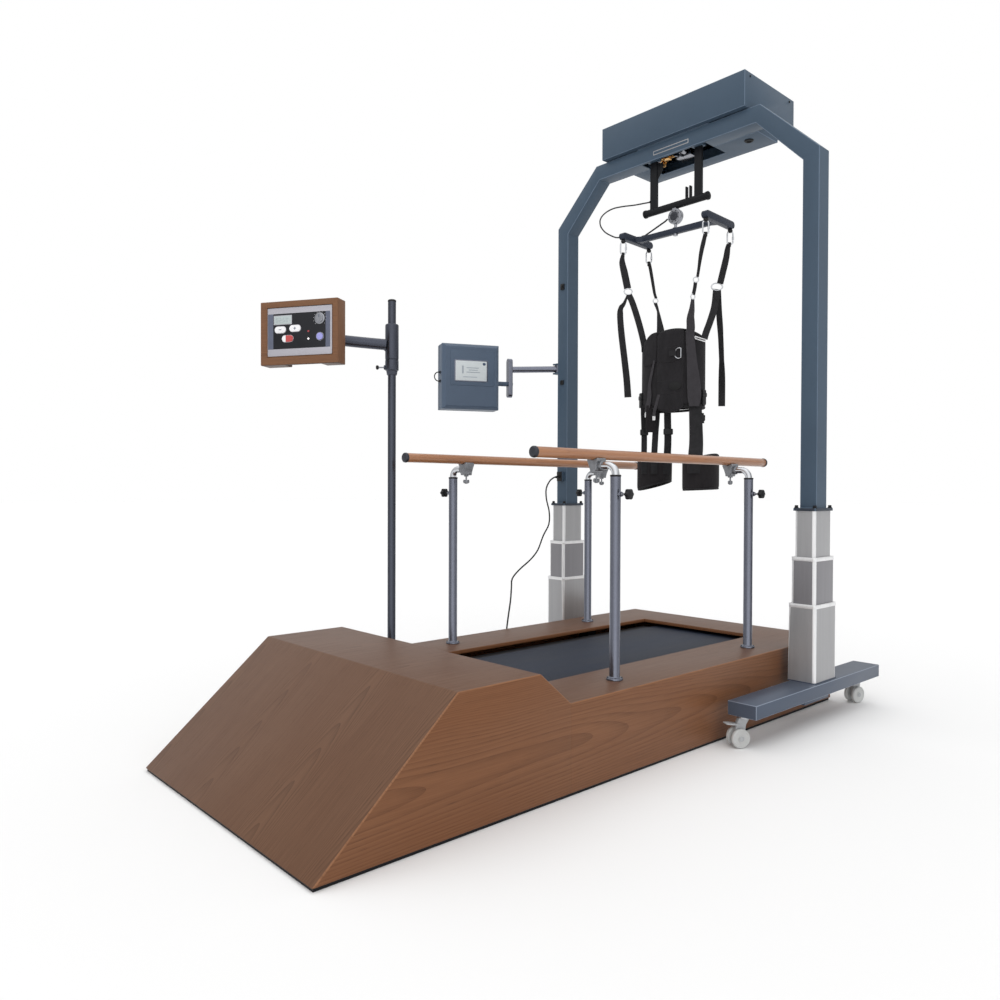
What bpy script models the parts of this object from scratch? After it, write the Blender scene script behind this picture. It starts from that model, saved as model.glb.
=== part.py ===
"""Body-weight support gait trainer: a treadmill with hand rails and a console on a mast, and a
telescopic gantry on castors that carries a lift yoke, a spreader and a harness.

Metres, +Z up. The origin is the centre of the treadmill's footprint on the floor. -Y is the front,
where the hood slopes, and +X is the near side.
"""

import math

import bmesh
import bpy
from mathutils import Matrix, Vector

# General
TOUCH = 0.0003          # gap between faces that rest on each other
RUN_CLEARANCE = 0.0004  # radial clearance of turning and sliding fits
ROUND_SIDES = 18

# Treadmill body
TREADMILL_LENGTH = 2.722
TREADMILL_WIDTH = 1.152
DECK_HEIGHT = 0.300
HOOD_RISE = 0.114
FRONT_SLOPE_RUN = 0.458
HOOD_TOP_RUN = 0.329
BACK_SLOPE_RUN = 0.137
COVER_WALL = 0.018
PLINTH_HEIGHT = 0.010
PLINTH_INSET = 0.006
SIDE_BORDER = 0.258
REAR_BORDER = 0.250
FRONT_LIP = 0.030

# Belt, deck and rollers
BELT_WIDTH = 0.514
BELT_THICKNESS = 0.004
BELT_DROP = 0.032
BELT_BEND_FACETS = 12
BOARD_OVERHANG = 0.004
BOARD_THICKNESS = 0.018
BOARD_FROM_FRONT_ROLLER = 0.065
BOARD_FROM_REAR_ROLLER = 0.100
ROLLER_RADIUS = 0.045
ROLLER_MARGIN = 0.002
ROLLER_SHAFT_RADIUS = 0.010
FRONT_ROLLER_UNDER_HOOD = 0.363
REAR_ROLLER_FROM_END = 0.161
BEAM_WIDTH = 0.012
BEAM_GAP = 0.027
PLATE_POCKET = 0.006
PLATE_RIM = 0.060
BEAM_END = 0.055
PULLEY_RADIUS = 0.038
PULLEY_WIDTH = 0.014
MOTOR_RADIUS = 0.062
MOTOR_LENGTH = 0.230
MOTOR_FROM_ROLLER = 0.190
MOTOR_FOOT = 0.100
MOTOR_HEIGHT = 0.085
MOTOR_PULLEY_RADIUS = 0.024

# Posts, rails and their arms
POST_FROM_EDGE = 0.116
FRONT_POST_FROM_HOOD = 0.356
POST_SPACING = 0.900
POST_RADIUS = 0.019
POST_WALL = 0.0045
POST_ABOVE_KNOB = 0.064
BORE_BELOW_ARM = 0.055
POST_FLANGE_RADIUS = 0.030
POST_FLANGE_HEIGHT = 0.008
POST_PAD = 0.060
ARM_INSERTED = 0.245
ARM_BEND = 0.034
ARM_ABOVE_POST = 0.039
RAIL_INBOARD = 0.090
RAIL_ABOVE_ARM = 0.041
RAIL_RADIUS = 0.019
RAIL_AHEAD = 0.332
RAIL_BEHIND = 0.288
RAIL_CAP_PROUD = 0.0015
RAIL_CAP_LENGTH = 0.014
CLAMP_SIZE = 0.048
CLAMP_BELOW = 0.022
CLAMP_WRAP = 0.007
SCREW_RADIUS = 0.005
SCREW_DROP = 0.030
WING_SPAN = 0.034
WING_HEIGHT = 0.012
WING_THICKNESS = 0.005
KNOB_HEIGHT = 0.966
KNOB_RADIUS = 0.0185
KNOB_LOBE = 0.0022
KNOB_LOBES = 6
KNOB_THICKNESS = 0.020
KNOB_REACH = 0.062
KNOB_STEM_RADIUS = 0.004
KNOB_BOSS_RADIUS = 0.009
KNOB_BOSS_LENGTH = 0.010

# Console on its mast
MAST_FROM_EDGE = 0.047
MAST_FROM_HOOD = 0.076
MAST_RADIUS = 0.017
MAST_TOP = 1.785
MAST_FLANGE_RADIUS = 0.044
SLEEVE_STEP = 0.0115
SLEEVE_FROM_TOP = 0.105
SLEEVE_LENGTH = 0.149
MAST_CLAMP_LENGTH = 0.066
MAST_KNOB_REACH = 0.068
MAST_KNOB_RADIUS = 0.009
MAST_KNOB_TURN = math.radians(227)
CONSOLE_ARM_RADIUS = 0.0235
CONSOLE_ARM_DROP = 0.089
CONSOLE_ARM_FALL = 0.021
CONSOLE_FROM_MAST = (-0.0853, -0.3908)
CONSOLE_TURN = math.radians(31)
CONSOLE_WIDTH = 0.346
CONSOLE_ABOVE_ARM = 0.1443
CONSOLE_HEIGHT = 0.256
CONSOLE_DEPTH = 0.066
CONSOLE_WALL = 0.015
PANEL_MARGINS = {"left": 0.0305, "right": 0.024, "low": 0.0348, "high": 0.026}
CONSOLE_NOTCH_WIDTH = 0.160
CONSOLE_NOTCH_SHIFT = 0.012
CONSOLE_NOTCH = 0.012
PANEL_THICKNESS = 0.005
PANEL_SETBACK = 0.002
KEY_SIZE = (0.050, 0.026)
KEYS = {"left_key": (-0.0823, 0.0129), "right_key": (-0.0156, 0.0158), "start_key": (-0.0494, -0.0237)}
KEY_DEPTH = 0.012
KEY_PROUD = 0.003
DIAL_RADIUS = 0.0225
DIAL_PLACE = (0.0946, 0.0498)
STOP_RADIUS = 0.0150
STOP_PLACE = (0.0956, -0.0215)
DIAL_PROUD = 0.010
STOP_PROUD = 0.008

# Gantry bases and telescopic columns
FOOT_GAPS = {"near": 0.0528, "far": 0.1328}
GANTRY_FROM_END = 0.383
FOOT_WIDTH = 0.121
FOOT_OFFSET = 0.016
FOOT_AHEAD = 0.587
FOOT_BEHIND = 0.501
FOOT_BOTTOM = 0.122
FOOT_HEIGHT = 0.054
FOOT_WALL = 0.005
STAGE_1 = (0.120, 0.191)
STAGE_2_STEP = (0.0065, 0.0085)
STAGE_3_STEP = (0.0085, 0.0125)
STAGE_1_HEIGHT = 0.327
STAGE_2_SHOWN = 0.197
STAGE_3_SHOWN = 0.195
STAGE_2_LENGTH = 0.322
STAGE_3_LENGTH = 0.322
STAGE_GLIDE = 0.0006
STAGE_3_WALL = 0.005
COLUMN_FLOOR = 0.003
CASTER_FROM_END = 0.045

# Castors
WHEEL_RADIUS = 0.0375
WHEEL_WIDTH = 0.016
WHEEL_GAP = 0.024
AXLE_RADIUS = 0.006
CASTER_TRAIL = 0.026
FORK_THICKNESS = 0.020
FORK_DISC_RADIUS = 0.029
FORK_DISC_HEIGHT = 0.010
FORK_STEM_RADIUS = 0.008
FORK_STEM_HEIGHT = 0.030
CASTER_TURNS = {"near_front": -30.0, "near_rear": -16.0, "far_front": -12.0, "far_rear": 25.0}

# Gantry arch
UPRIGHT = (0.0734, 0.0868)
ARCH_TOP = 2.6941
CROSSBEAM_DEPTH = 0.0757
INNER_CORNER_DROP = 0.3066
INNER_CHAMFER_RUN = 0.2235
OUTER_CORNER_DROP = 0.2683
OUTER_CHAMFER_RUN = 0.2758
ARCH_WALL = 0.005
GUIDE_WALL = 0.008
FLANGE_HEIGHT = 0.012
FLANGE_MARGIN = 0.004
SOCKET_SIZE = (0.034, 0.022, 0.050)
SOCKET_RISE = 0.160
LUG_SPAN = 0.055
LUG_WIDTH = 0.050
LUG_THICKNESS = 0.008
BRACKET_PLATE = 0.012
BRACKET_ABOVE_ARM = 0.086
BRACKET_BELOW_ARM = 0.095

# Winch housing, drum and lift yoke
HOUSING_WIDTH = 0.828
HOUSING_HEIGHT = 0.162
HOUSING_SEAT = 0.006
HOUSING_FRONT_OVERHANG = 0.025
HOUSING_BEHIND = 0.376
HOUSING_WALL = 0.004
BELLY_LEFT = 0.293
BELLY_BEHIND = 0.224
MOUTH_HALF_WIDTH = 0.185
MOUTH_AHEAD = 0.030
MOUTH_BEHIND = 0.147
DRUM_BEHIND = 0.107
DRUM_RISE = 0.0449
DRUM_RADIUS = 0.034
DRUM_FLANGE_RADIUS = 0.046
DRUM_LENGTH = 0.240
DRUM_SHAFT_RADIUS = 0.011
BEARING_THICKNESS = 0.012
BEARING_WIDTH = 0.060
YOKE_HALF_SPAN = 0.130
YOKE_LEG = (0.040, 0.014)
YOKE_HEADROOM = 0.0421
YOKE_BAR_DROP = 0.3161
YOKE_BAR_RADIUS = 0.0175
YOKE_BAR_LENGTH = 0.386
PRONG_OFFSET = 0.075
PRONG_GAP = 0.022
PRONG_SIZE = (0.007, 0.018, 0.072)

# Load cell and spreader
CELL_RADIUS = 0.037
CELL_THICKNESS = 0.030
CELL_DROP = 0.0555
CELL_LEAD_RADIUS = 0.004
PIN_RADIUS = 0.007
PIN_HEAD = 0.008
SPREADER_DROP = 0.0705
SPREADER_TURN = math.radians(2.6)
SPREADER_HALF_LENGTH = 0.2328
SPREADER_HALF_WIDTH = 0.1287
BEAM_SECTION = (0.024, 0.028)
CROSSBAR_SECTION = (0.030, 0.034)
CROSSBAR_END = 0.017
HOOK_DROP = 0.094
HOOK_WIDTH = 0.026
HOOK_WIRE = 0.004
HOOK_CORNER = 0.006
STRUT_REACH = 0.190

# Harness: each strap has its direction on the vest in degrees, its ring, and the end of its loose tail.
# Both are given from the vest's middle, and down from the hooks.
VEST_HALF_WIDTH = 0.178
VEST_HALF_DEPTH = 0.106
VEST_SHIFT = -0.0025
VEST_DROP = 0.405
VEST_HEIGHT = 0.403
VEST_SIDE_DIP = 0.100
VEST_SIDE_RISE = 0.022
VEST_PAD = 0.022
VEST_EDGE = 0.012
STRAP_WIDTH = 0.028
STRAP_TOP_WIDTH = 0.013
BROAD_STRAP = 0.040
STRAP_THICKNESS = 0.003
STRAP_SEWN = 0.080
STRAPS = {
    "front_left": (212.0, (-0.2025, -0.109, -0.182), (-0.1835, -0.128, -0.718)),
    "back_left": (138.0, (-0.183, 0.094, -0.204), None),
    "front_right": (-24.0, (0.1825, -0.088, -0.196), None),
    "back_right": (30.0, (0.1775, 0.104, -0.193), (0.198, 0.114, -0.772)),
}
CUFF_RADIUS = 0.080
CUFF_PAD = 0.014
CUFF_OUT = (-0.1145, 0.1545)
CUFF_DROP = 0.245
CUFF_HEIGHT = 0.155
CUFF_PEAK = 0.008
CUFF_DIP = 0.045
CUFF_SLANT_TURN = math.radians(200)
LEG_BAR_RISE = 0.035
LEG_LOOP_RADIUS = 0.005
LEG_LOOP_OUT = ((-0.1435, -0.0695), (0.0725, 0.1325))
LEG_STRAP = 0.026

# Display on its arm
DISPLAY_ARM_RADIUS = 0.0175
DISPLAY_ARM_HEIGHT = 1.660
DISPLAY_HUB_RADIUS = 0.021
DISPLAY_PIVOT_OUT = 0.034
LINK_ABOVE_ARM = 0.062
LINK_LENGTH = 0.220
LINK_WIDTH = 0.048
LINK_THICKNESS = 0.024
LINK_OUT = 0.249
LINK_BACK = 0.040
KNUCKLE_DROP = 0.082
KNUCKLE_RADIUS = 0.013
DISPLAY_FROM_PIVOT = (-0.276, -0.429)
DISPLAY_TURN = math.radians(64.5)
DISPLAY_SIZE = (0.320, 0.120, 0.356)
DISPLAY_RISE = 0.020
DISPLAY_BEVEL = 0.018
DISPLAY_WALL = 0.003
CABLE_HOLE = 0.012

# Mains cord: diameter, its free run from the socket to the floor, and the coil put away
CORD_DIAMETER = 0.008
CORD_RUN = (
    (-0.754, 0.888, 1.054), (-0.754, 0.845, 1.036), (-0.754, 0.811, 0.990), (-0.754, 0.812, 0.931),
    (-0.754, 0.834, 0.862), (-0.754, 0.832, 0.794), (-0.754, 0.789, 0.733), (-0.754, 0.747, 0.657),
    (-0.754, 0.692, 0.608), (-0.754, 0.611, 0.560), (-0.745, 0.550, 0.517), (-0.715, 0.516, 0.476),
    (-0.675, 0.472, 0.417), (-0.648, 0.428, 0.324), (-0.645, 0.405, 0.200), (-0.648, 0.385, 0.095),
    (-0.652, 0.362, 0.030), (-0.656, 0.325, 0.0062), (-0.660, 0.300, 0.0044),
)
COIL_TURNS = 6
COIL_MEAN_RADIUS = 0.046
COIL_CENTRE = (-0.7220, 0.1800)
COIL_PITCH = 0.0093
COIL_LEAD = 0.040
PLUG_LENGTH = 0.058
PLUG_WIDTH = 0.036
PLUG_HEIGHT = 0.026
PLUG_PIN = 0.019
PLUG_PIN_RADIUS = 0.0024
PRONG_SPACING = 0.019
CORD_POINT_STEP = 0.028
SENSOR_DIAMETER = 0.007
SENSOR_START = 2.434
SENSOR_RUN = (
    (-0.235, 0.976, 2.437), (-0.290, 0.970, 2.441), (-0.350, 0.958, 2.447), (-0.404, 0.940, 2.445),
    (-0.440, 0.918, 2.425), (-0.452, 0.896, 2.392), (-0.437, 0.880, 2.350), (-0.400, 0.871, 2.308),
    (-0.355, 0.866, 2.278), (-0.320, 0.862, 2.260),
)

materials = {}


def material(name, colour, roughness, metallic=0.0):
    """One Principled material per finish, made the first time it is asked for."""
    if name not in materials:
        made = bpy.data.materials.new(name)
        made.use_nodes = True
        shader = made.node_tree.nodes["Principled BSDF"]
        shader.inputs["Base Color"].default_value = (*colour, 1.0)
        shader.inputs["Roughness"].default_value = roughness
        shader.inputs["Metallic"].default_value = metallic
        made.diffuse_color = (*colour, 1.0)
        materials[name] = made
    return materials[name]


def wood():
    return material("walnut_veneer", (0.21, 0.10, 0.05), 0.45)


def black_steel():
    return material("black_steel", (0.03, 0.03, 0.035), 0.5, 0.6)


def blue_steel():
    return material("blue_grey_paint", (0.07, 0.10, 0.145), 0.4)


def dark_metal():
    return material("dark_metallic_paint", (0.07, 0.08, 0.11), 0.35, 0.5)


def brushed_aluminium():
    return material("brushed_aluminium", (0.62, 0.62, 0.63), 0.35, 1.0)


def chrome():
    return material("chrome", (0.8, 0.8, 0.82), 0.12, 1.0)


def grey_casting():
    return material("grey_casting", (0.25, 0.25, 0.26), 0.45, 0.7)


def rail_wood():
    return material("rail_wood", (0.51, 0.27, 0.15), 0.4)


def black_plastic():
    return material("black_plastic", (0.02, 0.02, 0.02), 0.45)


def belt_rubber():
    return material("belt_rubber", (0.018, 0.026, 0.045), 0.7)


def webbing():
    return material("black_webbing", (0.015, 0.015, 0.017), 0.85)


def pale_plastic():
    return material("pale_plastic", (0.75, 0.75, 0.76), 0.35)


# Shape helpers


def add_box(mesh, low, high):
    made = bmesh.ops.create_cube(mesh, size=1.0)["verts"]
    size = [top - bottom for bottom, top in zip(low, high)]
    centre = [(top + bottom) / 2 for bottom, top in zip(low, high)]
    bmesh.ops.scale(mesh, verts=made, vec=size)
    bmesh.ops.translate(mesh, verts=made, vec=centre)
    return made


def add_prism(mesh, outline, axis, start, end):
    """An outline in the plane across an axis, extruded along it from start to end."""
    def point(pair, along):
        first, second = pair
        return {"x": (along, first, second), "y": (first, along, second), "z": (first, second, along)}[axis]

    near = [mesh.verts.new(point(pair, start)) for pair in outline]
    far = [mesh.verts.new(point(pair, end)) for pair in outline]
    mesh.faces.new(near)
    mesh.faces.new(reversed(far))
    for i in range(len(outline)):
        j = (i + 1) % len(outline)
        mesh.faces.new((near[i], far[i], far[j], near[j]))
    return near + far


def add_turned(mesh, profile, sides=ROUND_SIDES):
    """A profile of (radius, height) pairs turned about Z. It starts and ends on the axis, or it closes
    on itself as a ring."""
    on_axis = profile[0][0] == 0.0
    rings = []
    for radius, height in profile:
        if radius == 0.0:
            rings.append([mesh.verts.new((0.0, 0.0, height))])
        else:
            rings.append([
                mesh.verts.new((radius * math.cos(turn), radius * math.sin(turn), height))
                for turn in (2 * math.pi * i / sides for i in range(sides))
            ])
    pairs = list(zip(rings, rings[1:]))
    if not on_axis:
        pairs.append((rings[-1], rings[0]))
    for first, second in pairs:
        for i in range(sides):
            j = (i + 1) % sides
            corners = [first[i % len(first)], first[j % len(first)], second[j % len(second)],
                       second[i % len(second)]]
            mesh.faces.new(list(dict.fromkeys(corners)))
    return [vert for ring in rings for vert in ring]


def turned_along(mesh, profile, base, direction, sides=ROUND_SIDES):
    """The same, with the profile's height running from base along direction."""
    made = add_turned(mesh, profile, sides)
    turn = Vector((0, 0, 1)).rotation_difference(Vector(direction)).to_matrix().to_4x4()
    bmesh.ops.transform(mesh, matrix=Matrix.Translation(base) @ turn, verts=made)
    return made


def add_rod(mesh, start, end, radius, sides=ROUND_SIDES):
    start, end = Vector(start), Vector(end)
    length = (end - start).length
    return turned_along(mesh, ((0.0, 0.0), (radius, 0.0), (radius, length), (0.0, length)), start,
                        (end - start).normalized(), sides)


def add_swept(mesh, path, section, side):
    """A section of (across, up) pairs carried along a path. side is the across direction at the start,
    and each frame turns with the path."""
    path = [Vector(point) for point in path]
    side = Vector(side).normalized()
    previous = None
    rings = []
    for i, point in enumerate(path):
        ahead = (path[min(i + 1, len(path) - 1)] - path[max(i - 1, 0)]).normalized()
        if previous is not None:
            side = previous.rotation_difference(ahead) @ side
        side = (side - ahead * side.dot(ahead)).normalized()
        up = ahead.cross(side)
        rings.append([mesh.verts.new(point + side * across + up * rise) for across, rise in section])
        previous = ahead
    count = len(section)
    for first, second in zip(rings, rings[1:]):
        for i in range(count):
            j = (i + 1) % count
            mesh.faces.new((first[i], first[j], second[j], second[i]))
    mesh.faces.new(reversed(rings[0]))
    mesh.faces.new(rings[-1])
    return [vert for ring in rings for vert in ring]


def round_section(radius, sides=ROUND_SIDES):
    return [(radius * math.cos(2 * math.pi * i / sides), radius * math.sin(2 * math.pi * i / sides))
            for i in range(sides)]


def arc(centre, radius, first, last, steps):
    """Points on an arc from one angle to another, in degrees."""
    angles = [math.radians(first + (last - first) * i / steps) for i in range(steps + 1)]
    return [(centre[0] + radius * math.cos(angle), centre[1] + radius * math.sin(angle)) for angle in angles]


def smooth_path(points, step):
    """Points about a step apart on one smooth curve through the route's points."""
    points = [Vector(point) for point in points]
    ends = [2 * points[0] - points[1], *points, 2 * points[-1] - points[-2]]
    found = [points[0]]
    for before, start, end, after in zip(ends, ends[1:], ends[2:], ends[3:]):
        count = max(1, round((end - start).length / step))
        for i in range(1, count + 1):
            t = i / count
            found.append(0.5 * (2 * start + (end - before) * t + (2 * before - 5 * start + 4 * end - after) * t ** 2
                                + (3 * start - before - 3 * end + after) * t ** 3))
    return found


def make_object(name, mesh, finish, origin=(0.0, 0.0, 0.0), smooth=None):
    """An object from a mesh drawn in the part's frame, with the object's own origin at a given point."""
    bmesh.ops.recalc_face_normals(mesh, faces=mesh.faces)
    bmesh.ops.translate(mesh, verts=mesh.verts, vec=-Vector(origin))
    data = bpy.data.meshes.new(name)
    mesh.to_mesh(data)
    mesh.free()
    data.materials.append(finish)
    if smooth:
        data.shade_smooth()
        data.set_sharp_from_angle(angle=math.radians(smooth))
    made = bpy.data.objects.new(name, data)
    made.location = origin
    bpy.context.scene.collection.objects.link(made)
    return made


def make_tool(name, mesh):
    """A helper for a Boolean, left out of the model."""
    made = make_object(name, mesh, black_steel())
    made.hide_render = True
    made.display_type = "WIRE"
    return made


def combine(target, tool, operation):
    change = target.modifiers.new(f"{operation.lower()} {tool.name}", "BOOLEAN")
    change.operation = operation
    change.solver = "EXACT"
    change.object = tool
    return target


def bevel(target, width, segments=2, angle=30):
    edge = target.modifiers.new("edges", "BEVEL")
    edge.width = width
    edge.segments = segments
    edge.limit_method = "ANGLE"
    edge.angle_limit = math.radians(angle)
    return target


def turned_about(mesh, verts, angle, centre):
    bmesh.ops.rotate(mesh, verts=verts, cent=centre, matrix=Matrix.Rotation(angle, 3, "Z"))


# Treadmill

FRONT_Y = -TREADMILL_LENGTH / 2
REAR_Y = TREADMILL_LENGTH / 2
HOOD_REAR_Y = FRONT_Y + FRONT_SLOPE_RUN + HOOD_TOP_RUN + BACK_SLOPE_RUN
HOOD_HEIGHT = DECK_HEIGHT + HOOD_RISE
HALF_WIDTH = TREADMILL_WIDTH / 2
OPENING_X = HALF_WIDTH - SIDE_BORDER
OPENING_FRONT = HOOD_REAR_Y + FRONT_LIP
OPENING_REAR = REAR_Y - REAR_BORDER
BELT_TOP = DECK_HEIGHT - BELT_DROP
BELT_INNER = BELT_TOP - BELT_THICKNESS
ROLLER_LENGTH = BELT_WIDTH + 2 * ROLLER_MARGIN
FRONT_ROLLER_Y = HOOD_REAR_Y - FRONT_ROLLER_UNDER_HOOD
REAR_ROLLER_Y = REAR_Y - REAR_ROLLER_FROM_END
BEAM_INNER_X = ROLLER_LENGTH / 2 + PULLEY_WIDTH + BEAM_GAP
BOARD_WIDTH = 2 * (BEAM_INNER_X + BEAM_WIDTH + BOARD_OVERHANG)
BOARD_FRONT = FRONT_ROLLER_Y + BOARD_FROM_FRONT_ROLLER
BOARD_REAR = REAR_ROLLER_Y - BOARD_FROM_REAR_ROLLER
MOTOR_Y = FRONT_ROLLER_Y - MOTOR_FROM_ROLLER
BOARD_TOP = BELT_INNER - TOUCH
BOARD_BOTTOM = BOARD_TOP - BOARD_THICKNESS
BEAM_TOP = BOARD_BOTTOM - TOUCH
BELT_BEND = (ROLLER_RADIUS + TOUCH) / math.cos(math.pi / (2 * BELT_BEND_FACETS))
ROLLER_HEIGHT = BELT_INNER - BELT_BEND
COVER_BOTTOM = PLINTH_HEIGHT
PLINTH_TOP = PLINTH_HEIGHT - TOUCH
COVER_CEILING = DECK_HEIGHT - COVER_WALL

POST_X = HALF_WIDTH - POST_FROM_EDGE
POST_Y = (HOOD_REAR_Y + FRONT_POST_FROM_HOOD, HOOD_REAR_Y + FRONT_POST_FROM_HOOD + POST_SPACING)
POST_TOP = KNOB_HEIGHT + POST_ABOVE_KNOB
POST_BORE = POST_RADIUS - POST_WALL
POST_BORE_DEPTH = ARM_INSERTED + BORE_BELOW_ARM
ARM_HEIGHT = POST_TOP + ARM_ABOVE_POST
RAIL_HEIGHT = ARM_HEIGHT + RAIL_ABOVE_ARM
RAIL_X = POST_X - RAIL_INBOARD
RAIL_FRONT = POST_Y[0] - RAIL_AHEAD
RAIL_REAR = POST_Y[1] + RAIL_BEHIND
RAIL_CAP_RADIUS = RAIL_RADIUS + RAIL_CAP_PROUD

MAST_X = MAST_FROM_EDGE - HALF_WIDTH
MAST_Y = HOOD_REAR_Y + MAST_FROM_HOOD
SLEEVE_RADIUS = MAST_RADIUS + SLEEVE_STEP
SLEEVE_TOP = MAST_TOP - SLEEVE_FROM_TOP
SLEEVE_BOTTOM = SLEEVE_TOP - SLEEVE_LENGTH
CONSOLE_FACE = (MAST_X + CONSOLE_FROM_MAST[0], MAST_Y + CONSOLE_FROM_MAST[1])
CONSOLE_ARM_HEIGHT = SLEEVE_TOP - CONSOLE_ARM_DROP
CONSOLE_TOP = CONSOLE_ARM_HEIGHT + CONSOLE_ABOVE_ARM
CONSOLE_BOTTOM = CONSOLE_TOP - CONSOLE_HEIGHT
PANEL_EDGES = (PANEL_MARGINS["left"] - CONSOLE_WIDTH / 2, CONSOLE_WIDTH / 2 - PANEL_MARGINS["right"],
               PANEL_MARGINS["low"] - CONSOLE_HEIGHT / 2, CONSOLE_HEIGHT / 2 - PANEL_MARGINS["high"])


def make_base_frame():
    mesh = bmesh.new()
    add_box(mesh, (-HALF_WIDTH + PLINTH_INSET, FRONT_Y + PLINTH_INSET, 0.0),
            (HALF_WIDTH - PLINTH_INSET, REAR_Y - PLINTH_INSET, PLINTH_TOP))
    frame = make_object("base_frame", mesh, black_steel())
    outer_x, inner_x = HALF_WIDTH - PLATE_RIM, BEAM_INNER_X + BEAM_WIDTH + PLATE_RIM
    for name, low_x, high_x in (("near", inner_x, outer_x), ("far", -outer_x, -inner_x),
                                ("middle", -BEAM_INNER_X + PLATE_RIM, BEAM_INNER_X - PLATE_RIM)):
        mesh = bmesh.new()
        add_box(mesh, (low_x, FRONT_Y + 2 * PLATE_RIM, PLINTH_TOP - PLATE_POCKET),
                (high_x, REAR_Y - 2 * PLATE_RIM, PLINTH_TOP + PLATE_POCKET))
        combine(frame, make_tool(f"{name}_plate_pocket", mesh), "DIFFERENCE")
    beam_front = FRONT_ROLLER_Y - BEAM_END
    beam_rear = REAR_ROLLER_Y + BEAM_END
    for side, sign in (("near", 1), ("far", -1)):
        mesh = bmesh.new()
        inner, outer = sorted((sign * BEAM_INNER_X, sign * (BEAM_INNER_X + BEAM_WIDTH)))
        add_box(mesh, (inner, beam_front, (PLINTH_TOP - PLATE_POCKET) / 2), (outer, beam_rear, BEAM_TOP))
        combine(frame, make_tool(f"{side}_beam_tool", mesh), "UNION")
        for end, y in (("front", FRONT_ROLLER_Y), ("rear", REAR_ROLLER_Y)):
            mesh = bmesh.new()
            add_rod(mesh, (inner - BEAM_WIDTH, y, ROLLER_HEIGHT), (outer + BEAM_WIDTH, y, ROLLER_HEIGHT),
                    ROLLER_SHAFT_RADIUS + RUN_CLEARANCE, 16)
            combine(frame, make_tool(f"{side}_{end}_shaft_hole", mesh), "DIFFERENCE")
    pads = [(sign * POST_X, y) for sign in (1, -1) for y in POST_Y] + [(MAST_X, MAST_Y)]
    for i, (x, y) in enumerate(pads):
        reach = min(POST_PAD / 2, HALF_WIDTH - COVER_WALL - TOUCH - abs(x))
        mesh = bmesh.new()
        add_box(mesh, (x - reach, y - reach, (PLINTH_TOP - PLATE_POCKET) / 2),
                (x + reach, y + reach, COVER_CEILING - TOUCH))
        combine(frame, make_tool(f"post_pad_tool_{i}", mesh), "UNION")
    return frame


def make_front_hood():
    slope_top = FRONT_Y + FRONT_SLOPE_RUN
    top_back = slope_top + HOOD_TOP_RUN
    mesh = bmesh.new()
    add_prism(mesh, ((FRONT_Y, COVER_BOTTOM), (slope_top, HOOD_HEIGHT), (top_back, HOOD_HEIGHT),
                     (HOOD_REAR_Y, DECK_HEIGHT), (HOOD_REAR_Y, COVER_BOTTOM)), "x", -HALF_WIDTH, HALF_WIDTH)
    hood = make_object("front_hood", mesh, wood())
    front_angle = math.atan2(HOOD_HEIGHT - COVER_BOTTOM, FRONT_SLOPE_RUN)
    back_angle = math.atan2(HOOD_HEIGHT - DECK_HEIGHT, BACK_SLOPE_RUN)

    def front_inner(z):
        return FRONT_Y + (z - COVER_BOTTOM) / math.tan(front_angle) + COVER_WALL / math.sin(front_angle)

    def back_inner(z):
        return top_back + (HOOD_HEIGHT - z) / math.tan(back_angle) - COVER_WALL / math.sin(back_angle)

    ceiling = HOOD_HEIGHT - COVER_WALL
    under = -COVER_WALL
    beyond = HOOD_REAR_Y + COVER_WALL
    mesh = bmesh.new()
    add_prism(mesh, ((front_inner(under), under), (front_inner(ceiling), ceiling), (back_inner(ceiling), ceiling),
                     (back_inner(COVER_CEILING), COVER_CEILING), (beyond, COVER_CEILING), (beyond, under)),
              "x", -HALF_WIDTH + COVER_WALL, HALF_WIDTH - COVER_WALL)
    return combine(hood, make_tool("hood_hollow", mesh), "DIFFERENCE")


def make_deck_surround():
    start = HOOD_REAR_Y + TOUCH
    mesh = bmesh.new()
    add_box(mesh, (-HALF_WIDTH, start, COVER_BOTTOM), (HALF_WIDTH, REAR_Y, DECK_HEIGHT))
    cover = make_object("deck_surround", mesh, wood())
    mesh = bmesh.new()
    add_box(mesh, (-HALF_WIDTH + COVER_WALL, start - COVER_WALL, -COVER_WALL),
            (HALF_WIDTH - COVER_WALL, REAR_Y - COVER_WALL, COVER_CEILING))
    combine(cover, make_tool("surround_hollow", mesh), "DIFFERENCE")
    mesh = bmesh.new()
    add_box(mesh, (-OPENING_X, OPENING_FRONT, COVER_CEILING - COVER_WALL),
            (OPENING_X, OPENING_REAR, DECK_HEIGHT + COVER_WALL))
    return combine(cover, make_tool("belt_opening", mesh), "DIFFERENCE")


def make_running_deck():
    mesh = bmesh.new()
    add_box(mesh, (-BOARD_WIDTH / 2, BOARD_FRONT, BOARD_BOTTOM), (BOARD_WIDTH / 2, BOARD_REAR, BOARD_TOP))
    return make_object("running_deck", mesh, black_plastic())


def belt_outline(radius):
    return (arc((REAR_ROLLER_Y, ROLLER_HEIGHT), radius, -90, 90, BELT_BEND_FACETS)
            + arc((FRONT_ROLLER_Y, ROLLER_HEIGHT), radius, 90, 270, BELT_BEND_FACETS))


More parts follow.
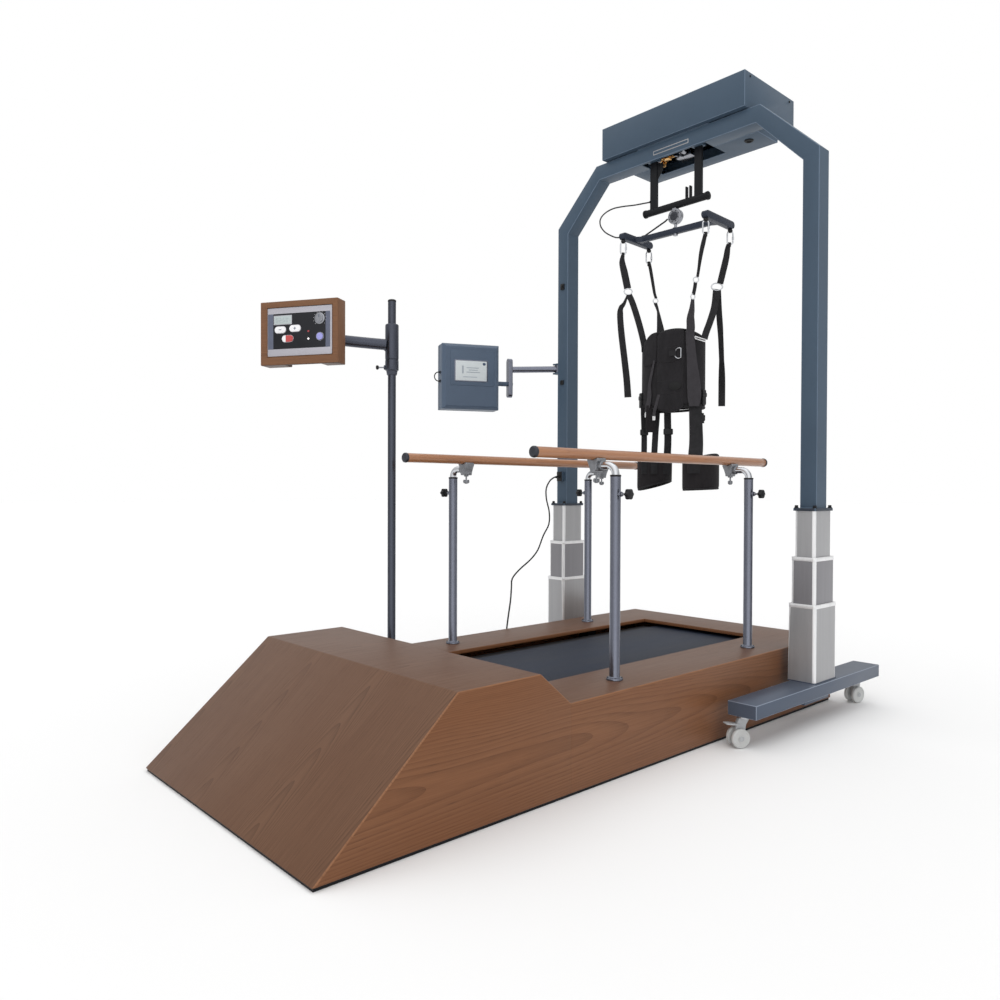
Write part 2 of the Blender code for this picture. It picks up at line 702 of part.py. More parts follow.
def make_running_belt():
    mesh = bmesh.new()
    inner, outer = belt_outline(BELT_BEND), belt_outline(BELT_BEND + BELT_THICKNESS)
    loops = []
    for x in (-BELT_WIDTH / 2, BELT_WIDTH / 2):
        for outline in (inner, outer):
            loops.append([mesh.verts.new((x, y, z)) for y, z in outline])
    inner_far, outer_far, inner_near, outer_near = loops
    count = len(inner)
    for first, second in ((inner_far, outer_far), (outer_far, outer_near), (outer_near, inner_near),
                          (inner_near, inner_far)):
        for i in range(count):
            j = (i + 1) % count
            mesh.faces.new((first[i], first[j], second[j], second[i]))
    return make_object("running_belt", mesh, belt_rubber())


def make_roller(name, y, pulley):
    half = ROLLER_LENGTH / 2
    shaft_end = BEAM_INNER_X + BEAM_WIDTH
    profile = [(0.0, -shaft_end), (ROLLER_SHAFT_RADIUS, -shaft_end), (ROLLER_SHAFT_RADIUS, -half),
               (ROLLER_RADIUS, -half), (ROLLER_RADIUS, half)]
    if pulley:
        profile += [(PULLEY_RADIUS, half), (PULLEY_RADIUS, half + PULLEY_WIDTH)]
        profile += [(ROLLER_SHAFT_RADIUS, half + PULLEY_WIDTH)]
    else:
        profile += [(ROLLER_SHAFT_RADIUS, half)]
    profile += [(ROLLER_SHAFT_RADIUS, shaft_end), (0.0, shaft_end)]
    mesh = bmesh.new()
    turned_along(mesh, profile, (0.0, y, ROLLER_HEIGHT), (1, 0, 0), 24)
    return make_object(name, mesh, chrome(), (0.0, y, ROLLER_HEIGHT), smooth=40)


def make_drive_motor():
    pulley_start = ROLLER_LENGTH / 2
    start = pulley_start - TOUCH - MOTOR_LENGTH
    profile = ((0.0, start), (MOTOR_RADIUS * 0.8, start), (MOTOR_RADIUS, start + 0.012),
               (MOTOR_RADIUS, pulley_start - 0.014), (MOTOR_RADIUS * 0.8, pulley_start - 0.004),
               (ROLLER_SHAFT_RADIUS, pulley_start - 0.004), (ROLLER_SHAFT_RADIUS, pulley_start),
               (MOTOR_PULLEY_RADIUS, pulley_start), (MOTOR_PULLEY_RADIUS, pulley_start + PULLEY_WIDTH),
               (0.0, pulley_start + PULLEY_WIDTH))
    mesh = bmesh.new()
    turned_along(mesh, profile, (0.0, MOTOR_Y, MOTOR_HEIGHT), (1, 0, 0))
    motor = make_object("drive_motor", mesh, grey_casting(), smooth=40)
    mesh = bmesh.new()
    add_box(mesh, (start + 0.03, MOTOR_Y - MOTOR_FOOT / 2, PLINTH_TOP - PLATE_POCKET + TOUCH),
            (pulley_start - 0.03, MOTOR_Y + MOTOR_FOOT / 2, MOTOR_HEIGHT - MOTOR_RADIUS / 2))
    return combine(motor, make_tool("motor_foot_tool", mesh), "UNION")


# Posts, arms, rails and knobs


def make_post(name, x, y):
    base = DECK_HEIGHT + TOUCH
    bore_floor = POST_TOP - POST_BORE_DEPTH
    mesh = bmesh.new()
    turned_along(mesh, ((0.0, base), (POST_FLANGE_RADIUS, base), (POST_FLANGE_RADIUS, base + POST_FLANGE_HEIGHT),
                        (POST_RADIUS, base + POST_FLANGE_HEIGHT), (POST_RADIUS, POST_TOP), (POST_BORE, POST_TOP),
                        (POST_BORE, bore_floor), (0.0, bore_floor)), (x, y, 0.0), (0, 0, 1))
    post = make_object(name, mesh, dark_metal(), (x, y, base), smooth=40)
    out = math.copysign(1.0, x)
    mesh = bmesh.new()
    add_rod(mesh, (x + out * (POST_BORE + TOUCH), y, KNOB_HEIGHT),
            (x + out * (POST_RADIUS + KNOB_BOSS_LENGTH), y, KNOB_HEIGHT), KNOB_BOSS_RADIUS, 16)
    combine(post, make_tool(f"{name}_boss_tool", mesh), "UNION")
    mesh = bmesh.new()
    add_rod(mesh, (x + out * POST_BORE / 2, y, KNOB_HEIGHT), (x + out * KNOB_REACH, y, KNOB_HEIGHT),
            KNOB_STEM_RADIUS + RUN_CLEARANCE, 12)
    return combine(post, make_tool(f"{name}_knob_hole", mesh), "DIFFERENCE")


def make_knob(name, x, y):
    out = math.copysign(1.0, x)
    tip = x + out * (POST_BORE - RUN_CLEARANCE + TOUCH)
    back = x + out * (KNOB_REACH - KNOB_THICKNESS / 2)
    front = x + out * (KNOB_REACH + KNOB_THICKNESS / 2)
    outline = []
    for i in range(4 * KNOB_LOBES):
        turn = 2 * math.pi * i / (4 * KNOB_LOBES)
        radius = KNOB_RADIUS + KNOB_LOBE * math.cos(KNOB_LOBES * turn)
        outline.append((y + radius * math.cos(turn), KNOB_HEIGHT + radius * math.sin(turn)))
    mesh = bmesh.new()
    add_prism(mesh, outline, "x", back, front)
    knob = make_object(name, mesh, black_plastic(), (x + out * KNOB_REACH, y, KNOB_HEIGHT), smooth=40)
    mesh = bmesh.new()
    add_rod(mesh, (tip, y, KNOB_HEIGHT), ((back + front) / 2, y, KNOB_HEIGHT), KNOB_STEM_RADIUS, 12)
    return combine(knob, make_tool(f"{name}_stem_tool", mesh), "UNION")


def make_rail_arm(name, x, y):
    """An inner tube that slides in the post, bends inboard and ends in a saddle clamp under the rail."""
    side = math.copysign(1.0, x)
    rail_x = side * RAIL_X
    radius = POST_BORE - RUN_CLEARANCE
    corner = arc((x - side * ARM_BEND, ARM_HEIGHT - ARM_BEND), ARM_BEND, 0 if side > 0 else 180, 90, 5)
    path = [(x, y, POST_TOP - ARM_INSERTED)] + [(px, y, pz) for px, pz in corner]
    path.append((rail_x - side * CLAMP_SIZE / 4, y, ARM_HEIGHT))
    mesh = bmesh.new()
    add_swept(mesh, path, round_section(radius, 12), (0, 1, 0))
    arm = make_object(name, mesh, chrome(), (x, y, ARM_HEIGHT), smooth=40)
    half = CLAMP_SIZE / 2
    clamp_bottom = ARM_HEIGHT - CLAMP_BELOW
    mesh = bmesh.new()
    add_box(mesh, (rail_x - half, y - half, clamp_bottom),
            (rail_x + half, y + half, RAIL_HEIGHT - RAIL_RADIUS + CLAMP_WRAP))
    combine(arm, make_tool(f"{name}_clamp_tool", mesh), "UNION")
    mesh = bmesh.new()
    add_rod(mesh, (rail_x, y - CLAMP_SIZE, RAIL_HEIGHT), (rail_x, y + CLAMP_SIZE, RAIL_HEIGHT), RAIL_RADIUS + TOUCH)
    combine(arm, make_tool(f"{name}_saddle_tool", mesh), "DIFFERENCE")
    mesh = bmesh.new()
    screw_end = clamp_bottom - SCREW_DROP
    add_rod(mesh, (rail_x, y, screw_end), (rail_x, y, clamp_bottom + SCREW_RADIUS), SCREW_RADIUS, 12)
    combine(arm, make_tool(f"{name}_screw_tool", mesh), "UNION")
    mesh = bmesh.new()
    add_box(mesh, (rail_x - WING_THICKNESS / 2, y - WING_SPAN / 2, screw_end - WING_HEIGHT / 2),
            (rail_x + WING_THICKNESS / 2, y + WING_SPAN / 2, screw_end + WING_HEIGHT / 2))
    return combine(arm, make_tool(f"{name}_wing_tool", mesh), "UNION")


def make_rail(name, x):
    length = RAIL_REAR - RAIL_FRONT
    cap = RAIL_CAP_LENGTH
    mesh = bmesh.new()
    turned_along(mesh, ((0.0, 0.0), (RAIL_CAP_RADIUS * 0.8, 0.0), (RAIL_CAP_RADIUS, 0.003), (RAIL_CAP_RADIUS, cap),
                        (RAIL_RADIUS, cap), (RAIL_RADIUS, length - cap), (RAIL_CAP_RADIUS, length - cap),
                        (RAIL_CAP_RADIUS, length - 0.003), (RAIL_CAP_RADIUS * 0.8, length), (0.0, length)),
                 (x, RAIL_FRONT, RAIL_HEIGHT), (0, 1, 0))
    return make_object(name, mesh, rail_wood(), (x, RAIL_FRONT, RAIL_HEIGHT), smooth=40)


# Console and mast


def console_frame():
    """Matrix from the console's own frame (x across, y into the case, z up from its middle) to the part's."""
    middle = (CONSOLE_TOP + CONSOLE_BOTTOM) / 2
    return Matrix.Translation((*CONSOLE_FACE, middle)) @ Matrix.Rotation(CONSOLE_TURN, 4, "Z")


def in_console(mesh, verts):
    bmesh.ops.transform(mesh, matrix=console_frame(), verts=verts)


def make_mast_pole():
    base = DECK_HEIGHT + TOUCH
    mesh = bmesh.new()
    turned_along(mesh, ((0.0, base), (MAST_FLANGE_RADIUS, base), (MAST_FLANGE_RADIUS, base + POST_FLANGE_HEIGHT),
                        (MAST_RADIUS, base + POST_FLANGE_HEIGHT), (MAST_RADIUS, MAST_TOP - 0.004),
                        (MAST_RADIUS - 0.004, MAST_TOP), (0.0, MAST_TOP)), (MAST_X, MAST_Y, 0.0), (0, 0, 1))
    return make_object("mast_pole", mesh, dark_metal(), (MAST_X, MAST_Y, base), smooth=40)


def sleeve_profile(bottom, top):
    inner = MAST_RADIUS + RUN_CLEARANCE
    return ((inner, bottom), (SLEEVE_RADIUS - 0.002, bottom), (SLEEVE_RADIUS, bottom + 0.002),
            (SLEEVE_RADIUS, top - 0.002), (SLEEVE_RADIUS - 0.002, top), (inner, top))


def make_mast_clamp():
    top = SLEEVE_BOTTOM - TOUCH
    bottom = top - MAST_CLAMP_LENGTH
    middle = (top + bottom) / 2
    mesh = bmesh.new()
    turned_along(mesh, sleeve_profile(bottom, top), (MAST_X, MAST_Y, 0.0), (0, 0, 1))
    clamp = make_object("mast_clamp", mesh, dark_metal(), (MAST_X, MAST_Y, middle), smooth=40)
    out = Vector((math.cos(MAST_KNOB_TURN), math.sin(MAST_KNOB_TURN), 0.0))
    axis = Vector((MAST_X, MAST_Y, middle))
    start = axis + out * (MAST_RADIUS + SLEEVE_RADIUS) / 2
    length = MAST_KNOB_REACH - (MAST_RADIUS + SLEEVE_RADIUS) / 2
    mesh = bmesh.new()
    turned_along(mesh, ((0.0, 0.0), (KNOB_STEM_RADIUS, 0.0), (KNOB_STEM_RADIUS, length - 0.012),
                        (MAST_KNOB_RADIUS * 0.7, length - 0.011), (MAST_KNOB_RADIUS, length - 0.005),
                        (MAST_KNOB_RADIUS, length), (0.0, length)), start, out, 16)
    return combine(clamp, make_tool("mast_knob_tool", mesh), "UNION")


def make_mast_collar():
    mesh = bmesh.new()
    turned_along(mesh, sleeve_profile(SLEEVE_BOTTOM, SLEEVE_TOP), (MAST_X, MAST_Y, 0.0), (0, 0, 1))
    collar = make_object("mast_collar", mesh, dark_metal(), (MAST_X, MAST_Y, SLEEVE_BOTTOM), smooth=40)
    back = console_frame() @ Vector((0.0, CONSOLE_DEPTH + TOUCH, 0.0))
    inward = (console_frame().to_3x3() @ Vector((0.0, 1.0, 0.0))).normalized()
    end = Vector((back.x, back.y, CONSOLE_ARM_HEIGHT + CONSOLE_ARM_FALL))
    axis = Vector((MAST_X, MAST_Y, CONSOLE_ARM_HEIGHT))
    start = axis + (end - axis).normalized() * (MAST_RADIUS + SLEEVE_RADIUS) / 2
    reach = (end - start).length
    joint = end + inward * CONSOLE_ARM_RADIUS
    knee = end + inward * reach * 0.35
    path = [(1 - t) ** 2 * start + 2 * t * (1 - t) * knee + t ** 2 * joint for t in (i / 8 for i in range(9))]
    path.append(end)
    mesh = bmesh.new()
    add_swept(mesh, path, round_section(CONSOLE_ARM_RADIUS, 14), (0, 0, 1))
    return combine(collar, make_tool("console_arm_tool", mesh), "UNION")


def key_outline(centre, grow=0.0):
    """A key with round ends, as wide as KEY_SIZE says."""
    radius = KEY_SIZE[1] / 2 + grow
    straight = (KEY_SIZE[0] - KEY_SIZE[1]) / 2
    right = arc((centre[0] + straight, centre[1]), radius, -90, 90, 8)
    return right + arc((centre[0] - straight, centre[1]), radius, 90, 270, 8)


PANEL_FRONT = PANEL_SETBACK
PANEL_BACK = PANEL_SETBACK + PANEL_THICKNESS


def make_console_case():
    """A wooden case with its panel set back in the front. It is hollow, and open in the notch behind the front board."""
    half, height = CONSOLE_WIDTH / 2, CONSOLE_TOP - CONSOLE_BOTTOM
    wall = CONSOLE_WALL
    notch_left = CONSOLE_NOTCH_SHIFT - CONSOLE_NOTCH_WIDTH / 2
    notch_right = CONSOLE_NOTCH_SHIFT + CONSOLE_NOTCH_WIDTH / 2
    mesh = bmesh.new()
    add_box(mesh, (-half, 0.0, -height / 2), (half, CONSOLE_DEPTH, height / 2))
    in_console(mesh, mesh.verts)
    case = make_object("console_case", mesh, wood())
    mesh = bmesh.new()
    add_box(mesh, (notch_left, wall, -height / 2 - wall), (notch_right, CONSOLE_DEPTH + wall, -height / 2 + CONSOLE_NOTCH))
    in_console(mesh, mesh.verts)
    combine(case, make_tool("console_notch", mesh), "DIFFERENCE")
    left, right, low, high = PANEL_EDGES
    mesh = bmesh.new()
    add_box(mesh, (left, -PANEL_SETBACK, low), (right, PANEL_FRONT, high))
    in_console(mesh, mesh.verts)
    combine(case, make_tool("panel_recess", mesh), "DIFFERENCE")
    mesh = bmesh.new()
    add_box(mesh, (-half + wall, PANEL_BACK, -height / 2 + CONSOLE_NOTCH + wall),
            (half - wall, CONSOLE_DEPTH - wall, height / 2 - wall))
    in_console(mesh, mesh.verts)
    combine(case, make_tool("console_hollow", mesh), "DIFFERENCE")
    mesh = bmesh.new()
    add_box(mesh, (notch_left + wall, PANEL_BACK + wall, -height / 2), (notch_right - wall, CONSOLE_DEPTH - 2 * wall, 0.0))
    in_console(mesh, mesh.verts)
    combine(case, make_tool("console_vent", mesh), "DIFFERENCE")
    for name, centre in KEYS.items():
        mesh = bmesh.new()
        add_prism(mesh, key_outline(centre, RUN_CLEARANCE), "y", 0.0, PANEL_BACK + PANEL_SETBACK)
        in_console(mesh, mesh.verts)
        combine(case, make_tool(f"{name}_hole", mesh), "DIFFERENCE")
    for name, centre in (("dial", DIAL_PLACE), ("stop", STOP_PLACE)):
        mesh = bmesh.new()
        add_rod(mesh, (centre[0], 0.0, centre[1]), (centre[0], PANEL_BACK + PANEL_SETBACK, centre[1]),
                KNOB_STEM_RADIUS + RUN_CLEARANCE, 16)
        in_console(mesh, mesh.verts)
        combine(case, make_tool(f"{name}_hole", mesh), "DIFFERENCE")
    return case


def make_key(name, centre):
    mesh = bmesh.new()
    add_prism(mesh, key_outline(centre), "y", PANEL_FRONT - KEY_PROUD, PANEL_FRONT + KEY_DEPTH)
    in_console(mesh, mesh.verts)
    return make_object(name, mesh, pale_plastic(), console_frame() @ Vector((centre[0], PANEL_FRONT, centre[1])),
                       smooth=40)


def make_button(name, centre, radius, proud, finish):
    """A round cap on a stem that passes through the panel."""
    foot = PANEL_BACK + KEY_DEPTH
    gap = TOUCH if name == "speed_dial" else proud / 2
    profile = ((0.0, foot), (KNOB_STEM_RADIUS, foot), (KNOB_STEM_RADIUS, PANEL_FRONT - gap),
               (radius, PANEL_FRONT - gap), (radius, PANEL_FRONT - proud + 0.001),
               (radius - 0.001, PANEL_FRONT - proud), (0.0, PANEL_FRONT - proud))
    mesh = bmesh.new()
    turned_along(mesh, profile, (centre[0], 0.0, centre[1]), (0, 1, 0), 20)
    in_console(mesh, mesh.verts)
    return make_object(name, mesh, finish, console_frame() @ Vector((centre[0], PANEL_FRONT, centre[1])), smooth=40)


# Gantry

COLUMN_FROM_FOOT = FOOT_WIDTH / 2 - FOOT_OFFSET
COLUMN_X = {"near": HALF_WIDTH + FOOT_GAPS["near"] + COLUMN_FROM_FOOT,
            "far": -(HALF_WIDTH + FOOT_GAPS["far"] + COLUMN_FROM_FOOT)}
GANTRY_X = (COLUMN_X["near"] + COLUMN_X["far"]) / 2
COLUMN_SPACING = COLUMN_X["near"] - COLUMN_X["far"]
GANTRY_Y = REAR_Y - GANTRY_FROM_END
FOOT_FRONT = GANTRY_Y - FOOT_AHEAD
FOOT_REAR = GANTRY_Y + FOOT_BEHIND
FOOT_TOP = FOOT_BOTTOM + FOOT_HEIGHT
STAGE_2 = (STAGE_1[0] - 2 * STAGE_2_STEP[0], STAGE_1[1] - 2 * STAGE_2_STEP[1])
STAGE_3 = (STAGE_2[0] - 2 * STAGE_3_STEP[0], STAGE_2[1] - 2 * STAGE_3_STEP[1])
STAGE_1_TOP = FOOT_TOP + STAGE_1_HEIGHT
STAGE_2_TOP = STAGE_1_TOP + STAGE_2_SHOWN
STAGE_3_TOP = STAGE_2_TOP + STAGE_3_SHOWN
CASTER_Y = {"front": FOOT_FRONT + CASTER_FROM_END, "rear": FOOT_REAR - CASTER_FROM_END}


def column_box(x, size, bottom, top):
    return ((x - size[0] / 2, GANTRY_Y - size[1] / 2, bottom), (x + size[0] / 2, GANTRY_Y + size[1] / 2, top))


def grown(size, by):
    return (size[0] + 2 * by, size[1] + 2 * by)


def make_gantry_base(side):
    """A steel foot on two castors with the outer column tube welded on."""
    x = COLUMN_X[side]
    out = 1 if side == "near" else -1
    foot_x = x + out * FOOT_OFFSET
    low = (foot_x - FOOT_WIDTH / 2, FOOT_FRONT, FOOT_BOTTOM)
    high = (foot_x + FOOT_WIDTH / 2, FOOT_REAR, FOOT_TOP)
    mesh = bmesh.new()
    add_box(mesh, low, high)
    base = make_object(f"{side}_base", mesh, dark_metal())
    mesh = bmesh.new()
    add_box(mesh, [value + FOOT_WALL for value in low], [value - FOOT_WALL for value in high])
    combine(base, make_tool(f"{side}_foot_hollow", mesh), "DIFFERENCE")
    for end, y in CASTER_Y.items():
        mesh = bmesh.new()
        add_rod(mesh, (x, y, FOOT_BOTTOM - FOOT_WALL), (x, y, FOOT_BOTTOM + FORK_STEM_HEIGHT + TOUCH),
                FORK_STEM_RADIUS + RUN_CLEARANCE, 16)
        combine(base, make_tool(f"{side}_{end}_stem_hole", mesh), "DIFFERENCE")
    mesh = bmesh.new()
    add_box(mesh, *column_box(x, STAGE_1, FOOT_TOP - FOOT_WALL / 2, STAGE_1_TOP))
    combine(base, make_tool(f"{side}_column_tool", mesh), "UNION")
    mesh = bmesh.new()
    add_box(mesh, *column_box(x, grown(STAGE_2, STAGE_GLIDE), FOOT_TOP + COLUMN_FLOOR, STAGE_1_TOP + COLUMN_FLOOR))
    return combine(base, make_tool(f"{side}_column_bore", mesh), "DIFFERENCE")


def make_stage(side, number):
    size, top, length = (STAGE_2, STAGE_2_TOP, STAGE_2_LENGTH) if number == 2 else (STAGE_3, STAGE_3_TOP,
                                                                                  STAGE_3_LENGTH)
    inner = grown(STAGE_3, STAGE_GLIDE) if number == 2 else grown(STAGE_3, -STAGE_3_WALL)
    x = COLUMN_X[side]
    mesh = bmesh.new()
    add_box(mesh, *column_box(x, size, top - length, top))
    stage = make_object(f"{side}_stage_{number}", mesh, brushed_aluminium(), (x, GANTRY_Y, top))
    mesh = bmesh.new()
    add_box(mesh, *column_box(x, inner, top - length - COLUMN_FLOOR, top + COLUMN_FLOOR))
    return combine(stage, make_tool(f"{side}_stage_{number}_bore", mesh), "DIFFERENCE")


INNER_CORNER_HEIGHT = ARCH_TOP - INNER_CORNER_DROP
OUTER_CORNER_HEIGHT = ARCH_TOP - OUTER_CORNER_DROP


def arch_outline(inset, bottom):
    """The arch's outline in the XZ plane, its walls drawn in by inset on every side."""
    outer, inner = COLUMN_SPACING / 2 + UPRIGHT[0] / 2 - inset, COLUMN_SPACING / 2 - UPRIGHT[0] / 2 + inset
    inner_rise = ARCH_TOP - CROSSBEAM_DEPTH - INNER_CORNER_HEIGHT
    outer_rise = ARCH_TOP - OUTER_CORNER_HEIGHT
    inner_bend = math.tan(math.atan2(INNER_CHAMFER_RUN, inner_rise) / 2)
    outer_bend = math.tan(math.atan2(OUTER_CHAMFER_RUN, outer_rise) / 2)
    inner_flat = math.tan(math.atan2(inner_rise, INNER_CHAMFER_RUN) / 2)
    outer_flat = math.tan(math.atan2(outer_rise, OUTER_CHAMFER_RUN) / 2)
    top_inner = COLUMN_SPACING / 2 - UPRIGHT[0] / 2 - INNER_CHAMFER_RUN + inset * inner_flat
    top_outer = COLUMN_SPACING / 2 + UPRIGHT[0] / 2 - OUTER_CHAMFER_RUN - inset * outer_flat
    half = ((outer, bottom), (outer, OUTER_CORNER_HEIGHT - inset * outer_bend), (top_outer, ARCH_TOP - inset))
    under = ((top_inner, ARCH_TOP - CROSSBEAM_DEPTH + inset), (inner, INNER_CORNER_HEIGHT + inset * inner_bend),
             (inner, bottom))
    left = [(-px, pz) for px, pz in reversed(half)]
    left_under = [(-px, pz) for px, pz in reversed(under)]
    return [(GANTRY_X + px, pz) for px, pz in (*half, *left, *left_under, *under)]


FLANGE_BOTTOM = STAGE_3_TOP + TOUCH
UPRIGHT_BOTTOM = FLANGE_BOTTOM + FLANGE_HEIGHT / 2
SOCKET_HEIGHT = STAGE_3_TOP + SOCKET_RISE
BRACKET_TOP = DISPLAY_ARM_HEIGHT + BRACKET_ABOVE_ARM
BRACKET_BOTTOM = DISPLAY_ARM_HEIGHT - BRACKET_BELOW_ARM
FRONT_FACE = GANTRY_Y - UPRIGHT[1] / 2
BACK_FACE = GANTRY_Y + UPRIGHT[1] / 2
DISPLAY_PIVOT = (COLUMN_X["far"] - UPRIGHT[0] / 2 - DISPLAY_PIVOT_OUT, GANTRY_Y)


def make_arch_frame():
    mesh = bmesh.new()
    add_prism(mesh, arch_outline(0.0, UPRIGHT_BOTTOM), "y", FRONT_FACE, BACK_FACE)
    arch = make_object("arch_frame", mesh, blue_steel())
    for side, x in COLUMN_X.items():
        mesh = bmesh.new()
        add_box(mesh, *column_box(x, grown(STAGE_3, FLANGE_MARGIN), FLANGE_BOTTOM, FLANGE_BOTTOM + FLANGE_HEIGHT))
        combine(arch, make_tool(f"{side}_flange_tool", mesh), "UNION")
    mesh = bmesh.new()
    add_prism(mesh, arch_outline(ARCH_WALL, FLANGE_BOTTOM - FLANGE_HEIGHT), "y", FRONT_FACE + ARCH_WALL,
              BACK_FACE - ARCH_WALL)
    combine(arch, make_tool("arch_hollow", mesh), "DIFFERENCE")
    mesh = bmesh.new()
    add_box(mesh, (GANTRY_X - MOUTH_HALF_WIDTH, MOUTH_FRONT, ARCH_TOP - 2 * CROSSBEAM_DEPTH),
            (GANTRY_X + MOUTH_HALF_WIDTH, BACK_FACE + ARCH_WALL, ARCH_TOP + CROSSBEAM_DEPTH))
    combine(arch, make_tool("crossbeam_mouth", mesh), "DIFFERENCE")
    for side, sign in (("right", 1), ("left", -1)):
        x = GANTRY_X + sign * YOKE_HALF_SPAN
        half_x, half_y = YOKE_LEG[0] / 2 + RUN_CLEARANCE, YOKE_LEG[1] / 2 + RUN_CLEARANCE
        mesh = bmesh.new()
        add_box(mesh, (x - half_x - GUIDE_WALL, FRONT_FACE + ARCH_WALL / 2, ARCH_TOP - CROSSBEAM_DEPTH + ARCH_WALL),
                (x + half_x + GUIDE_WALL, GANTRY_Y + half_y + GUIDE_WALL, ARCH_TOP - ARCH_WALL))
        combine(arch, make_tool(f"{side}_guide_tool", mesh), "UNION")
        mesh = bmesh.new()
        add_box(mesh, (x - half_x, GANTRY_Y - half_y, ARCH_TOP - 2 * CROSSBEAM_DEPTH),
                (x + half_x, GANTRY_Y + half_y, ARCH_TOP + CROSSBEAM_DEPTH))
        combine(arch, make_tool(f"{side}_guide_bore", mesh), "DIFFERENCE")
    far_x = COLUMN_X["far"]
    mesh = bmesh.new()
    add_box(mesh, (far_x - SOCKET_SIZE[0] / 2, FRONT_FACE - SOCKET_SIZE[1], SOCKET_HEIGHT - SOCKET_SIZE[2] / 2),
            (far_x + SOCKET_SIZE[0] / 2, FRONT_FACE + ARCH_WALL / 2, SOCKET_HEIGHT + SOCKET_SIZE[2] / 2))
    combine(arch, make_tool("socket_tool", mesh), "UNION")
    outer_x = far_x - UPRIGHT[0] / 2
    mesh = bmesh.new()
    add_box(mesh, (outer_x - BRACKET_PLATE, GANTRY_Y - LUG_WIDTH / 2, BRACKET_BOTTOM),
            (outer_x + ARCH_WALL / 2, GANTRY_Y + LUG_WIDTH / 2, BRACKET_TOP))
    combine(arch, make_tool("bracket_tool", mesh), "UNION")
    hub_half = DISPLAY_HUB_RADIUS + RUN_CLEARANCE
    for level, base in (("upper", DISPLAY_ARM_HEIGHT + hub_half),
                        ("lower", DISPLAY_ARM_HEIGHT - hub_half - LUG_THICKNESS)):
        mesh = bmesh.new()
        add_box(mesh, (outer_x - LUG_SPAN, GANTRY_Y - LUG_WIDTH / 2, base),
                (outer_x - BRACKET_PLATE / 2, GANTRY_Y + LUG_WIDTH / 2, base + LUG_THICKNESS))
        combine(arch, make_tool(f"{level}_lug_tool", mesh), "UNION")
    mesh = bmesh.new()
    add_rod(mesh, (*DISPLAY_PIVOT, DISPLAY_ARM_HEIGHT - hub_half - LUG_THICKNESS / 2),
            (*DISPLAY_PIVOT, DISPLAY_ARM_HEIGHT + hub_half + LUG_THICKNESS / 2), PIN_RADIUS, 16)
    return combine(arch, make_tool("display_pin_tool", mesh), "UNION")


# Winch housing, drum and yoke

HOUSING_BOTTOM = ARCH_TOP + HOUSING_SEAT
HOUSING_TOP = HOUSING_BOTTOM + HOUSING_HEIGHT
HOUSING_LEFT = GANTRY_X - HOUSING_WIDTH / 2
HOUSING_RIGHT = GANTRY_X + HOUSING_WIDTH / 2
HOUSING_FRONT = FRONT_FACE - HOUSING_FRONT_OVERHANG
HOUSING_BACK_Y = GANTRY_Y + HOUSING_BEHIND
BELLY_FRONT = BACK_FACE + TOUCH
BELLY_BACK_Y = GANTRY_Y + BELLY_BEHIND
BELLY_LEFT_X = GANTRY_X - BELLY_LEFT
BELLY_BOTTOM = ARCH_TOP - CROSSBEAM_DEPTH
MOUTH_FRONT = GANTRY_Y - MOUTH_AHEAD
MOUTH_BACK = GANTRY_Y + MOUTH_BEHIND
DRUM_Y = GANTRY_Y + DRUM_BEHIND
DRUM_HEIGHT = HOUSING_BOTTOM + DRUM_RISE
YOKE_LEG_TOP = HOUSING_TOP - YOKE_HEADROOM
YOKE_BAR_HEIGHT = ARCH_TOP - YOKE_BAR_DROP


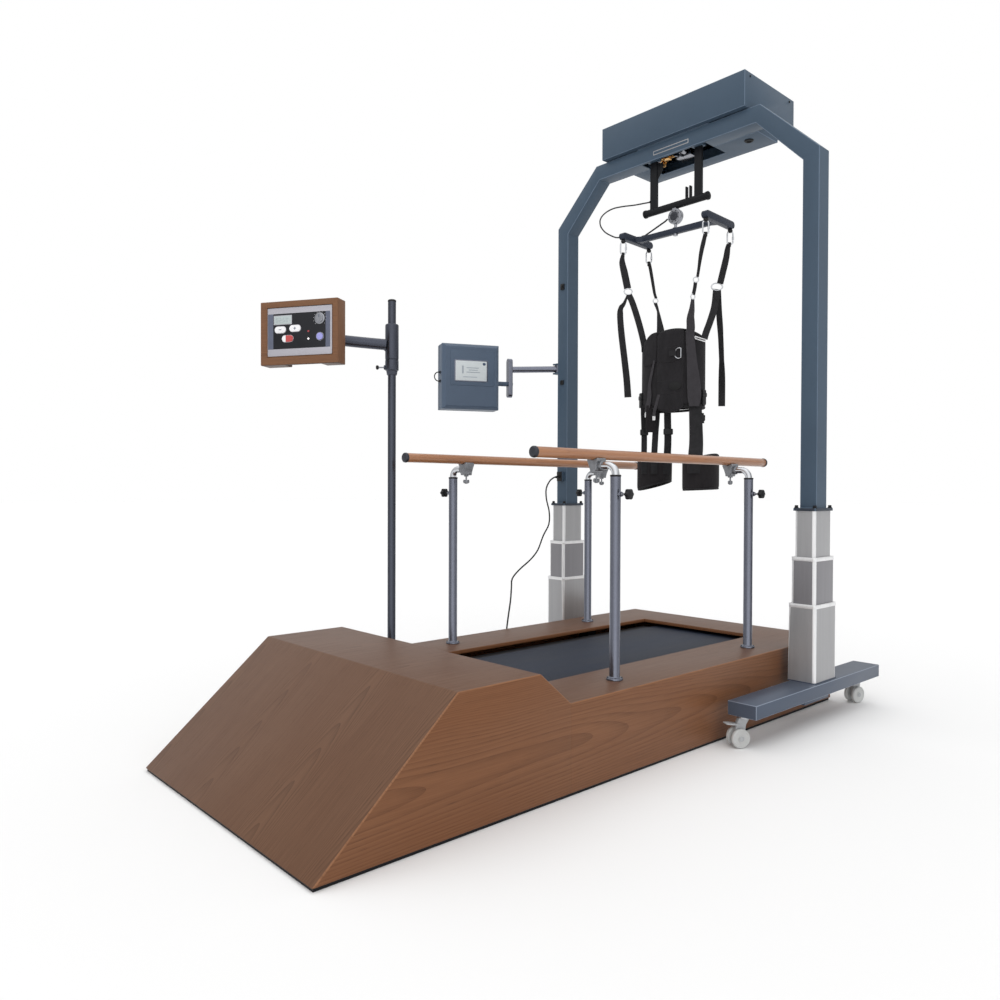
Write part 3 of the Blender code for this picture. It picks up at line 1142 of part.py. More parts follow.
def make_winch_housing():
    """A sheet metal cover that sits on the crossbeam and hangs down behind it."""
    mesh = bmesh.new()
    add_box(mesh, (HOUSING_LEFT, HOUSING_FRONT, HOUSING_BOTTOM), (HOUSING_RIGHT, HOUSING_BACK_Y, HOUSING_TOP))
    housing = make_object("winch_housing", mesh, blue_steel())
    mesh = bmesh.new()
    add_box(mesh, (BELLY_LEFT_X, BELLY_FRONT, BELLY_BOTTOM),
            (HOUSING_RIGHT, BELLY_BACK_Y, HOUSING_BOTTOM + HOUSING_WALL))
    combine(housing, make_tool("belly_tool", mesh), "UNION")
    mesh = bmesh.new()
    add_box(mesh, (GANTRY_X - HOUSING_WIDTH / 4, FRONT_FACE + ARCH_WALL, ARCH_TOP + TOUCH),
            (GANTRY_X + HOUSING_WIDTH / 4, BELLY_FRONT + HOUSING_WALL, HOUSING_BOTTOM + HOUSING_WALL))
    combine(housing, make_tool("seat_tool", mesh), "UNION")
    wall = HOUSING_WALL
    mesh = bmesh.new()
    add_box(mesh, (HOUSING_LEFT + wall, HOUSING_FRONT + wall, HOUSING_BOTTOM + wall),
            (HOUSING_RIGHT - wall, HOUSING_BACK_Y - wall, HOUSING_TOP - wall))
    combine(housing, make_tool("housing_hollow", mesh), "DIFFERENCE")
    mesh = bmesh.new()
    add_box(mesh, (BELLY_LEFT_X + wall, BELLY_FRONT + wall, BELLY_BOTTOM + wall),
            (HOUSING_RIGHT - wall, BELLY_BACK_Y - wall, HOUSING_BOTTOM + 2 * wall))
    combine(housing, make_tool("belly_hollow", mesh), "DIFFERENCE")
    mesh = bmesh.new()
    add_box(mesh, (GANTRY_X - MOUTH_HALF_WIDTH, MOUTH_FRONT, BELLY_BOTTOM - wall),
            (GANTRY_X + MOUTH_HALF_WIDTH, MOUTH_BACK, HOUSING_BOTTOM + 2 * wall))
    combine(housing, make_tool("housing_mouth", mesh), "DIFFERENCE")
    inner = DRUM_LENGTH / 2 + TOUCH
    for side, sign in (("right", 1), ("left", -1)):
        first, last = sorted((GANTRY_X + sign * inner, GANTRY_X + sign * (inner + BEARING_THICKNESS)))
        mesh = bmesh.new()
        add_box(mesh, (first, DRUM_Y - BEARING_WIDTH / 2, DRUM_HEIGHT - BEARING_WIDTH / 2),
                (last, DRUM_Y + BEARING_WIDTH / 2, HOUSING_TOP - wall / 2))
        combine(housing, make_tool(f"{side}_bearing_tool", mesh), "UNION")
    mesh = bmesh.new()
    reach = inner + 2 * BEARING_THICKNESS
    add_rod(mesh, (GANTRY_X - reach, DRUM_Y, DRUM_HEIGHT), (GANTRY_X + reach, DRUM_Y, DRUM_HEIGHT),
            DRUM_SHAFT_RADIUS + RUN_CLEARANCE, 16)
    return combine(housing, make_tool("drum_shaft_hole", mesh), "DIFFERENCE")


def make_winch_drum():
    half, flange = DRUM_LENGTH / 2, 0.008
    end = half + TOUCH + BEARING_THICKNESS
    mesh = bmesh.new()
    turned_along(mesh, ((0.0, -end), (DRUM_SHAFT_RADIUS, -end), (DRUM_SHAFT_RADIUS, -half),
                        (DRUM_FLANGE_RADIUS, -half), (DRUM_FLANGE_RADIUS, -half + flange),
                        (DRUM_RADIUS, -half + flange), (DRUM_RADIUS, half - flange),
                        (DRUM_FLANGE_RADIUS, half - flange), (DRUM_FLANGE_RADIUS, half), (DRUM_SHAFT_RADIUS, half),
                        (DRUM_SHAFT_RADIUS, end), (0.0, end)), (GANTRY_X, DRUM_Y, DRUM_HEIGHT), (1, 0, 0))
    return make_object("winch_drum", mesh, chrome(), (GANTRY_X, DRUM_Y, DRUM_HEIGHT), smooth=40)


def make_lift_yoke():
    bar = YOKE_BAR_HEIGHT
    half = YOKE_BAR_LENGTH / 2
    tip = YOKE_BAR_RADIUS / 2
    mesh = bmesh.new()
    turned_along(mesh, ((0.0, -half), (YOKE_BAR_RADIUS - tip, -half), (YOKE_BAR_RADIUS, -half + tip),
                        (YOKE_BAR_RADIUS, half - tip), (YOKE_BAR_RADIUS - tip, half), (0.0, half)),
                 (GANTRY_X, GANTRY_Y, bar), (1, 0, 0))
    yoke = make_object("lift_yoke", mesh, black_steel(), (GANTRY_X, GANTRY_Y, bar), smooth=40)
    for side, sign in (("right", 1), ("left", -1)):
        x = GANTRY_X + sign * YOKE_HALF_SPAN
        mesh = bmesh.new()
        add_box(mesh, (x - YOKE_LEG[0] / 2, GANTRY_Y - YOKE_LEG[1] / 2, bar),
                (x + YOKE_LEG[0] / 2, GANTRY_Y + YOKE_LEG[1] / 2, YOKE_LEG_TOP))
        combine(yoke, make_tool(f"{side}_leg_tool", mesh), "UNION")
    for side, sign in (("right", 1), ("left", -1)):
        x = GANTRY_X + PRONG_OFFSET + sign * PRONG_GAP / 2
        mesh = bmesh.new()
        add_box(mesh, (x - PRONG_SIZE[0] / 2, GANTRY_Y - PRONG_SIZE[1] / 2, bar),
                (x + PRONG_SIZE[0] / 2, GANTRY_Y + PRONG_SIZE[1] / 2, bar + PRONG_SIZE[2]))
        combine(yoke, make_tool(f"{side}_prong_tool", mesh), "UNION")
    return yoke


# Load cell and spreader

HANG_POINT = (GANTRY_X, GANTRY_Y)
CELL_HEIGHT = YOKE_BAR_HEIGHT - CELL_DROP
SPREADER_HEIGHT = CELL_HEIGHT - SPREADER_DROP
HOOK_BOTTOM = SPREADER_HEIGHT - HOOK_DROP


def on_spreader(across, along, height):
    """A point by its distances along the spreader's beam and its crossbars."""
    turned = Matrix.Rotation(SPREADER_TURN, 3, "Z") @ Vector((across, along, 0.0))
    return Vector((GANTRY_X + turned.x, GANTRY_Y + turned.y, height))


def with_spreader(mesh, verts):
    turned_about(mesh, verts, SPREADER_TURN, (*HANG_POINT, 0.0))


def make_load_cell():
    """A disc under the yoke's bar, with the swivel pin that carries the spreader."""
    half, edge = CELL_THICKNESS / 2, 0.004
    mesh = bmesh.new()
    turned_along(mesh, ((0.0, -half), (CELL_RADIUS - edge, -half), (CELL_RADIUS, -half + edge),
                        (CELL_RADIUS, half - edge), (CELL_RADIUS - edge, half), (0.0, half)),
                 (*HANG_POINT, CELL_HEIGHT), (0, 1, 0))
    cell = make_object("load_cell", mesh, grey_casting(), (*HANG_POINT, CELL_HEIGHT), smooth=40)
    beam_bottom = SPREADER_HEIGHT - BEAM_SECTION[1] / 2
    head = beam_bottom - TOUCH - PIN_HEAD
    mesh = bmesh.new()
    turned_along(mesh, ((0.0, 0.0), (PIN_RADIUS * 1.6, 0.0), (PIN_RADIUS * 1.6, PIN_HEAD), (PIN_RADIUS, PIN_HEAD),
                        (PIN_RADIUS, CELL_HEIGHT - head), (0.0, CELL_HEIGHT - head)), (*HANG_POINT, head),
                 (0, 0, 1), 16)
    combine(cell, make_tool("cell_pin_tool", mesh), "UNION")
    mesh = bmesh.new()
    add_box(mesh, (GANTRY_X - PIN_RADIUS * 1.6, GANTRY_Y - half, CELL_HEIGHT),
            (GANTRY_X + PIN_RADIUS * 1.6, GANTRY_Y + half, YOKE_BAR_HEIGHT))
    combine(cell, make_tool("cell_neck_tool", mesh), "UNION")
    mesh = bmesh.new()
    add_rod(mesh, (GANTRY_X - 2 * CELL_RADIUS, GANTRY_Y, YOKE_BAR_HEIGHT),
            (GANTRY_X + 2 * CELL_RADIUS, GANTRY_Y, YOKE_BAR_HEIGHT), YOKE_BAR_RADIUS + TOUCH)
    return combine(cell, make_tool("cell_saddle_tool", mesh), "DIFFERENCE")


def rounded_loop(half_width, low, high, radius, steps=3):
    """A closed upright loop with rounded corners, as (across, height) pairs."""
    corners = ((half_width, low, -90), (half_width, high, 0), (-half_width, high, 90), (-half_width, low, 180))
    points = []
    for x, z, first in corners:
        centre = (x - math.copysign(radius, x), z + (radius if z == low else -radius))
        points += arc(centre, radius, first, first + 90, steps)
    return points


def add_ring(mesh, loop, section):
    """A section carried round a closed upright loop in the YZ plane at x = 0."""
    count = len(loop)
    rings = []
    for i, (across, height) in enumerate(loop):
        before, after = loop[i - 1], loop[(i + 1) % count]
        ahead = Vector((0.0, after[0] - before[0], after[1] - before[1])).normalized()
        side = Vector((1.0, 0.0, 0.0))
        up = ahead.cross(side)
        rings.append([mesh.verts.new(Vector((0.0, across, height)) + side * first + up * second)
                      for first, second in section])
    for i in range(count):
        for j in range(len(section)):
            k = (j + 1) % len(section)
            mesh.faces.new((rings[i][j], rings[i][k], rings[(i + 1) % count][k], rings[(i + 1) % count][j]))
    return [vert for ring in rings for vert in ring]


HOOK_PLACES = {
    "front_left": (-SPREADER_HALF_LENGTH, -SPREADER_HALF_WIDTH),
    "back_left": (-SPREADER_HALF_LENGTH, SPREADER_HALF_WIDTH),
    "front_right": (SPREADER_HALF_LENGTH, -SPREADER_HALF_WIDTH),
    "back_right": (SPREADER_HALF_LENGTH, SPREADER_HALF_WIDTH),
}


def hook_middle(name):
    across, along = HOOK_PLACES[name]
    return across, along - math.copysign(HOOK_WIDTH / 2 + CROSSBAR_END / 4, along)


def make_spreader_bar():
    """Beam with two crossbars, a spring hook hanging from each of the four ends."""
    half_beam, rise = BEAM_SECTION[0] / 2, BEAM_SECTION[1] / 2
    mesh = bmesh.new()
    add_box(mesh, (GANTRY_X - SPREADER_HALF_LENGTH, GANTRY_Y - half_beam, SPREADER_HEIGHT - rise),
            (GANTRY_X + SPREADER_HALF_LENGTH, GANTRY_Y + half_beam, SPREADER_HEIGHT + rise))
    with_spreader(mesh, mesh.verts)
    spreader = make_object("spreader_bar", mesh, dark_metal(), (*HANG_POINT, SPREADER_HEIGHT))
    for side, sign in (("right", 1), ("left", -1)):
        x = GANTRY_X + sign * SPREADER_HALF_LENGTH
        half = SPREADER_HALF_WIDTH
        end = CROSSBAR_SECTION[1] / 2
        outline = (arc((GANTRY_Y + half - end, SPREADER_HEIGHT), end, -90, 90, 8)
                   + arc((GANTRY_Y - half + end, SPREADER_HEIGHT), end, 90, 270, 8))
        mesh = bmesh.new()
        add_prism(mesh, outline, "x", x - CROSSBAR_SECTION[0] / 2, x + CROSSBAR_SECTION[0] / 2)
        with_spreader(mesh, mesh.verts)
        combine(spreader, make_tool(f"{side}_crossbar_tool", mesh), "UNION")
    for name in HOOK_PLACES:
        across, along = hook_middle(name)
        mesh = bmesh.new()
        loop = rounded_loop(HOOK_WIDTH / 2, HOOK_BOTTOM, SPREADER_HEIGHT - HOOK_WIRE, HOOK_CORNER)
        add_ring(mesh, loop, round_section(HOOK_WIRE, 6))
        bmesh.ops.translate(mesh, verts=mesh.verts, vec=(GANTRY_X + across, GANTRY_Y + along, 0.0))
        with_spreader(mesh, mesh.verts)
        combine(spreader, make_tool(f"{name}_hook_tool", mesh), "UNION")
    mesh = bmesh.new()
    add_rod(mesh, (GANTRY_X - STRUT_REACH, GANTRY_Y, SPREADER_HEIGHT), (GANTRY_X - CELL_RADIUS * 1.25, GANTRY_Y,
            CELL_HEIGHT), CELL_LEAD_RADIUS, 12)
    with_spreader(mesh, mesh.verts)
    combine(spreader, make_tool("strut_tool", mesh), "UNION")
    mesh = bmesh.new()
    add_rod(mesh, (*HANG_POINT, SPREADER_HEIGHT - 2 * rise), (*HANG_POINT, SPREADER_HEIGHT + 2 * rise),
            PIN_RADIUS + RUN_CLEARANCE, 16)
    return combine(spreader, make_tool("swivel_hole", mesh), "DIFFERENCE")


# Harness

VEST_CENTRE = (GANTRY_X + VEST_SHIFT, GANTRY_Y)
VEST_TOP = HOOK_BOTTOM - VEST_DROP
VEST_BOTTOM = VEST_TOP - VEST_HEIGHT
LEG_BAR_HEIGHT = VEST_BOTTOM + LEG_BAR_RISE
CUFF_TOP = LEG_BAR_HEIGHT - CUFF_DROP
CUFF_BOTTOM = CUFF_TOP - CUFF_HEIGHT


def padded_tube(mesh, centre, half_width, half_depth, pad, edge, top_at, bottom_at, sides=28, rows=4):
    """A crowned padded tube, its top and bottom heights given by direction. Its edges are rolled over."""
    profile = []
    for i in range(rows + 1):
        t = i / rows
        profile.append((edge / 2 + (pad - edge) / 2 * math.sin(math.pi * t) ** 0.5, t, 0.0))
    shape = [(thick, t) for thick, t, _ in profile]
    loops = []
    for i in range(sides):
        turn = 2 * math.pi * i / sides
        across, along = math.cos(turn), math.sin(turn)
        outward = Vector((across / half_width, along / half_depth)).normalized()
        low, high = bottom_at(turn), top_at(turn)
        middle = Vector((centre[0] + half_width * across, centre[1] + half_depth * along))
        loop = [(middle, low - edge / 2)]
        loop += [(middle + outward * thick, low + (high - low) * t) for thick, t in shape]
        loop.append((middle, high + edge / 2))
        loop += [(middle - outward * thick, low + (high - low) * t) for thick, t in reversed(shape)]
        loops.append([mesh.verts.new((place.x, place.y, height)) for place, height in loop])
    count = len(loops[0])
    for i in range(sides):
        following = loops[(i + 1) % sides]
        for j in range(count):
            k = (j + 1) % count
            mesh.faces.new((loops[i][j], following[j], following[k], loops[i][k]))


def add_strap(mesh, path, widths, sides, thickness):
    """Webbing along a path, its width and the direction of that width changing from one end to the other."""
    path = [Vector(point) for point in path]
    last = len(path) - 1
    rings = []
    for i, point in enumerate(path):
        t = i / last
        ahead = (path[min(i + 1, last)] - path[max(i - 1, 0)]).normalized()
        side = Vector(sides[0]).normalized().lerp(Vector(sides[1]).normalized(), t)
        side = (side - ahead * side.dot(ahead)).normalized()
        up = ahead.cross(side)
        half = (widths[0] + (widths[1] - widths[0]) * min(1.0, 3 * t)) / 2
        rings.append([mesh.verts.new(point + side * across * half + up * rise * thickness / 2)
                      for across, rise in ((-1, -1), (1, -1), (1, 1), (-1, 1))])
    for first, second in zip(rings, rings[1:]):
        for i in range(4):
            j = (i + 1) % 4
            mesh.faces.new((first[i], first[j], second[j], second[i]))
    mesh.faces.new(reversed(rings[0]))
    mesh.faces.new(rings[-1])


def vest_top(turn):
    return VEST_TOP - VEST_SIDE_DIP * math.cos(turn) ** 2


def vest_bottom(turn):
    return VEST_BOTTOM + VEST_SIDE_RISE * math.cos(turn) ** 2


def on_vest(degrees, height):
    turn = math.radians(degrees)
    return Vector((VEST_CENTRE[0] + VEST_HALF_WIDTH * math.cos(turn),
                   VEST_CENTRE[1] + VEST_HALF_DEPTH * math.sin(turn), height))


def along_vest(degrees):
    turn = math.radians(degrees)
    return Vector((-VEST_HALF_WIDTH * math.sin(turn), VEST_HALF_DEPTH * math.cos(turn), 0.0)).normalized()


def make_harness_vest():
    mesh = bmesh.new()
    padded_tube(mesh, VEST_CENTRE, VEST_HALF_WIDTH, VEST_HALF_DEPTH, VEST_PAD, VEST_EDGE, vest_top, vest_bottom)
    vest = make_object("harness_vest", mesh, webbing(), (*VEST_CENTRE, VEST_BOTTOM), smooth=50)
    for name, (degrees, ring, tail) in STRAPS.items():
        across, along = hook_middle(name)
        bar = on_spreader(across, along, HOOK_BOTTOM)
        bar_side = Matrix.Rotation(SPREADER_TURN, 3, "Z") @ Vector((0.0, 1.0, 0.0))
        inner = (HOOK_WIRE + TOUCH) / math.cos(math.pi / 12)
        outer = inner + STRAP_THICKNESS
        half = STRAP_TOP_WIDTH / 2
        mesh = bmesh.new()
        turned_along(mesh, ((inner, -half), (outer, -half), (outer, half), (inner, half)), bar, bar_side, 12)
        combine(vest, make_tool(f"{name}_strap_loop", mesh), "UNION")
        start = bar - Vector((0.0, 0.0, (inner + outer) / 2))
        shoulder_height = vest_top(math.radians(degrees)) - STRAP_SEWN / 4
        shoulder = on_vest(degrees, shoulder_height)
        turned = along_vest(degrees)
        if turned.dot(bar_side) < 0:
            turned = -turned
        hang = Vector((*VEST_CENTRE, HOOK_BOTTOM))
        ring = hang + Vector(ring)
        path = [start, start - Vector((0.0, 0.0, 2 * outer)), start.lerp(ring, 0.5), ring,
                ring.lerp(shoulder, 0.5), shoulder, shoulder - Vector((0.0, 0.0, STRAP_SEWN))]
        mesh = bmesh.new()
        width = BROAD_STRAP if name == "front_right" else STRAP_WIDTH
        add_strap(mesh, path, (STRAP_TOP_WIDTH, width), (bar_side, turned), STRAP_THICKNESS)
        combine(vest, make_tool(f"{name}_strap_tool", mesh), "UNION")
        if tail:
            end = hang + Vector(tail)
            bend = ring.lerp(end, 0.5) + Vector((0.004, 0.004, 0.0))
            mesh = bmesh.new()
            add_strap(mesh, (ring + Vector((0.0, 0.0, 0.01)), ring.lerp(bend, 0.5), bend, bend.lerp(end, 0.5), end),
                      (STRAP_WIDTH, STRAP_WIDTH), (turned, Vector((0.7, 0.7, 0.0))), STRAP_THICKNESS)
            combine(vest, make_tool(f"{name}_tail_tool", mesh), "UNION")
    mesh = bmesh.new()
    add_rod(mesh, (VEST_CENTRE[0] - VEST_HALF_WIDTH, GANTRY_Y, LEG_BAR_HEIGHT),
            (VEST_CENTRE[0] + VEST_HALF_WIDTH, GANTRY_Y, LEG_BAR_HEIGHT), LEG_LOOP_RADIUS, 12)
    return combine(vest, make_tool("leg_web_tool", mesh), "UNION")


def make_thigh_cuff(name, out, loops, slant):
    x = VEST_CENTRE[0] + out

    def top_at(turn):
        return CUFF_TOP + CUFF_PEAK * math.cos(2 * turn)

    def bottom_at(turn):
        return CUFF_BOTTOM + slant * (1 - math.cos(turn - CUFF_SLANT_TURN)) / 2

    mesh = bmesh.new()
    padded_tube(mesh, (x, GANTRY_Y), CUFF_RADIUS, CUFF_RADIUS, CUFF_PAD, CUFF_PAD * 0.6, top_at, bottom_at, 18, 4)
    cuff = make_object(name, mesh, webbing(), (x, GANTRY_Y, LEG_BAR_HEIGHT), smooth=50)
    inner = (LEG_LOOP_RADIUS + TOUCH) / math.cos(math.pi / 12)
    outer = inner + STRAP_THICKNESS
    for side, sign, loop_out in (("left", -1, loops[0]), ("right", 1, loops[1])):
        loop_x = VEST_CENTRE[0] + loop_out
        half = LEG_STRAP / 2
        mesh = bmesh.new()
        turned_along(mesh, ((inner, -half), (outer, -half), (outer, half), (inner, half)),
                     (loop_x, GANTRY_Y, LEG_BAR_HEIGHT), (1, 0, 0), 12)
        combine(cuff, make_tool(f"{name}_{side}_loop", mesh), "UNION")
        top = Vector((loop_x, GANTRY_Y, LEG_BAR_HEIGHT - (inner + outer) / 2))
        end = Vector((x + sign * CUFF_RADIUS, GANTRY_Y, CUFF_TOP - CUFF_PEAK))
        mesh = bmesh.new()
        path = (top, top - Vector((0.0, 0.0, 2 * outer)), top.lerp(end, 0.5), end,
                end - Vector((0.0, 0.0, LEG_STRAP)))
        add_strap(mesh, path, (LEG_STRAP, LEG_STRAP), (Vector((1, 0, 0)), Vector((1, 0.6, 0))), STRAP_THICKNESS)
        combine(cuff, make_tool(f"{name}_{side}_strap", mesh), "UNION")
    return cuff


# Display

DISPLAY_SIDE = Matrix.Rotation(DISPLAY_TURN, 3, "Z") @ Vector((1.0, 0.0, 0.0))
DISPLAY_BACK = Matrix.Rotation(DISPLAY_TURN, 3, "Z") @ Vector((0.0, 1.0, 0.0))
DISPLAY_CENTRE = (DISPLAY_PIVOT[0] + DISPLAY_FROM_PIVOT[0], DISPLAY_PIVOT[1] + DISPLAY_FROM_PIVOT[1])
LINK_POINT = Vector((*DISPLAY_CENTRE, 0.0)) + DISPLAY_SIDE * LINK_OUT + DISPLAY_BACK * LINK_BACK
LINK_TOP = DISPLAY_ARM_HEIGHT + LINK_ABOVE_ARM
LINK_BOTTOM = LINK_TOP - LINK_LENGTH
KNUCKLE_HEIGHT = DISPLAY_ARM_HEIGHT - KNUCKLE_DROP
DISPLAY_HEIGHT = KNUCKLE_HEIGHT + DISPLAY_RISE


def make_display_arm():
    """An arm turning on the bracket's pin, with the upright link at its end that the display tilts on."""
    hub = Vector((*DISPLAY_PIVOT, DISPLAY_ARM_HEIGHT))
    mesh = bmesh.new()
    add_rod(mesh, hub - Vector((0, 0, DISPLAY_HUB_RADIUS)), hub + Vector((0, 0, DISPLAY_HUB_RADIUS)),
            DISPLAY_HUB_RADIUS)
    arm = make_object("display_arm", mesh, dark_metal(), hub, smooth=40)
    link = Vector((LINK_POINT.x, LINK_POINT.y, DISPLAY_ARM_HEIGHT))
    mesh = bmesh.new()
    add_rod(mesh, hub.lerp(link, 0.03), link, DISPLAY_ARM_RADIUS)
    combine(arm, make_tool("display_arm_tool", mesh), "UNION")
    half = LINK_WIDTH / 2
    outline = (arc((0.0, LINK_TOP - half), half, 0, 180, 10) + arc((0.0, LINK_BOTTOM + half), half, 180, 360, 10))
    mesh = bmesh.new()
    add_prism(mesh, [(z, y) for y, z in outline], "z", -LINK_THICKNESS / 2, LINK_THICKNESS / 2)
    turn = Matrix((( 0.0, 0.0, 1.0), (0.0, 1.0, 0.0), (1.0, 0.0, 0.0))).to_4x4()
    bmesh.ops.transform(mesh, matrix=Matrix.Translation((LINK_POINT.x, LINK_POINT.y, 0.0))
                        @ Matrix.Rotation(DISPLAY_TURN, 4, "Z") @ turn, verts=mesh.verts)
    combine(arm, make_tool("display_link_tool", mesh), "UNION")
    mesh = bmesh.new()
    add_rod(mesh, hub - Vector((0, 0, 2 * DISPLAY_HUB_RADIUS)), hub + Vector((0, 0, 2 * DISPLAY_HUB_RADIUS)),
            PIN_RADIUS + RUN_CLEARANCE, 16)
    combine(arm, make_tool("display_pin_hole", mesh), "DIFFERENCE")
    knuckle = Vector((LINK_POINT.x, LINK_POINT.y, KNUCKLE_HEIGHT))
    mesh = bmesh.new()
    add_rod(mesh, knuckle - DISPLAY_SIDE * LINK_THICKNESS, knuckle + DISPLAY_SIDE * LINK_THICKNESS,
            KNUCKLE_RADIUS + RUN_CLEARANCE, 20)
    return combine(arm, make_tool("knuckle_hole", mesh), "DIFFERENCE")


def make_display_case():
    width, depth, height = (value / 2 for value in DISPLAY_SIZE)
    edge = DISPLAY_BEVEL
    mesh = bmesh.new()
    front = ((-width + edge, -height + edge), (width - edge, -height + edge), (width - edge, height - edge),
             (-width + edge, height - edge))
    full = ((-width, -height), (width, -height), (width, height), (-width, height))
    rings = [[mesh.verts.new((x, y, z)) for x, z in outline]
             for outline, y in ((front, -depth), (full, -depth + edge), (full, depth))]
    mesh.faces.new(rings[0])
    mesh.faces.new(reversed(rings[-1]))
    for first, second in zip(rings, rings[1:]):
        for i in range(4):
            j = (i + 1) % 4
            mesh.faces.new((first[i], second[i], second[j], first[j]))
    place = Matrix.Translation((*DISPLAY_CENTRE, DISPLAY_HEIGHT)) @ Matrix.Rotation(DISPLAY_TURN, 4, "Z")
    bmesh.ops.transform(mesh, matrix=place, verts=mesh.verts)
    knuckle = Vector((LINK_POINT.x, LINK_POINT.y, KNUCKLE_HEIGHT))
    case = make_object("display_case", mesh, blue_steel(), knuckle)
    mesh = bmesh.new()
    add_rod(mesh, knuckle - DISPLAY_SIDE * (LINK_OUT - width + edge), knuckle + DISPLAY_SIDE * LINK_THICKNESS * 0.7,
            KNUCKLE_RADIUS, 20)
    combine(case, make_tool("knuckle_tool", mesh), "UNION")
    wall = DISPLAY_WALL
    mesh = bmesh.new()
    add_box(mesh, (-width + wall, -depth + edge, -height + wall), (width - wall, depth - wall, height - wall))
    bmesh.ops.transform(mesh, matrix=place, verts=mesh.verts)
    combine(case, make_tool("display_hollow", mesh), "DIFFERENCE")
    for level, z in (("upper", 2 * CABLE_HOLE), ("lower", -2 * CABLE_HOLE)):
        mesh = bmesh.new()
        add_rod(mesh, (-width - wall, 0.0, z), (-width + 2 * wall, 0.0, z), CABLE_HOLE / 2, 12)
        bmesh.ops.transform(mesh, matrix=place, verts=mesh.verts)
        combine(case, make_tool(f"{level}_cable_hole", mesh), "DIFFERENCE")
    return case


# Castors


def caster_place(name):
    side, end = name.split("_")
    stem = Vector((COLUMN_X[side], CASTER_Y[end], 0.0))
    trail = Matrix.Rotation(math.radians(CASTER_TURNS[name]), 3, "Z") @ Vector((0.0, -1.0, 0.0))
    return stem, trail, trail.cross(Vector((0.0, 0.0, 1.0)))


def make_caster_fork(name):
    """A swivelling leg between twin wheels, with its stem up into the foot."""
    stem, trail, axle = caster_place(name)
    disc_top = FOOT_BOTTOM - TOUCH
    radius = FORK_STEM_RADIUS
    mesh = bmesh.new()
    turned_along(mesh, ((0.0, disc_top - FORK_DISC_HEIGHT), (FORK_DISC_RADIUS, disc_top - FORK_DISC_HEIGHT),
                        (FORK_DISC_RADIUS, disc_top), (radius, disc_top), (radius, disc_top + FORK_STEM_HEIGHT),
                        (0.0, disc_top + FORK_STEM_HEIGHT)), stem, (0, 0, 1))
    fork = make_object(f"{name}_caster_fork", mesh, grey_casting(), stem + Vector((0, 0, FOOT_BOTTOM)), smooth=40)
    hub = (CASTER_TRAIL, WHEEL_RADIUS)
    outline = [(-FORK_DISC_RADIUS * 0.6, disc_top - FORK_DISC_HEIGHT / 2),
               (FORK_DISC_RADIUS * 0.9, disc_top - FORK_DISC_HEIGHT / 2)]
    outline += arc(hub, AXLE_RADIUS * 2.4, 20, -160, 8)
    mesh = bmesh.new()
    add_prism(mesh, [(z, y) for y, z in outline], "z", -FORK_THICKNESS / 2, FORK_THICKNESS / 2)
    basis = Matrix((axle, trail, Vector((0, 0, 1)))).transposed() @ Matrix(((0, 0, 1), (0, 1, 0), (1, 0, 0)))
    bmesh.ops.transform(mesh, matrix=Matrix.Translation(stem) @ basis.to_4x4(), verts=mesh.verts)
    combine(fork, make_tool(f"{name}_leg_tool", mesh), "UNION")
    centre = stem + trail * CASTER_TRAIL + Vector((0, 0, WHEEL_RADIUS))
    mesh = bmesh.new()
    add_rod(mesh, centre - axle * FORK_THICKNESS, centre + axle * FORK_THICKNESS, AXLE_RADIUS + RUN_CLEARANCE, 16)
    return combine(fork, make_tool(f"{name}_axle_hole", mesh), "DIFFERENCE")


def make_caster_wheel(name):
    stem, trail, axle = caster_place(name)
    centre = stem + trail * CASTER_TRAIL + Vector((0, 0, WHEEL_RADIUS))
    inner, outer, edge = WHEEL_GAP / 2, WHEEL_GAP / 2 + WHEEL_WIDTH, 0.003
    half = [(WHEEL_RADIUS - edge, inner), (WHEEL_RADIUS, inner + edge), (WHEEL_RADIUS, outer - edge),
            (WHEEL_RADIUS - edge, outer), (0.0, outer)]
    profile = [(radius, -along) for radius, along in reversed(half)] + [(AXLE_RADIUS, -inner), (AXLE_RADIUS, inner)]
    mesh = bmesh.new()
    turned_along(mesh, profile + half, centre, axle, 16)
    return make_object(f"{name}_caster_wheel", mesh, pale_plastic(), centre, smooth=40)


# Cords


def make_cord(name, points, diameter, finish, smooth_bevel):
    """A round cord as one curve with closed ends."""
    curve = bpy.data.curves.new(name, "CURVE")
    curve.dimensions = "3D"
    curve.bevel_depth = diameter / 2
    curve.bevel_resolution = smooth_bevel
    curve.use_fill_caps = True
    line = curve.splines.new("POLY")
    line.points.add(len(points) - 1)
    origin = Vector(points[0])
    for place, point in zip(line.points, points):
        place.co = (*(Vector(point) - origin), 1.0)
    curve.materials.append(finish)
    made = bpy.data.objects.new(name, curve)
    made.location = origin
    bpy.context.scene.collection.objects.link(made)
    return made


COIL_OUTER = COIL_MEAN_RADIUS + COIL_PITCH * COIL_TURNS / 4
CORD_REST = CORD_DIAMETER / 2 + TOUCH
COIL_START = (COIL_CENTRE[0] + COIL_OUTER, COIL_CENTRE[1] + COIL_LEAD, CORD_REST)


def mains_route():
    far_x = COLUMN_X["far"]
    face = FRONT_FACE - SOCKET_SIZE[1] - TOUCH
    start = [(far_x, face, SOCKET_HEIGHT), (far_x, face - 0.012, SOCKET_HEIGHT)]
    end = [(COIL_START[0], COIL_START[1] + TOUCH + COIL_LEAD / 2, CORD_REST),
           (COIL_START[0], COIL_START[1] + TOUCH, CORD_REST)]
    return smooth_path([*start, *CORD_RUN, *end], CORD_POINT_STEP)


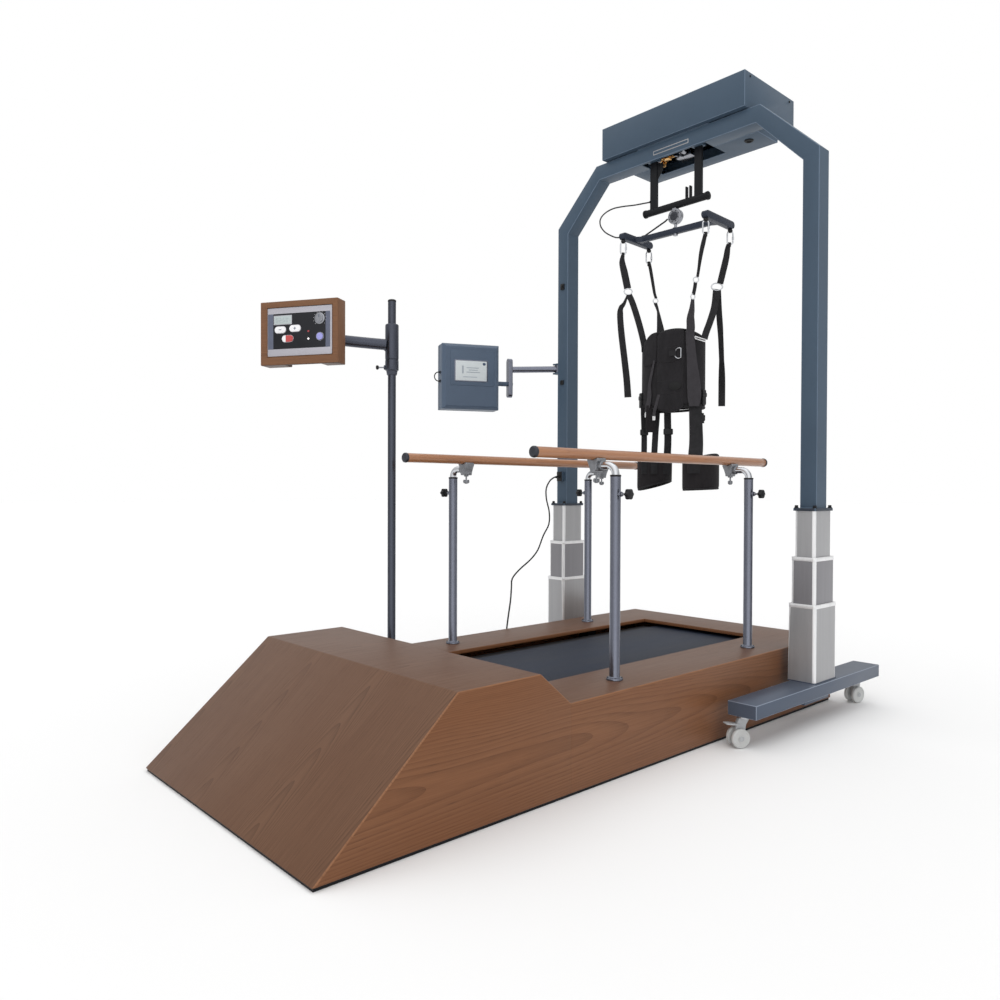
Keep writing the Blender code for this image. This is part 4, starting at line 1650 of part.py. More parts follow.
def coil_route():
    """Half the turns wind inwards on the floor and half wind back out on top of them."""
    layer = COIL_TURNS / 2
    level = COIL_PITCH
    steps = 24
    points = [COIL_START, (COIL_START[0], COIL_CENTRE[1] + COIL_LEAD / 2, CORD_REST)]
    for i in range(COIL_TURNS * steps + 1):
        turns = i / steps
        radius = COIL_OUTER - COIL_PITCH * (turns if turns < layer else COIL_TURNS - turns)
        climb = min(1.0, max(0.0, (turns - layer + 0.26) / 0.36))
        angle = -2 * math.pi * turns
        points.append((COIL_CENTRE[0] + radius * math.cos(angle), COIL_CENTRE[1] + radius * math.sin(angle),
                       CORD_REST + level * climb))
    top = CORD_REST + level
    points.append((COIL_START[0], COIL_CENTRE[1] - COIL_LEAD, top))
    points.append((COIL_START[0], COIL_CENTRE[1] - 2 * COIL_LEAD, top))
    return points


def least_gap(points, diameter):
    """The smallest gap between two parts of a route that are more than a few diameters apart along it."""
    points = [Vector(point) for point in points]
    run = [0.0]
    for first, second in zip(points, points[1:]):
        run.append(run[-1] + (second - first).length)
    least = math.inf
    for i, point in enumerate(points):
        for j in range(i + 1, len(points) - 1):
            if run[j] - run[i] < 4 * diameter:
                continue
            start, end = points[j], points[j + 1]
            span = end - start
            t = min(1.0, max(0.0, (point - start).dot(span) / span.dot(span)))
            least = min(least, (start + span * t - point).length)
    return least - diameter


def make_mains_plug():
    end = Vector(coil_route()[-1]) - Vector((0.0, TOUCH, 0.0))
    half_width, half_height = PLUG_WIDTH / 2, PLUG_HEIGHT / 2
    centre_z = max(end.z, half_height + TOUCH)
    mesh = bmesh.new()
    add_prism(mesh, ((end.x - half_width * 0.45, end.y), (end.x - half_width, end.y - PLUG_LENGTH * 0.4),
                     (end.x - half_width, end.y - PLUG_LENGTH), (end.x + half_width, end.y - PLUG_LENGTH),
                     (end.x + half_width, end.y - PLUG_LENGTH * 0.4), (end.x + half_width * 0.45, end.y)), "z",
              centre_z - half_height, centre_z + half_height)
    plug = make_object("mains_plug", mesh, black_plastic(), (end.x, end.y, centre_z))
    bevel(plug, 0.003, 2, 25)
    for side, sign in (("left", -1), ("right", 1)):
        mesh = bmesh.new()
        x = end.x + sign * PRONG_SPACING / 2
        add_rod(mesh, (x, end.y - PLUG_LENGTH + 0.004, centre_z), (x, end.y - PLUG_LENGTH - PLUG_PIN, centre_z),
                PLUG_PIN_RADIUS, 12)
        combine(plug, make_tool(f"{side}_plug_pin", mesh), "UNION")
    return plug


def sensor_route():
    """The load signal cable, slack from the yoke's leg to the spreader's front left end."""
    leg_side = GANTRY_X - YOKE_HALF_SPAN - YOKE_LEG[0] / 2 - TOUCH
    start = [(leg_side, GANTRY_Y, SENSOR_START), (leg_side - 0.010, GANTRY_Y, SENSOR_START)]
    reach = SPREADER_HALF_LENGTH + CROSSBAR_SECTION[0] / 2 + TOUCH
    along = -SPREADER_HALF_WIDTH + CROSSBAR_SECTION[1] / 2
    end = [on_spreader(-reach - 0.010, along, SPREADER_HEIGHT), on_spreader(-reach, along, SPREADER_HEIGHT)]
    return smooth_path([*start, *SENSOR_RUN, *end], CORD_POINT_STEP / 1.6)


def build():
    for existing in list(bpy.data.objects):
        bpy.data.objects.remove(existing)
    make_base_frame()
    make_front_hood()
    make_deck_surround()
    make_running_deck()
    make_running_belt()
    make_roller("front_roller", FRONT_ROLLER_Y, True)
    make_roller("rear_roller", REAR_ROLLER_Y, False)
    make_drive_motor()
    for side, sign in (("near", 1), ("far", -1)):
        for end, y in zip(("front", "rear"), POST_Y):
            make_post(f"{side}_{end}_post", sign * POST_X, y)
            make_knob(f"{side}_{end}_knob", sign * POST_X, y)
            make_rail_arm(f"{side}_{end}_arm", sign * POST_X, y)
        make_rail(f"{side}_rail", sign * RAIL_X)
    make_mast_pole()
    make_mast_clamp()
    make_mast_collar()
    make_console_case()
    for name, centre in KEYS.items():
        make_key(name, centre)
    make_button("speed_dial", DIAL_PLACE, DIAL_RADIUS, DIAL_PROUD, chrome())
    make_button("stop_button", STOP_PLACE, STOP_RADIUS, STOP_PROUD, material("violet_plastic", (0.3, 0.3, 0.6), 0.3))
    for side in COLUMN_X:
        make_gantry_base(side)
        make_stage(side, 2)
        make_stage(side, 3)
    make_arch_frame()
    make_winch_housing()
    make_winch_drum()
    make_lift_yoke()
    make_load_cell()
    make_spreader_bar()
    make_harness_vest()
    make_thigh_cuff("left_thigh_cuff", CUFF_OUT[0], LEG_LOOP_OUT[0], CUFF_DIP)
    make_thigh_cuff("right_thigh_cuff", CUFF_OUT[1], LEG_LOOP_OUT[1], CUFF_DIP / 6)
    make_display_arm()
    make_display_case()
    for name in CASTER_TURNS:
        make_caster_fork(name)
        make_caster_wheel(name)
    make_cord("mains_cord", mains_route(), CORD_DIAMETER, black_plastic(), 2)
    coil = coil_route()
    make_cord("cord_coil", coil, CORD_DIAMETER, black_plastic(), 1)
    print(f"coil: {len(coil)} points, least gap {1000 * least_gap(coil, CORD_DIAMETER):.2f} mm")
    make_mains_plug()
    make_cord("sensor_cable", sensor_route(), SENSOR_DIAMETER, black_plastic(), 2)


build()
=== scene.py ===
# Gait trainer: a veneered treadmill with hand rails and a console, and a rolling lift gantry with a harness.
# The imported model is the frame. Every piece made here rides on one of its bodies. Metres, Z up.
import math

import bmesh
import bpy
from mathutils import Matrix, Vector


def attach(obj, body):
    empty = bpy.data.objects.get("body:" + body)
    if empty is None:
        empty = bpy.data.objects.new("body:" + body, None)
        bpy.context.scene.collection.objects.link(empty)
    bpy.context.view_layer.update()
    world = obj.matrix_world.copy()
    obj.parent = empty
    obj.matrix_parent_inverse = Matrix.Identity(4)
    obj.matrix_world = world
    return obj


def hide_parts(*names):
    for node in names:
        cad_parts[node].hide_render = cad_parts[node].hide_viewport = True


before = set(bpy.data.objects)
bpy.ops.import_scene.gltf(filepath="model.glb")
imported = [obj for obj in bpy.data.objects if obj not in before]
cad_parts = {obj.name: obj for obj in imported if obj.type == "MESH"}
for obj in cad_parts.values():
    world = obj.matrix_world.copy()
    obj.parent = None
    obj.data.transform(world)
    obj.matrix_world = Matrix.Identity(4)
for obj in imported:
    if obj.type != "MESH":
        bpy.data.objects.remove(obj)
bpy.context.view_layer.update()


upward = Vector((0, 0, 1))
acrossX = Vector((1, 0, 0))
acrossY = Vector((0, 1, 0))
still = Matrix.Identity(4)
print("frame loaded", len(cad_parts), "nodes")

# Camera

view = {"place": (2.311, -2.337, 0.98), "azimuth": 47.52, "down": 0.72, "roll": 0.19, "lens": 29.03}


def placeCamera():
    bpy.ops.object.camera_add()
    camera = bpy.context.object
    turn = Matrix.Rotation(math.radians(view["azimuth"]), 4, "Z")
    turn = turn @ Matrix.Rotation(math.radians(90 - view["down"]), 4, "X")
    turn = turn @ Matrix.Rotation(math.radians(view["roll"]), 4, "Z")
    camera.matrix_basis = Matrix.Translation(view["place"]) @ turn
    camera.data.sensor_fit = "HORIZONTAL"
    camera.data.sensor_width = 36
    camera.data.lens = view["lens"]
    camera.data.clip_end = 200
    bpy.context.scene.camera = camera


placeCamera()

# Shader maths


class Wire:
    # a socket that adds its own Math nodes
    def __init__(self, finish, socket):
        self.finish, self.socket = finish, socket

    def maths(self, operation, first, second=0.0):
        return self.finish.node("ShaderNodeMath", {"operation": operation}, {0: first, 1: second})

    def __add__(self, other):
        return self.maths("ADD", self, other)

    def __sub__(self, other):
        return self.maths("SUBTRACT", self, other)

    def __rsub__(self, other):
        return self.maths("SUBTRACT", other, self)

    def __mul__(self, other):
        return self.maths("MULTIPLY", self, other)

    def __truediv__(self, other):
        return self.maths("DIVIDE", self, other)

    def __pow__(self, other):
        return self.maths("POWER", self, other)

    def __gt__(self, other):
        return self.maths("GREATER_THAN", self, other)

    __radd__, __rmul__ = __add__, __mul__

    def fraction(self):
        return self.maths("FRACT", self)

    def sine(self):
        return self.maths("SINE", self)

    def size(self):
        return self.maths("ABSOLUTE", self)

    def folded(self, width):
        return self.maths("PINGPONG", self, width)

    def capped(self):
        return self.maths("MINIMUM", self.maths("MAXIMUM", self, 0.0), 1.0)


class Finish:
    # one material: its shader's own values, and what feeds them
    def __init__(self, name, values):
        self.material = bpy.data.materials.new(name)
        self.material.use_nodes = True
        self.tree = self.material.node_tree
        self.shader = self.tree.nodes["Principled BSDF"]
        for socket, value in values.items():
            self.give(self.shader.inputs[socket], value)

    def give(self, socket, value):
        if isinstance(value, Wire):
            self.tree.links.new(value.socket, socket)
        else:
            socket.default_value = value

    def node(self, kind, settings=None, values=None, output=0):
        made = self.tree.nodes.new(kind)
        for name, value in (settings or {}).items():
            setattr(made, name, value)
        for socket, value in (values or {}).items():
            self.give(made.inputs[socket], value)
        return Wire(self, made.outputs[output])

    def feed(self, socket, value):
        self.give(self.shader.inputs[socket], value)

    def place(self, turn=0.0, centre=(0, 0, 0)):
        where = self.node("ShaderNodeTexCoord", output=3)
        if not turn and not any(centre):
            return where
        moved = self.node("ShaderNodeVectorMath", {"operation": "SUBTRACT"}, {0: where, 1: centre})
        return self.node("ShaderNodeMapping", None, {"Vector": moved, "Rotation": (0, 0, -turn)})

    def along(self, vector, direction):
        return self.node("ShaderNodeVectorMath", {"operation": "DOT_PRODUCT"}, {0: vector, 1: direction}, 1)

    def point(self, x, y=0.0, z=0.0):
        return self.node("ShaderNodeCombineXYZ", None, {0: x, 1: y, 2: z})

    def cloud(self, vector, scale, detail=2.0, rough=0.5):
        return self.node("ShaderNodeTexNoise", None,
                         {"Vector": vector, "Scale": scale, "Detail": detail, "Roughness": rough})

    def cells(self, vector, scale):
        return self.node("ShaderNodeTexVoronoi", None, {"Vector": vector, "Scale": scale})

    def stretched(self, vector, scales):
        return self.node("ShaderNodeMapping", None, {"Vector": vector, "Scale": scales})

    def mix(self, factor, first, second, blend="MIX"):
        return self.node("ShaderNodeMix", {"data_type": "RGBA", "blend_type": blend},
                         {0: factor, 6: first, 7: second}, 2)

    def bump(self, height, strength, distance):
        self.feed("Normal", self.node("ShaderNodeBump", None,
                                      {"Height": height, "Strength": strength, "Distance": distance}))


def tone(red, green, blue):
    # a screen colour as light
    def light(value):
        share = value / 255
        return share / 12.92 if share < 0.04 else ((share + 0.055) / 1.055) ** 2.4
    return light(red), light(green), light(blue), 1.0


def veneer(name, values, across, along, turn=0.0, centre=(0, 0, 0)):
    # flat-sawn leaves: arches down the middle of each leaf, straight lines at its sides, short dark pores
    wood = Finish(name, {"Coat Weight": values["coat"], "Coat Roughness": 0.22, "Specular IOR Level": 0.25})
    place = wood.place(turn, centre)
    side, run = wood.along(place, across), wood.along(place, along)
    drift = wood.cloud(wood.point(side * 2.6, run * 0.8), 1.0, 2)
    sway = side + (drift - 0.5) * 0.05 + values["shift"]
    leaf = sway.folded(values["leaf"])
    rings = leaf * leaf * values["crowding"] + run * values["arches"] + (drift - 0.5) * 5
    line = rings.fraction()
    late = line ** 3
    streak = wood.cloud(wood.point(side * 210, run * 3.2), 1.0, 3, 0.6)
    pores = wood.cloud(wood.point(side * 620, run * 13), 1.0, 1)
    dash = (pores - 0.60).capped() * 5 * (0.35 + late)
    patch = wood.cloud(wood.point(side * 4, run * 1.3), 1.0, 2)
    share = (late * 0.42 + (streak - 0.28) * 0.85 + (patch - 0.5) * 0.5).capped()
    colour = wood.mix(share, values["light"], values["dark"])
    warm = (patch * 1.5 - 0.4).capped()
    colour = wood.mix(warm * 0.35, colour, values["warm"])
    colour = wood.mix(dash.capped() * 0.55, colour, values["pore"])
    wood.feed("Base Color", colour)
    wood.feed("Roughness", 0.36 + streak * 0.14 + dash.capped() * 0.15)
    wood.bump(streak * 0.4 - dash.capped() * 1.2, 0.16, 0.0005)
    return wood.material


def painted(name, colour, roughness, metallic=0.0, coat=0.05, flake=0.0, gloss=0.2):
    # sprayed paint: faint orange peel, and a little dust that dulls it
    paint = Finish(name, {"Metallic": metallic, "Coat Weight": coat, "Coat Roughness": 0.18,
                          "Specular IOR Level": gloss})
    place = paint.place()
    peel = paint.cloud(place, 520, 2)
    dull = paint.cloud(place, 5, 4, 0.6)
    lighter = tuple(min(1.0, value * 1.22) for value in colour[:3]) + (1.0,)
    shade = paint.mix((dull - 0.25).capped(), colour, lighter)
    if flake:
        spark = (paint.cells(place, 1600) > 0.62) * flake
        shade = paint.mix(spark, shade, tuple(min(1.0, value * 2.4) for value in colour[:3]) + (1.0,))
    paint.feed("Base Color", shade)
    paint.feed("Roughness", roughness - 0.05 + dull * 0.14)
    paint.bump(peel, 0.09, 0.0004)
    return paint.material


def brushed(name, colour, roughness, direction=(60, 60, 2.2), metallic=0.4):
    # drawn and anodised: long streaks in the brightness and the gloss
    metal = Finish(name, {"Metallic": metallic, "Anisotropic": 0.35})
    place = metal.place()
    fine = metal.cloud(metal.stretched(place, direction), 14, 3, 0.7)
    broad = metal.cloud(metal.stretched(place, tuple(value / 8 for value in direction)), 6, 2)
    darker = tuple(value * 0.72 for value in colour[:3]) + (1.0,)
    metal.feed("Base Color", metal.mix((fine * 0.7 + broad * 0.6 - 0.25).capped(), darker, colour))
    metal.feed("Roughness", roughness - 0.08 + fine * 0.2)
    metal.bump(fine, 0.05, 0.0003)
    return metal.material


def polished(name, colour, roughness):
    metal = Finish(name, {"Metallic": 1.0})
    place = metal.place()
    smear = metal.cloud(place, 24, 4, 0.6)
    metal.feed("Base Color", metal.mix(smear, tuple(value * 0.88 for value in colour[:3]) + (1.0,), colour))
    metal.feed("Roughness", roughness + smear * 0.10)
    metal.bump(metal.cloud(place, 300, 1), 0.02, 0.0002)
    return metal.material


def castMetal(name, colour):
    metal = Finish(name, {"Metallic": 0.75})
    place = metal.place()
    grit = metal.cloud(place, 700, 3, 0.6)
    worn = metal.cloud(place, 60, 3)
    metal.feed("Base Color", metal.mix((worn * 1.6 - 0.5).capped(), colour,
                                       tuple(min(1.0, value * 1.5) for value in colour[:3]) + (1.0,)))
    metal.feed("Roughness", 0.34 + worn * 0.2)
    metal.bump(grit, 0.18, 0.0004)
    return metal.material


def moulded(name, colour, roughness, grain=900, depth=0.14, **more):
    # moulded plastic with a fine spark-eroded grain
    plastic = Finish(name, {"Specular IOR Level": 0.3, **{key.replace("_", " "): value for key, value in more.items()}})
    place = plastic.place()
    pits = plastic.cloud(place, grain, 2)
    dull = plastic.cloud(place, 18, 3)
    paler = tuple(min(1.0, value * 1.3 + 0.004) for value in colour[:3]) + (1.0,)
    plastic.feed("Base Color", plastic.mix((dull - 0.3).capped(), colour, paler))
    plastic.feed("Roughness", roughness - 0.04 + dull * 0.12)
    plastic.bump(pits, depth, 0.0003)
    return plastic.material


def beltFinish():
    rubber = Finish("beltRubber", {"Specular IOR Level": 0.25})
    place = rubber.place()
    x, y = rubber.along(place, (1, 0, 0)), rubber.along(place, (0, 1, 0))
    weave = ((x + y) * 1300).sine() * ((x - y) * 1300).sine()
    worn = rubber.cloud(rubber.stretched(place, (5, 0.9, 1)), 2.2, 4, 0.6)
    track = 1 - (x * 4.4).size() ** 2
    grit = rubber.cloud(place, 420, 2)
    shade = rubber.mix((worn * 0.9 + track * 0.25 - 0.25).capped(), tone(20, 26, 38), tone(39, 48, 66))
    shade = rubber.mix((grit - 0.58).capped() * 3, shade, tone(72, 80, 96))
    rubber.feed("Base Color", shade)
    rubber.feed("Roughness", 0.52 + worn * 0.18)
    rubber.bump(weave * 0.5 + grit, 0.3, 0.0006)
    return rubber.material


def railFinish():
    # turned beech, lacquered; the grain runs along the rail
    wood = Finish("railWood", {"Coat Weight": 0.45, "Coat Roughness": 0.16})
    place = wood.place()
    streak = wood.cloud(wood.stretched(place, (90, 2.4, 90)), 1.6, 4, 0.6)
    rings = (wood.cloud(wood.stretched(place, (16, 0.7, 16)), 1.5, 1) * 9).fraction()
    fleck = (wood.cloud(wood.stretched(place, (420, 42, 420)), 1, 1) - 0.62).capped() * 4
    shade = wood.mix((streak * 1.1 - 0.2).capped(), tone(174, 123, 86), tone(142, 90, 57))
    shade = wood.mix(rings ** 3 * 0.30, shade, tone(120, 73, 44))
    wood.feed("Base Color", wood.mix(fleck.capped() * 0.5, shade, tone(102, 60, 37)))
    wood.feed("Roughness", 0.30 + streak * 0.12)
    wood.bump(streak - fleck.capped(), 0.08, 0.0004)
    return wood.material


def webbingFinish(name, colour, paler):
    # woven tape: ribs across it and two warp lines along it, from the strap's own map in metres
    tape = Finish(name, {"Sheen Weight": 0.08, "Sheen Roughness": 0.5, "Specular IOR Level": 0.12})
    where = tape.node("ShaderNodeUVMap")
    across, run = tape.along(where, (1, 0, 0)), tape.along(where, (0, 1, 0))
    ribs = (run * 3600).sine()
    warp = (across * 2600).sine()
    weave = ribs * 0.5 + (warp * ribs) * 0.5
    dust = tape.cloud(tape.place(), 45, 4, 0.65)
    tape.feed("Base Color", tape.mix((dust * 0.9 + weave * 0.25 - 0.1).capped(), colour, paler))
    tape.feed("Roughness", 0.7 + dust * 0.2)
    tape.bump(weave, 0.45, 0.0006)
    return tape.material


def paddedFinish(name, colour, paler, pitch=1500):
    # close woven cover cloth over foam, with soft creases
    cloth = Finish(name, {"Sheen Weight": 0.08, "Sheen Roughness": 0.45, "Specular IOR Level": 0.1})
    place = cloth.place()
    x, y, z = (cloth.along(place, way) for way in ((1, 0, 0), (0, 1, 0), (0, 0, 1)))
    weave = ((x + y * 0.6) * pitch).sine() * (z * pitch).sine()
    crease = cloth.cloud(cloth.stretched(place, (9, 9, 4)), 2.6, 4, 0.55)
    fuzz = cloth.cloud(place, 260, 3)
    cloth.feed("Base Color", cloth.mix((crease * 0.7 + weave * 0.18 + fuzz * 0.3 - 0.35).capped(), colour, paler))
    cloth.feed("Roughness", 0.72 + fuzz * 0.18)
    cloth.bump(crease * 6 + weave * 0.35 + fuzz * 0.3, 0.35, 0.0012)
    return cloth.material


def glowing(name, colour, strength, roughness=0.2):
    lamp = Finish(name, {"Emission Strength": strength, "Roughness": roughness, "Coat Weight": 0.6})
    place = lamp.place()
    soft = lamp.cloud(place, 160, 1)
    shade = lamp.mix(soft * 0.3, colour, tuple(value * 0.8 for value in colour[:3]) + (1.0,))
    lamp.feed("Base Color", shade)
    lamp.feed("Emission Color", shade)
    return lamp.material


consoleTurn = math.radians(31)
consoleCentre = (-0.6143, -0.7518, 1.6073)
walnut = {"light": tone(108, 77, 56), "dark": tone(64, 40, 26), "warm": tone(102, 64, 39), "pore": tone(38, 24, 15),
          "leaf": 0.19, "crowding": 900, "arches": 5.5, "shift": 0.55, "coat": 0.04}
walnutSide = dict(walnut, light=tone(125, 84, 56), dark=tone(76, 46, 27), warm=tone(133, 79, 40), leaf=0.24,
                  crowding=420, arches=3.0, shift=0.31)
walnutConsole = dict(walnut, light=tone(125, 89, 62), dark=tone(81, 53, 37), warm=tone(132, 85, 55), leaf=0.06,
                     crowding=5200, arches=9.0, shift=0.2)
looks = {
    "topVeneer": veneer("topVeneer", walnut, (1, 0, 0), (0, 1, 0.9)),
    "sideVeneer": veneer("sideVeneer", walnutSide, (0, 0, 1), (1, 1, 0)),
    # paler veneer on the covers' bevelled side arrises: a painted highlight
    "sideArrisHighlight": veneer("sideArrisHighlight", dict(walnutSide, light=tone(142, 100, 70), dark=tone(108, 70, 46)),
                       (1, 0, 1), (0, 1, 0)),
    "consoleRail": veneer("consoleRail", walnutConsole, (0, 1, 1), (1, 0, 0), consoleTurn, consoleCentre),
    # darker console veneer for the case's underside and notch: painted shade
    "consolePaintedShade": veneer("consolePaintedShade", dict(walnutConsole, light=tone(64, 42, 27), dark=tone(40, 26, 17)),
                           (0, 1, 1), (1, 0, 0), consoleTurn, consoleCentre),
    "consoleStile": veneer("consoleStile", walnutConsole, (1, 1, 0), (0, 0, 1), consoleTurn, consoleCentre),
    "beltRubber": beltFinish(),
    "railWood": railFinish(),
    "gantryPaint": painted("gantryPaint", tone(66, 82, 98), 0.42),
    # paler paint on the bevelled edges of the arch and the winch housing: a painted highlight
    "gantryEdgeHighlight": painted("gantryEdgeHighlight", tone(96, 112, 130), 0.38),
    "darkPaint": painted("darkPaint", tone(104, 107, 118), 0.17, 0.92, 0.0, 0.3),
    "mastPaint": painted("mastPaint", tone(68, 71, 80), 0.24, 0.85, 0.0, 0.3),
    "flangePaint": painted("flangePaint", tone(54, 60, 70), 0.4, 0.2),
    "displayPaint": painted("displayPaint", tone(78, 92, 110), 0.4),
    "footPaint": painted("footPaint", tone(80, 89, 104), 0.36, 0.3),
    # paler paint on the bevelled edges of the gantry feet: a painted highlight
    "footEdgeHighlight": painted("footEdgeHighlight", tone(132, 141, 156), 0.34, 0.3),
    "blackSteel": painted("blackSteel", tone(24, 25, 28), 0.45, 0.2, 0.0),
    "spreaderPaint": painted("spreaderPaint", tone(44, 50, 62), 0.4, 0.2),
    "aluminium": brushed("aluminium", tone(176, 176, 178), 0.34),
    "aluminiumMid": brushed("aluminiumMid", tone(144, 143, 147), 0.34),
    # near-white aluminium for the stage rims, the strap tips and the slide, and on the rounded column corners as a
    # painted highlight
    "aluminiumRim": brushed("aluminiumRim", tone(250, 250, 251), 0.30),
    "fascia": brushed("fascia", tone(188, 186, 194), 0.36, (2.2, 2.2, 60)),
    "chrome": polished("chrome", tone(206, 208, 212), 0.06),
    "steel": polished("steel", tone(150, 152, 158), 0.2),
    "brass": polished("brass", tone(216, 172, 112), 0.22),
    "casting": castMetal("casting", tone(126, 128, 132)),
    "darkCasting": castMetal("darkCasting", tone(58, 60, 66)),
    "blackPlastic": moulded("blackPlastic", tone(21, 21, 23), 0.42),
    "rubberBlack": moulded("rubberBlack", tone(17, 17, 18), 0.6, 500, 0.3),
    "cableBlack": moulded("cableBlack", tone(25, 25, 28), 0.46, 1400, 0.1),
    "greyPlastic": moulded("greyPlastic", tone(168, 170, 172), 0.36),
    "whitePlastic": moulded("whitePlastic", tone(236, 236, 238), 0.3, 900, 0.05),
    "redPlastic": moulded("redPlastic", tone(182, 74, 74), 0.3, 900, 0.05),
    "violetPlastic": moulded("violetPlastic", tone(150, 150, 214), 0.22, 900, 0.04, Coat_Weight=0.6),
    "panelPrint": moulded("panelPrint", tone(13, 15, 22), 0.3, 1200, 0.05),
    "bandPrint": moulded("bandPrint", tone(90, 95, 112), 0.35, 1200, 0.05),
    "wheelRubber": moulded("wheelRubber", tone(196, 197, 196), 0.34, 300, 0.06, Transmission_Weight=0.15),
    "redLamp": glowing("redLamp", tone(150, 40, 52), 0.15),
    "whiteLamp": glowing("whiteLamp", tone(250, 246, 246), 0.6),
    "lcdGlass": glowing("lcdGlass", tone(158, 168, 168), 0.3, 0.12),
    "screenGlass": glowing("screenGlass", tone(172, 178, 180), 0.35, 0.1),
    "inkGrey": moulded("inkGrey", tone(150, 158, 166), 0.4, 1200, 0.04),
    "inkDark": moulded("inkDark", tone(58, 74, 98), 0.3, 1200, 0.04),
    "webbing": webbingFinish("webbing", tone(30, 30, 31), tone(56, 55, 58)),
    "broadWebbing": webbingFinish("broadWebbing", tone(52, 50, 53), tone(72, 70, 74)),
    "harnessCloth": paddedFinish("harnessCloth", tone(33, 32, 34), tone(62, 60, 63)),
    "cuffCloth": paddedFinish("cuffCloth", tone(34, 32, 34), tone(58, 55, 57)),
}
print("finishes ready", len(looks))

# Modelling helpers


def rest():
    if bpy.context.object and bpy.context.object.mode != "OBJECT":
        bpy.ops.object.mode_set(mode="OBJECT")
    bpy.ops.object.select_all(action="DESELECT")


def only(*objs):
    rest()
    for obj in objs:
        obj.select_set(True)
    bpy.context.view_layer.objects.active = objs[0]


def settle(obj, move=still):
    # the place goes into the mesh
    only(obj)
    obj.matrix_basis = move @ obj.matrix_basis
    bpy.ops.object.transform_apply(location=True, rotation=True, scale=True)
    if move.determinant() < 0:
        faceOut(obj)
    return obj


def faceOut(obj, merge=0.0):
    only(obj)
    bpy.ops.object.mode_set(mode="EDIT")
    bpy.ops.mesh.select_all(action="SELECT")
    if merge:
        bpy.ops.mesh.remove_doubles(threshold=merge)
    bpy.ops.mesh.normals_make_consistent(inside=False)
    bpy.ops.object.mode_set(mode="OBJECT")
    return obj


def change(obj, kind, **values):
    # a modifier, set and applied
    only(obj)
    made = obj.modifiers.new(kind.lower(), kind)
    for name, value in values.items():
        setattr(made, name, value)
    bpy.ops.object.modifier_apply(modifier=made.name)
    return obj


def softEdges(obj, width, segments=2, angle=30):
    return change(obj, "BEVEL", width=width, segments=segments, limit_method="ANGLE",
                  angle_limit=math.radians(angle), use_clamp_overlap=True)


def joined(parts):
    only(*parts)
    if len(parts) > 1:
        bpy.ops.object.join()
    return parts[0]


def copies(obj, moves):
    # the same shape at each place, each with its own mesh, as one piece
    made = []
    for move in moves:
        other = bpy.data.objects.new(obj.name, obj.data.copy())
        bpy.context.scene.collection.objects.link(other)
        made.append(settle(other, move))
    bpy.data.objects.remove(obj)
    return joined(made)


def finished(obj, name, body, look, replaces=(), smooth=38):
    only(obj)
    bpy.ops.object.shade_smooth_by_angle(angle=math.radians(smooth))
    obj.name = obj.data.name = name
    if look:
        obj.data.materials.clear()
        for each in (look if isinstance(look, (list, tuple)) else [look]):
            obj.data.materials.append(looks[each])
    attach(obj, body)
    if replaces:
        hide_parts(*([replaces] if isinstance(replaces, str) else replaces))
    return obj


def pointing(base, direction):
    turn = upward.rotation_difference(Vector(direction).normalized()).to_matrix().to_4x4()
    return Matrix.Translation(base) @ turn


def turned(rings, sides=32, base=(0, 0, 0), direction=upward):
    # a disc that is extruded and scaled from one (radius, height) to the next
    rest()
    radius, height = rings[0]
    bpy.ops.mesh.primitive_circle_add(vertices=sides, radius=radius, fill_type="NGON", location=(0, 0, height))
    obj = bpy.context.object
    bpy.ops.object.mode_set(mode="EDIT")
    bpy.ops.mesh.select_all(action="SELECT")
    for wider, higher in rings[1:]:
        bpy.ops.mesh.extrude_region_move(TRANSFORM_OT_translate={"value": (0, 0, higher - height)})
        bpy.ops.transform.resize(value=(wider / radius, wider / radius, 1), center_override=(0, 0, higher))
        radius, height = wider, higher
    bpy.ops.object.mode_set(mode="OBJECT")
    settle(obj, pointing(base, direction))
    return faceOut(obj)


def block(low, high, width=0.0015, segments=2, move=still):
    rest()
    size = [top - bottom for bottom, top in zip(low, high)]
    centre = [(top + bottom) / 2 for bottom, top in zip(low, high)]
    bpy.ops.mesh.primitive_cube_add(size=1, location=centre, scale=size)
    obj = settle(bpy.context.object)
    if width:
        softEdges(obj, width, segments)
    return settle(obj, move)


def cutOut(outline, low, high, width=0.001, segments=2, move=still):
    # an outline in X and Y, extruded from one height to the other
    rest()
    bpy.ops.mesh.primitive_circle_add(vertices=len(outline), fill_type="NGON")
    obj = bpy.context.object
    for vertex, (x, y) in zip(obj.data.vertices, outline):
        vertex.co = (x, y, low)
    bpy.ops.object.mode_set(mode="EDIT")
    bpy.ops.mesh.select_all(action="SELECT")
    bpy.ops.mesh.extrude_region_move(TRANSFORM_OT_translate={"value": (0, 0, high - low)})
    bpy.ops.object.mode_set(mode="OBJECT")
    faceOut(obj)
    if width:
        softEdges(obj, width, segments)
    return settle(obj, move)


# from a shape drawn in X and Y: stood up in X and Z with its depth along Y, or in Y and Z with its depth along X
faceOn = Matrix(((1, 0, 0, 0), (0, 0, 1, 0), (0, 1, 0, 0), (0, 0, 0, 1)))
sideOn = Matrix(((0, 0, 1, 0), (1, 0, 0, 0), (0, 1, 0, 0), (0, 0, 0, 1)))


def facing(at, side, out):
    # a frame whose X runs sideways and whose Z points out of a surface
    return Matrix.Translation(at) @ Matrix((side, upward, out)).transposed().to_4x4()


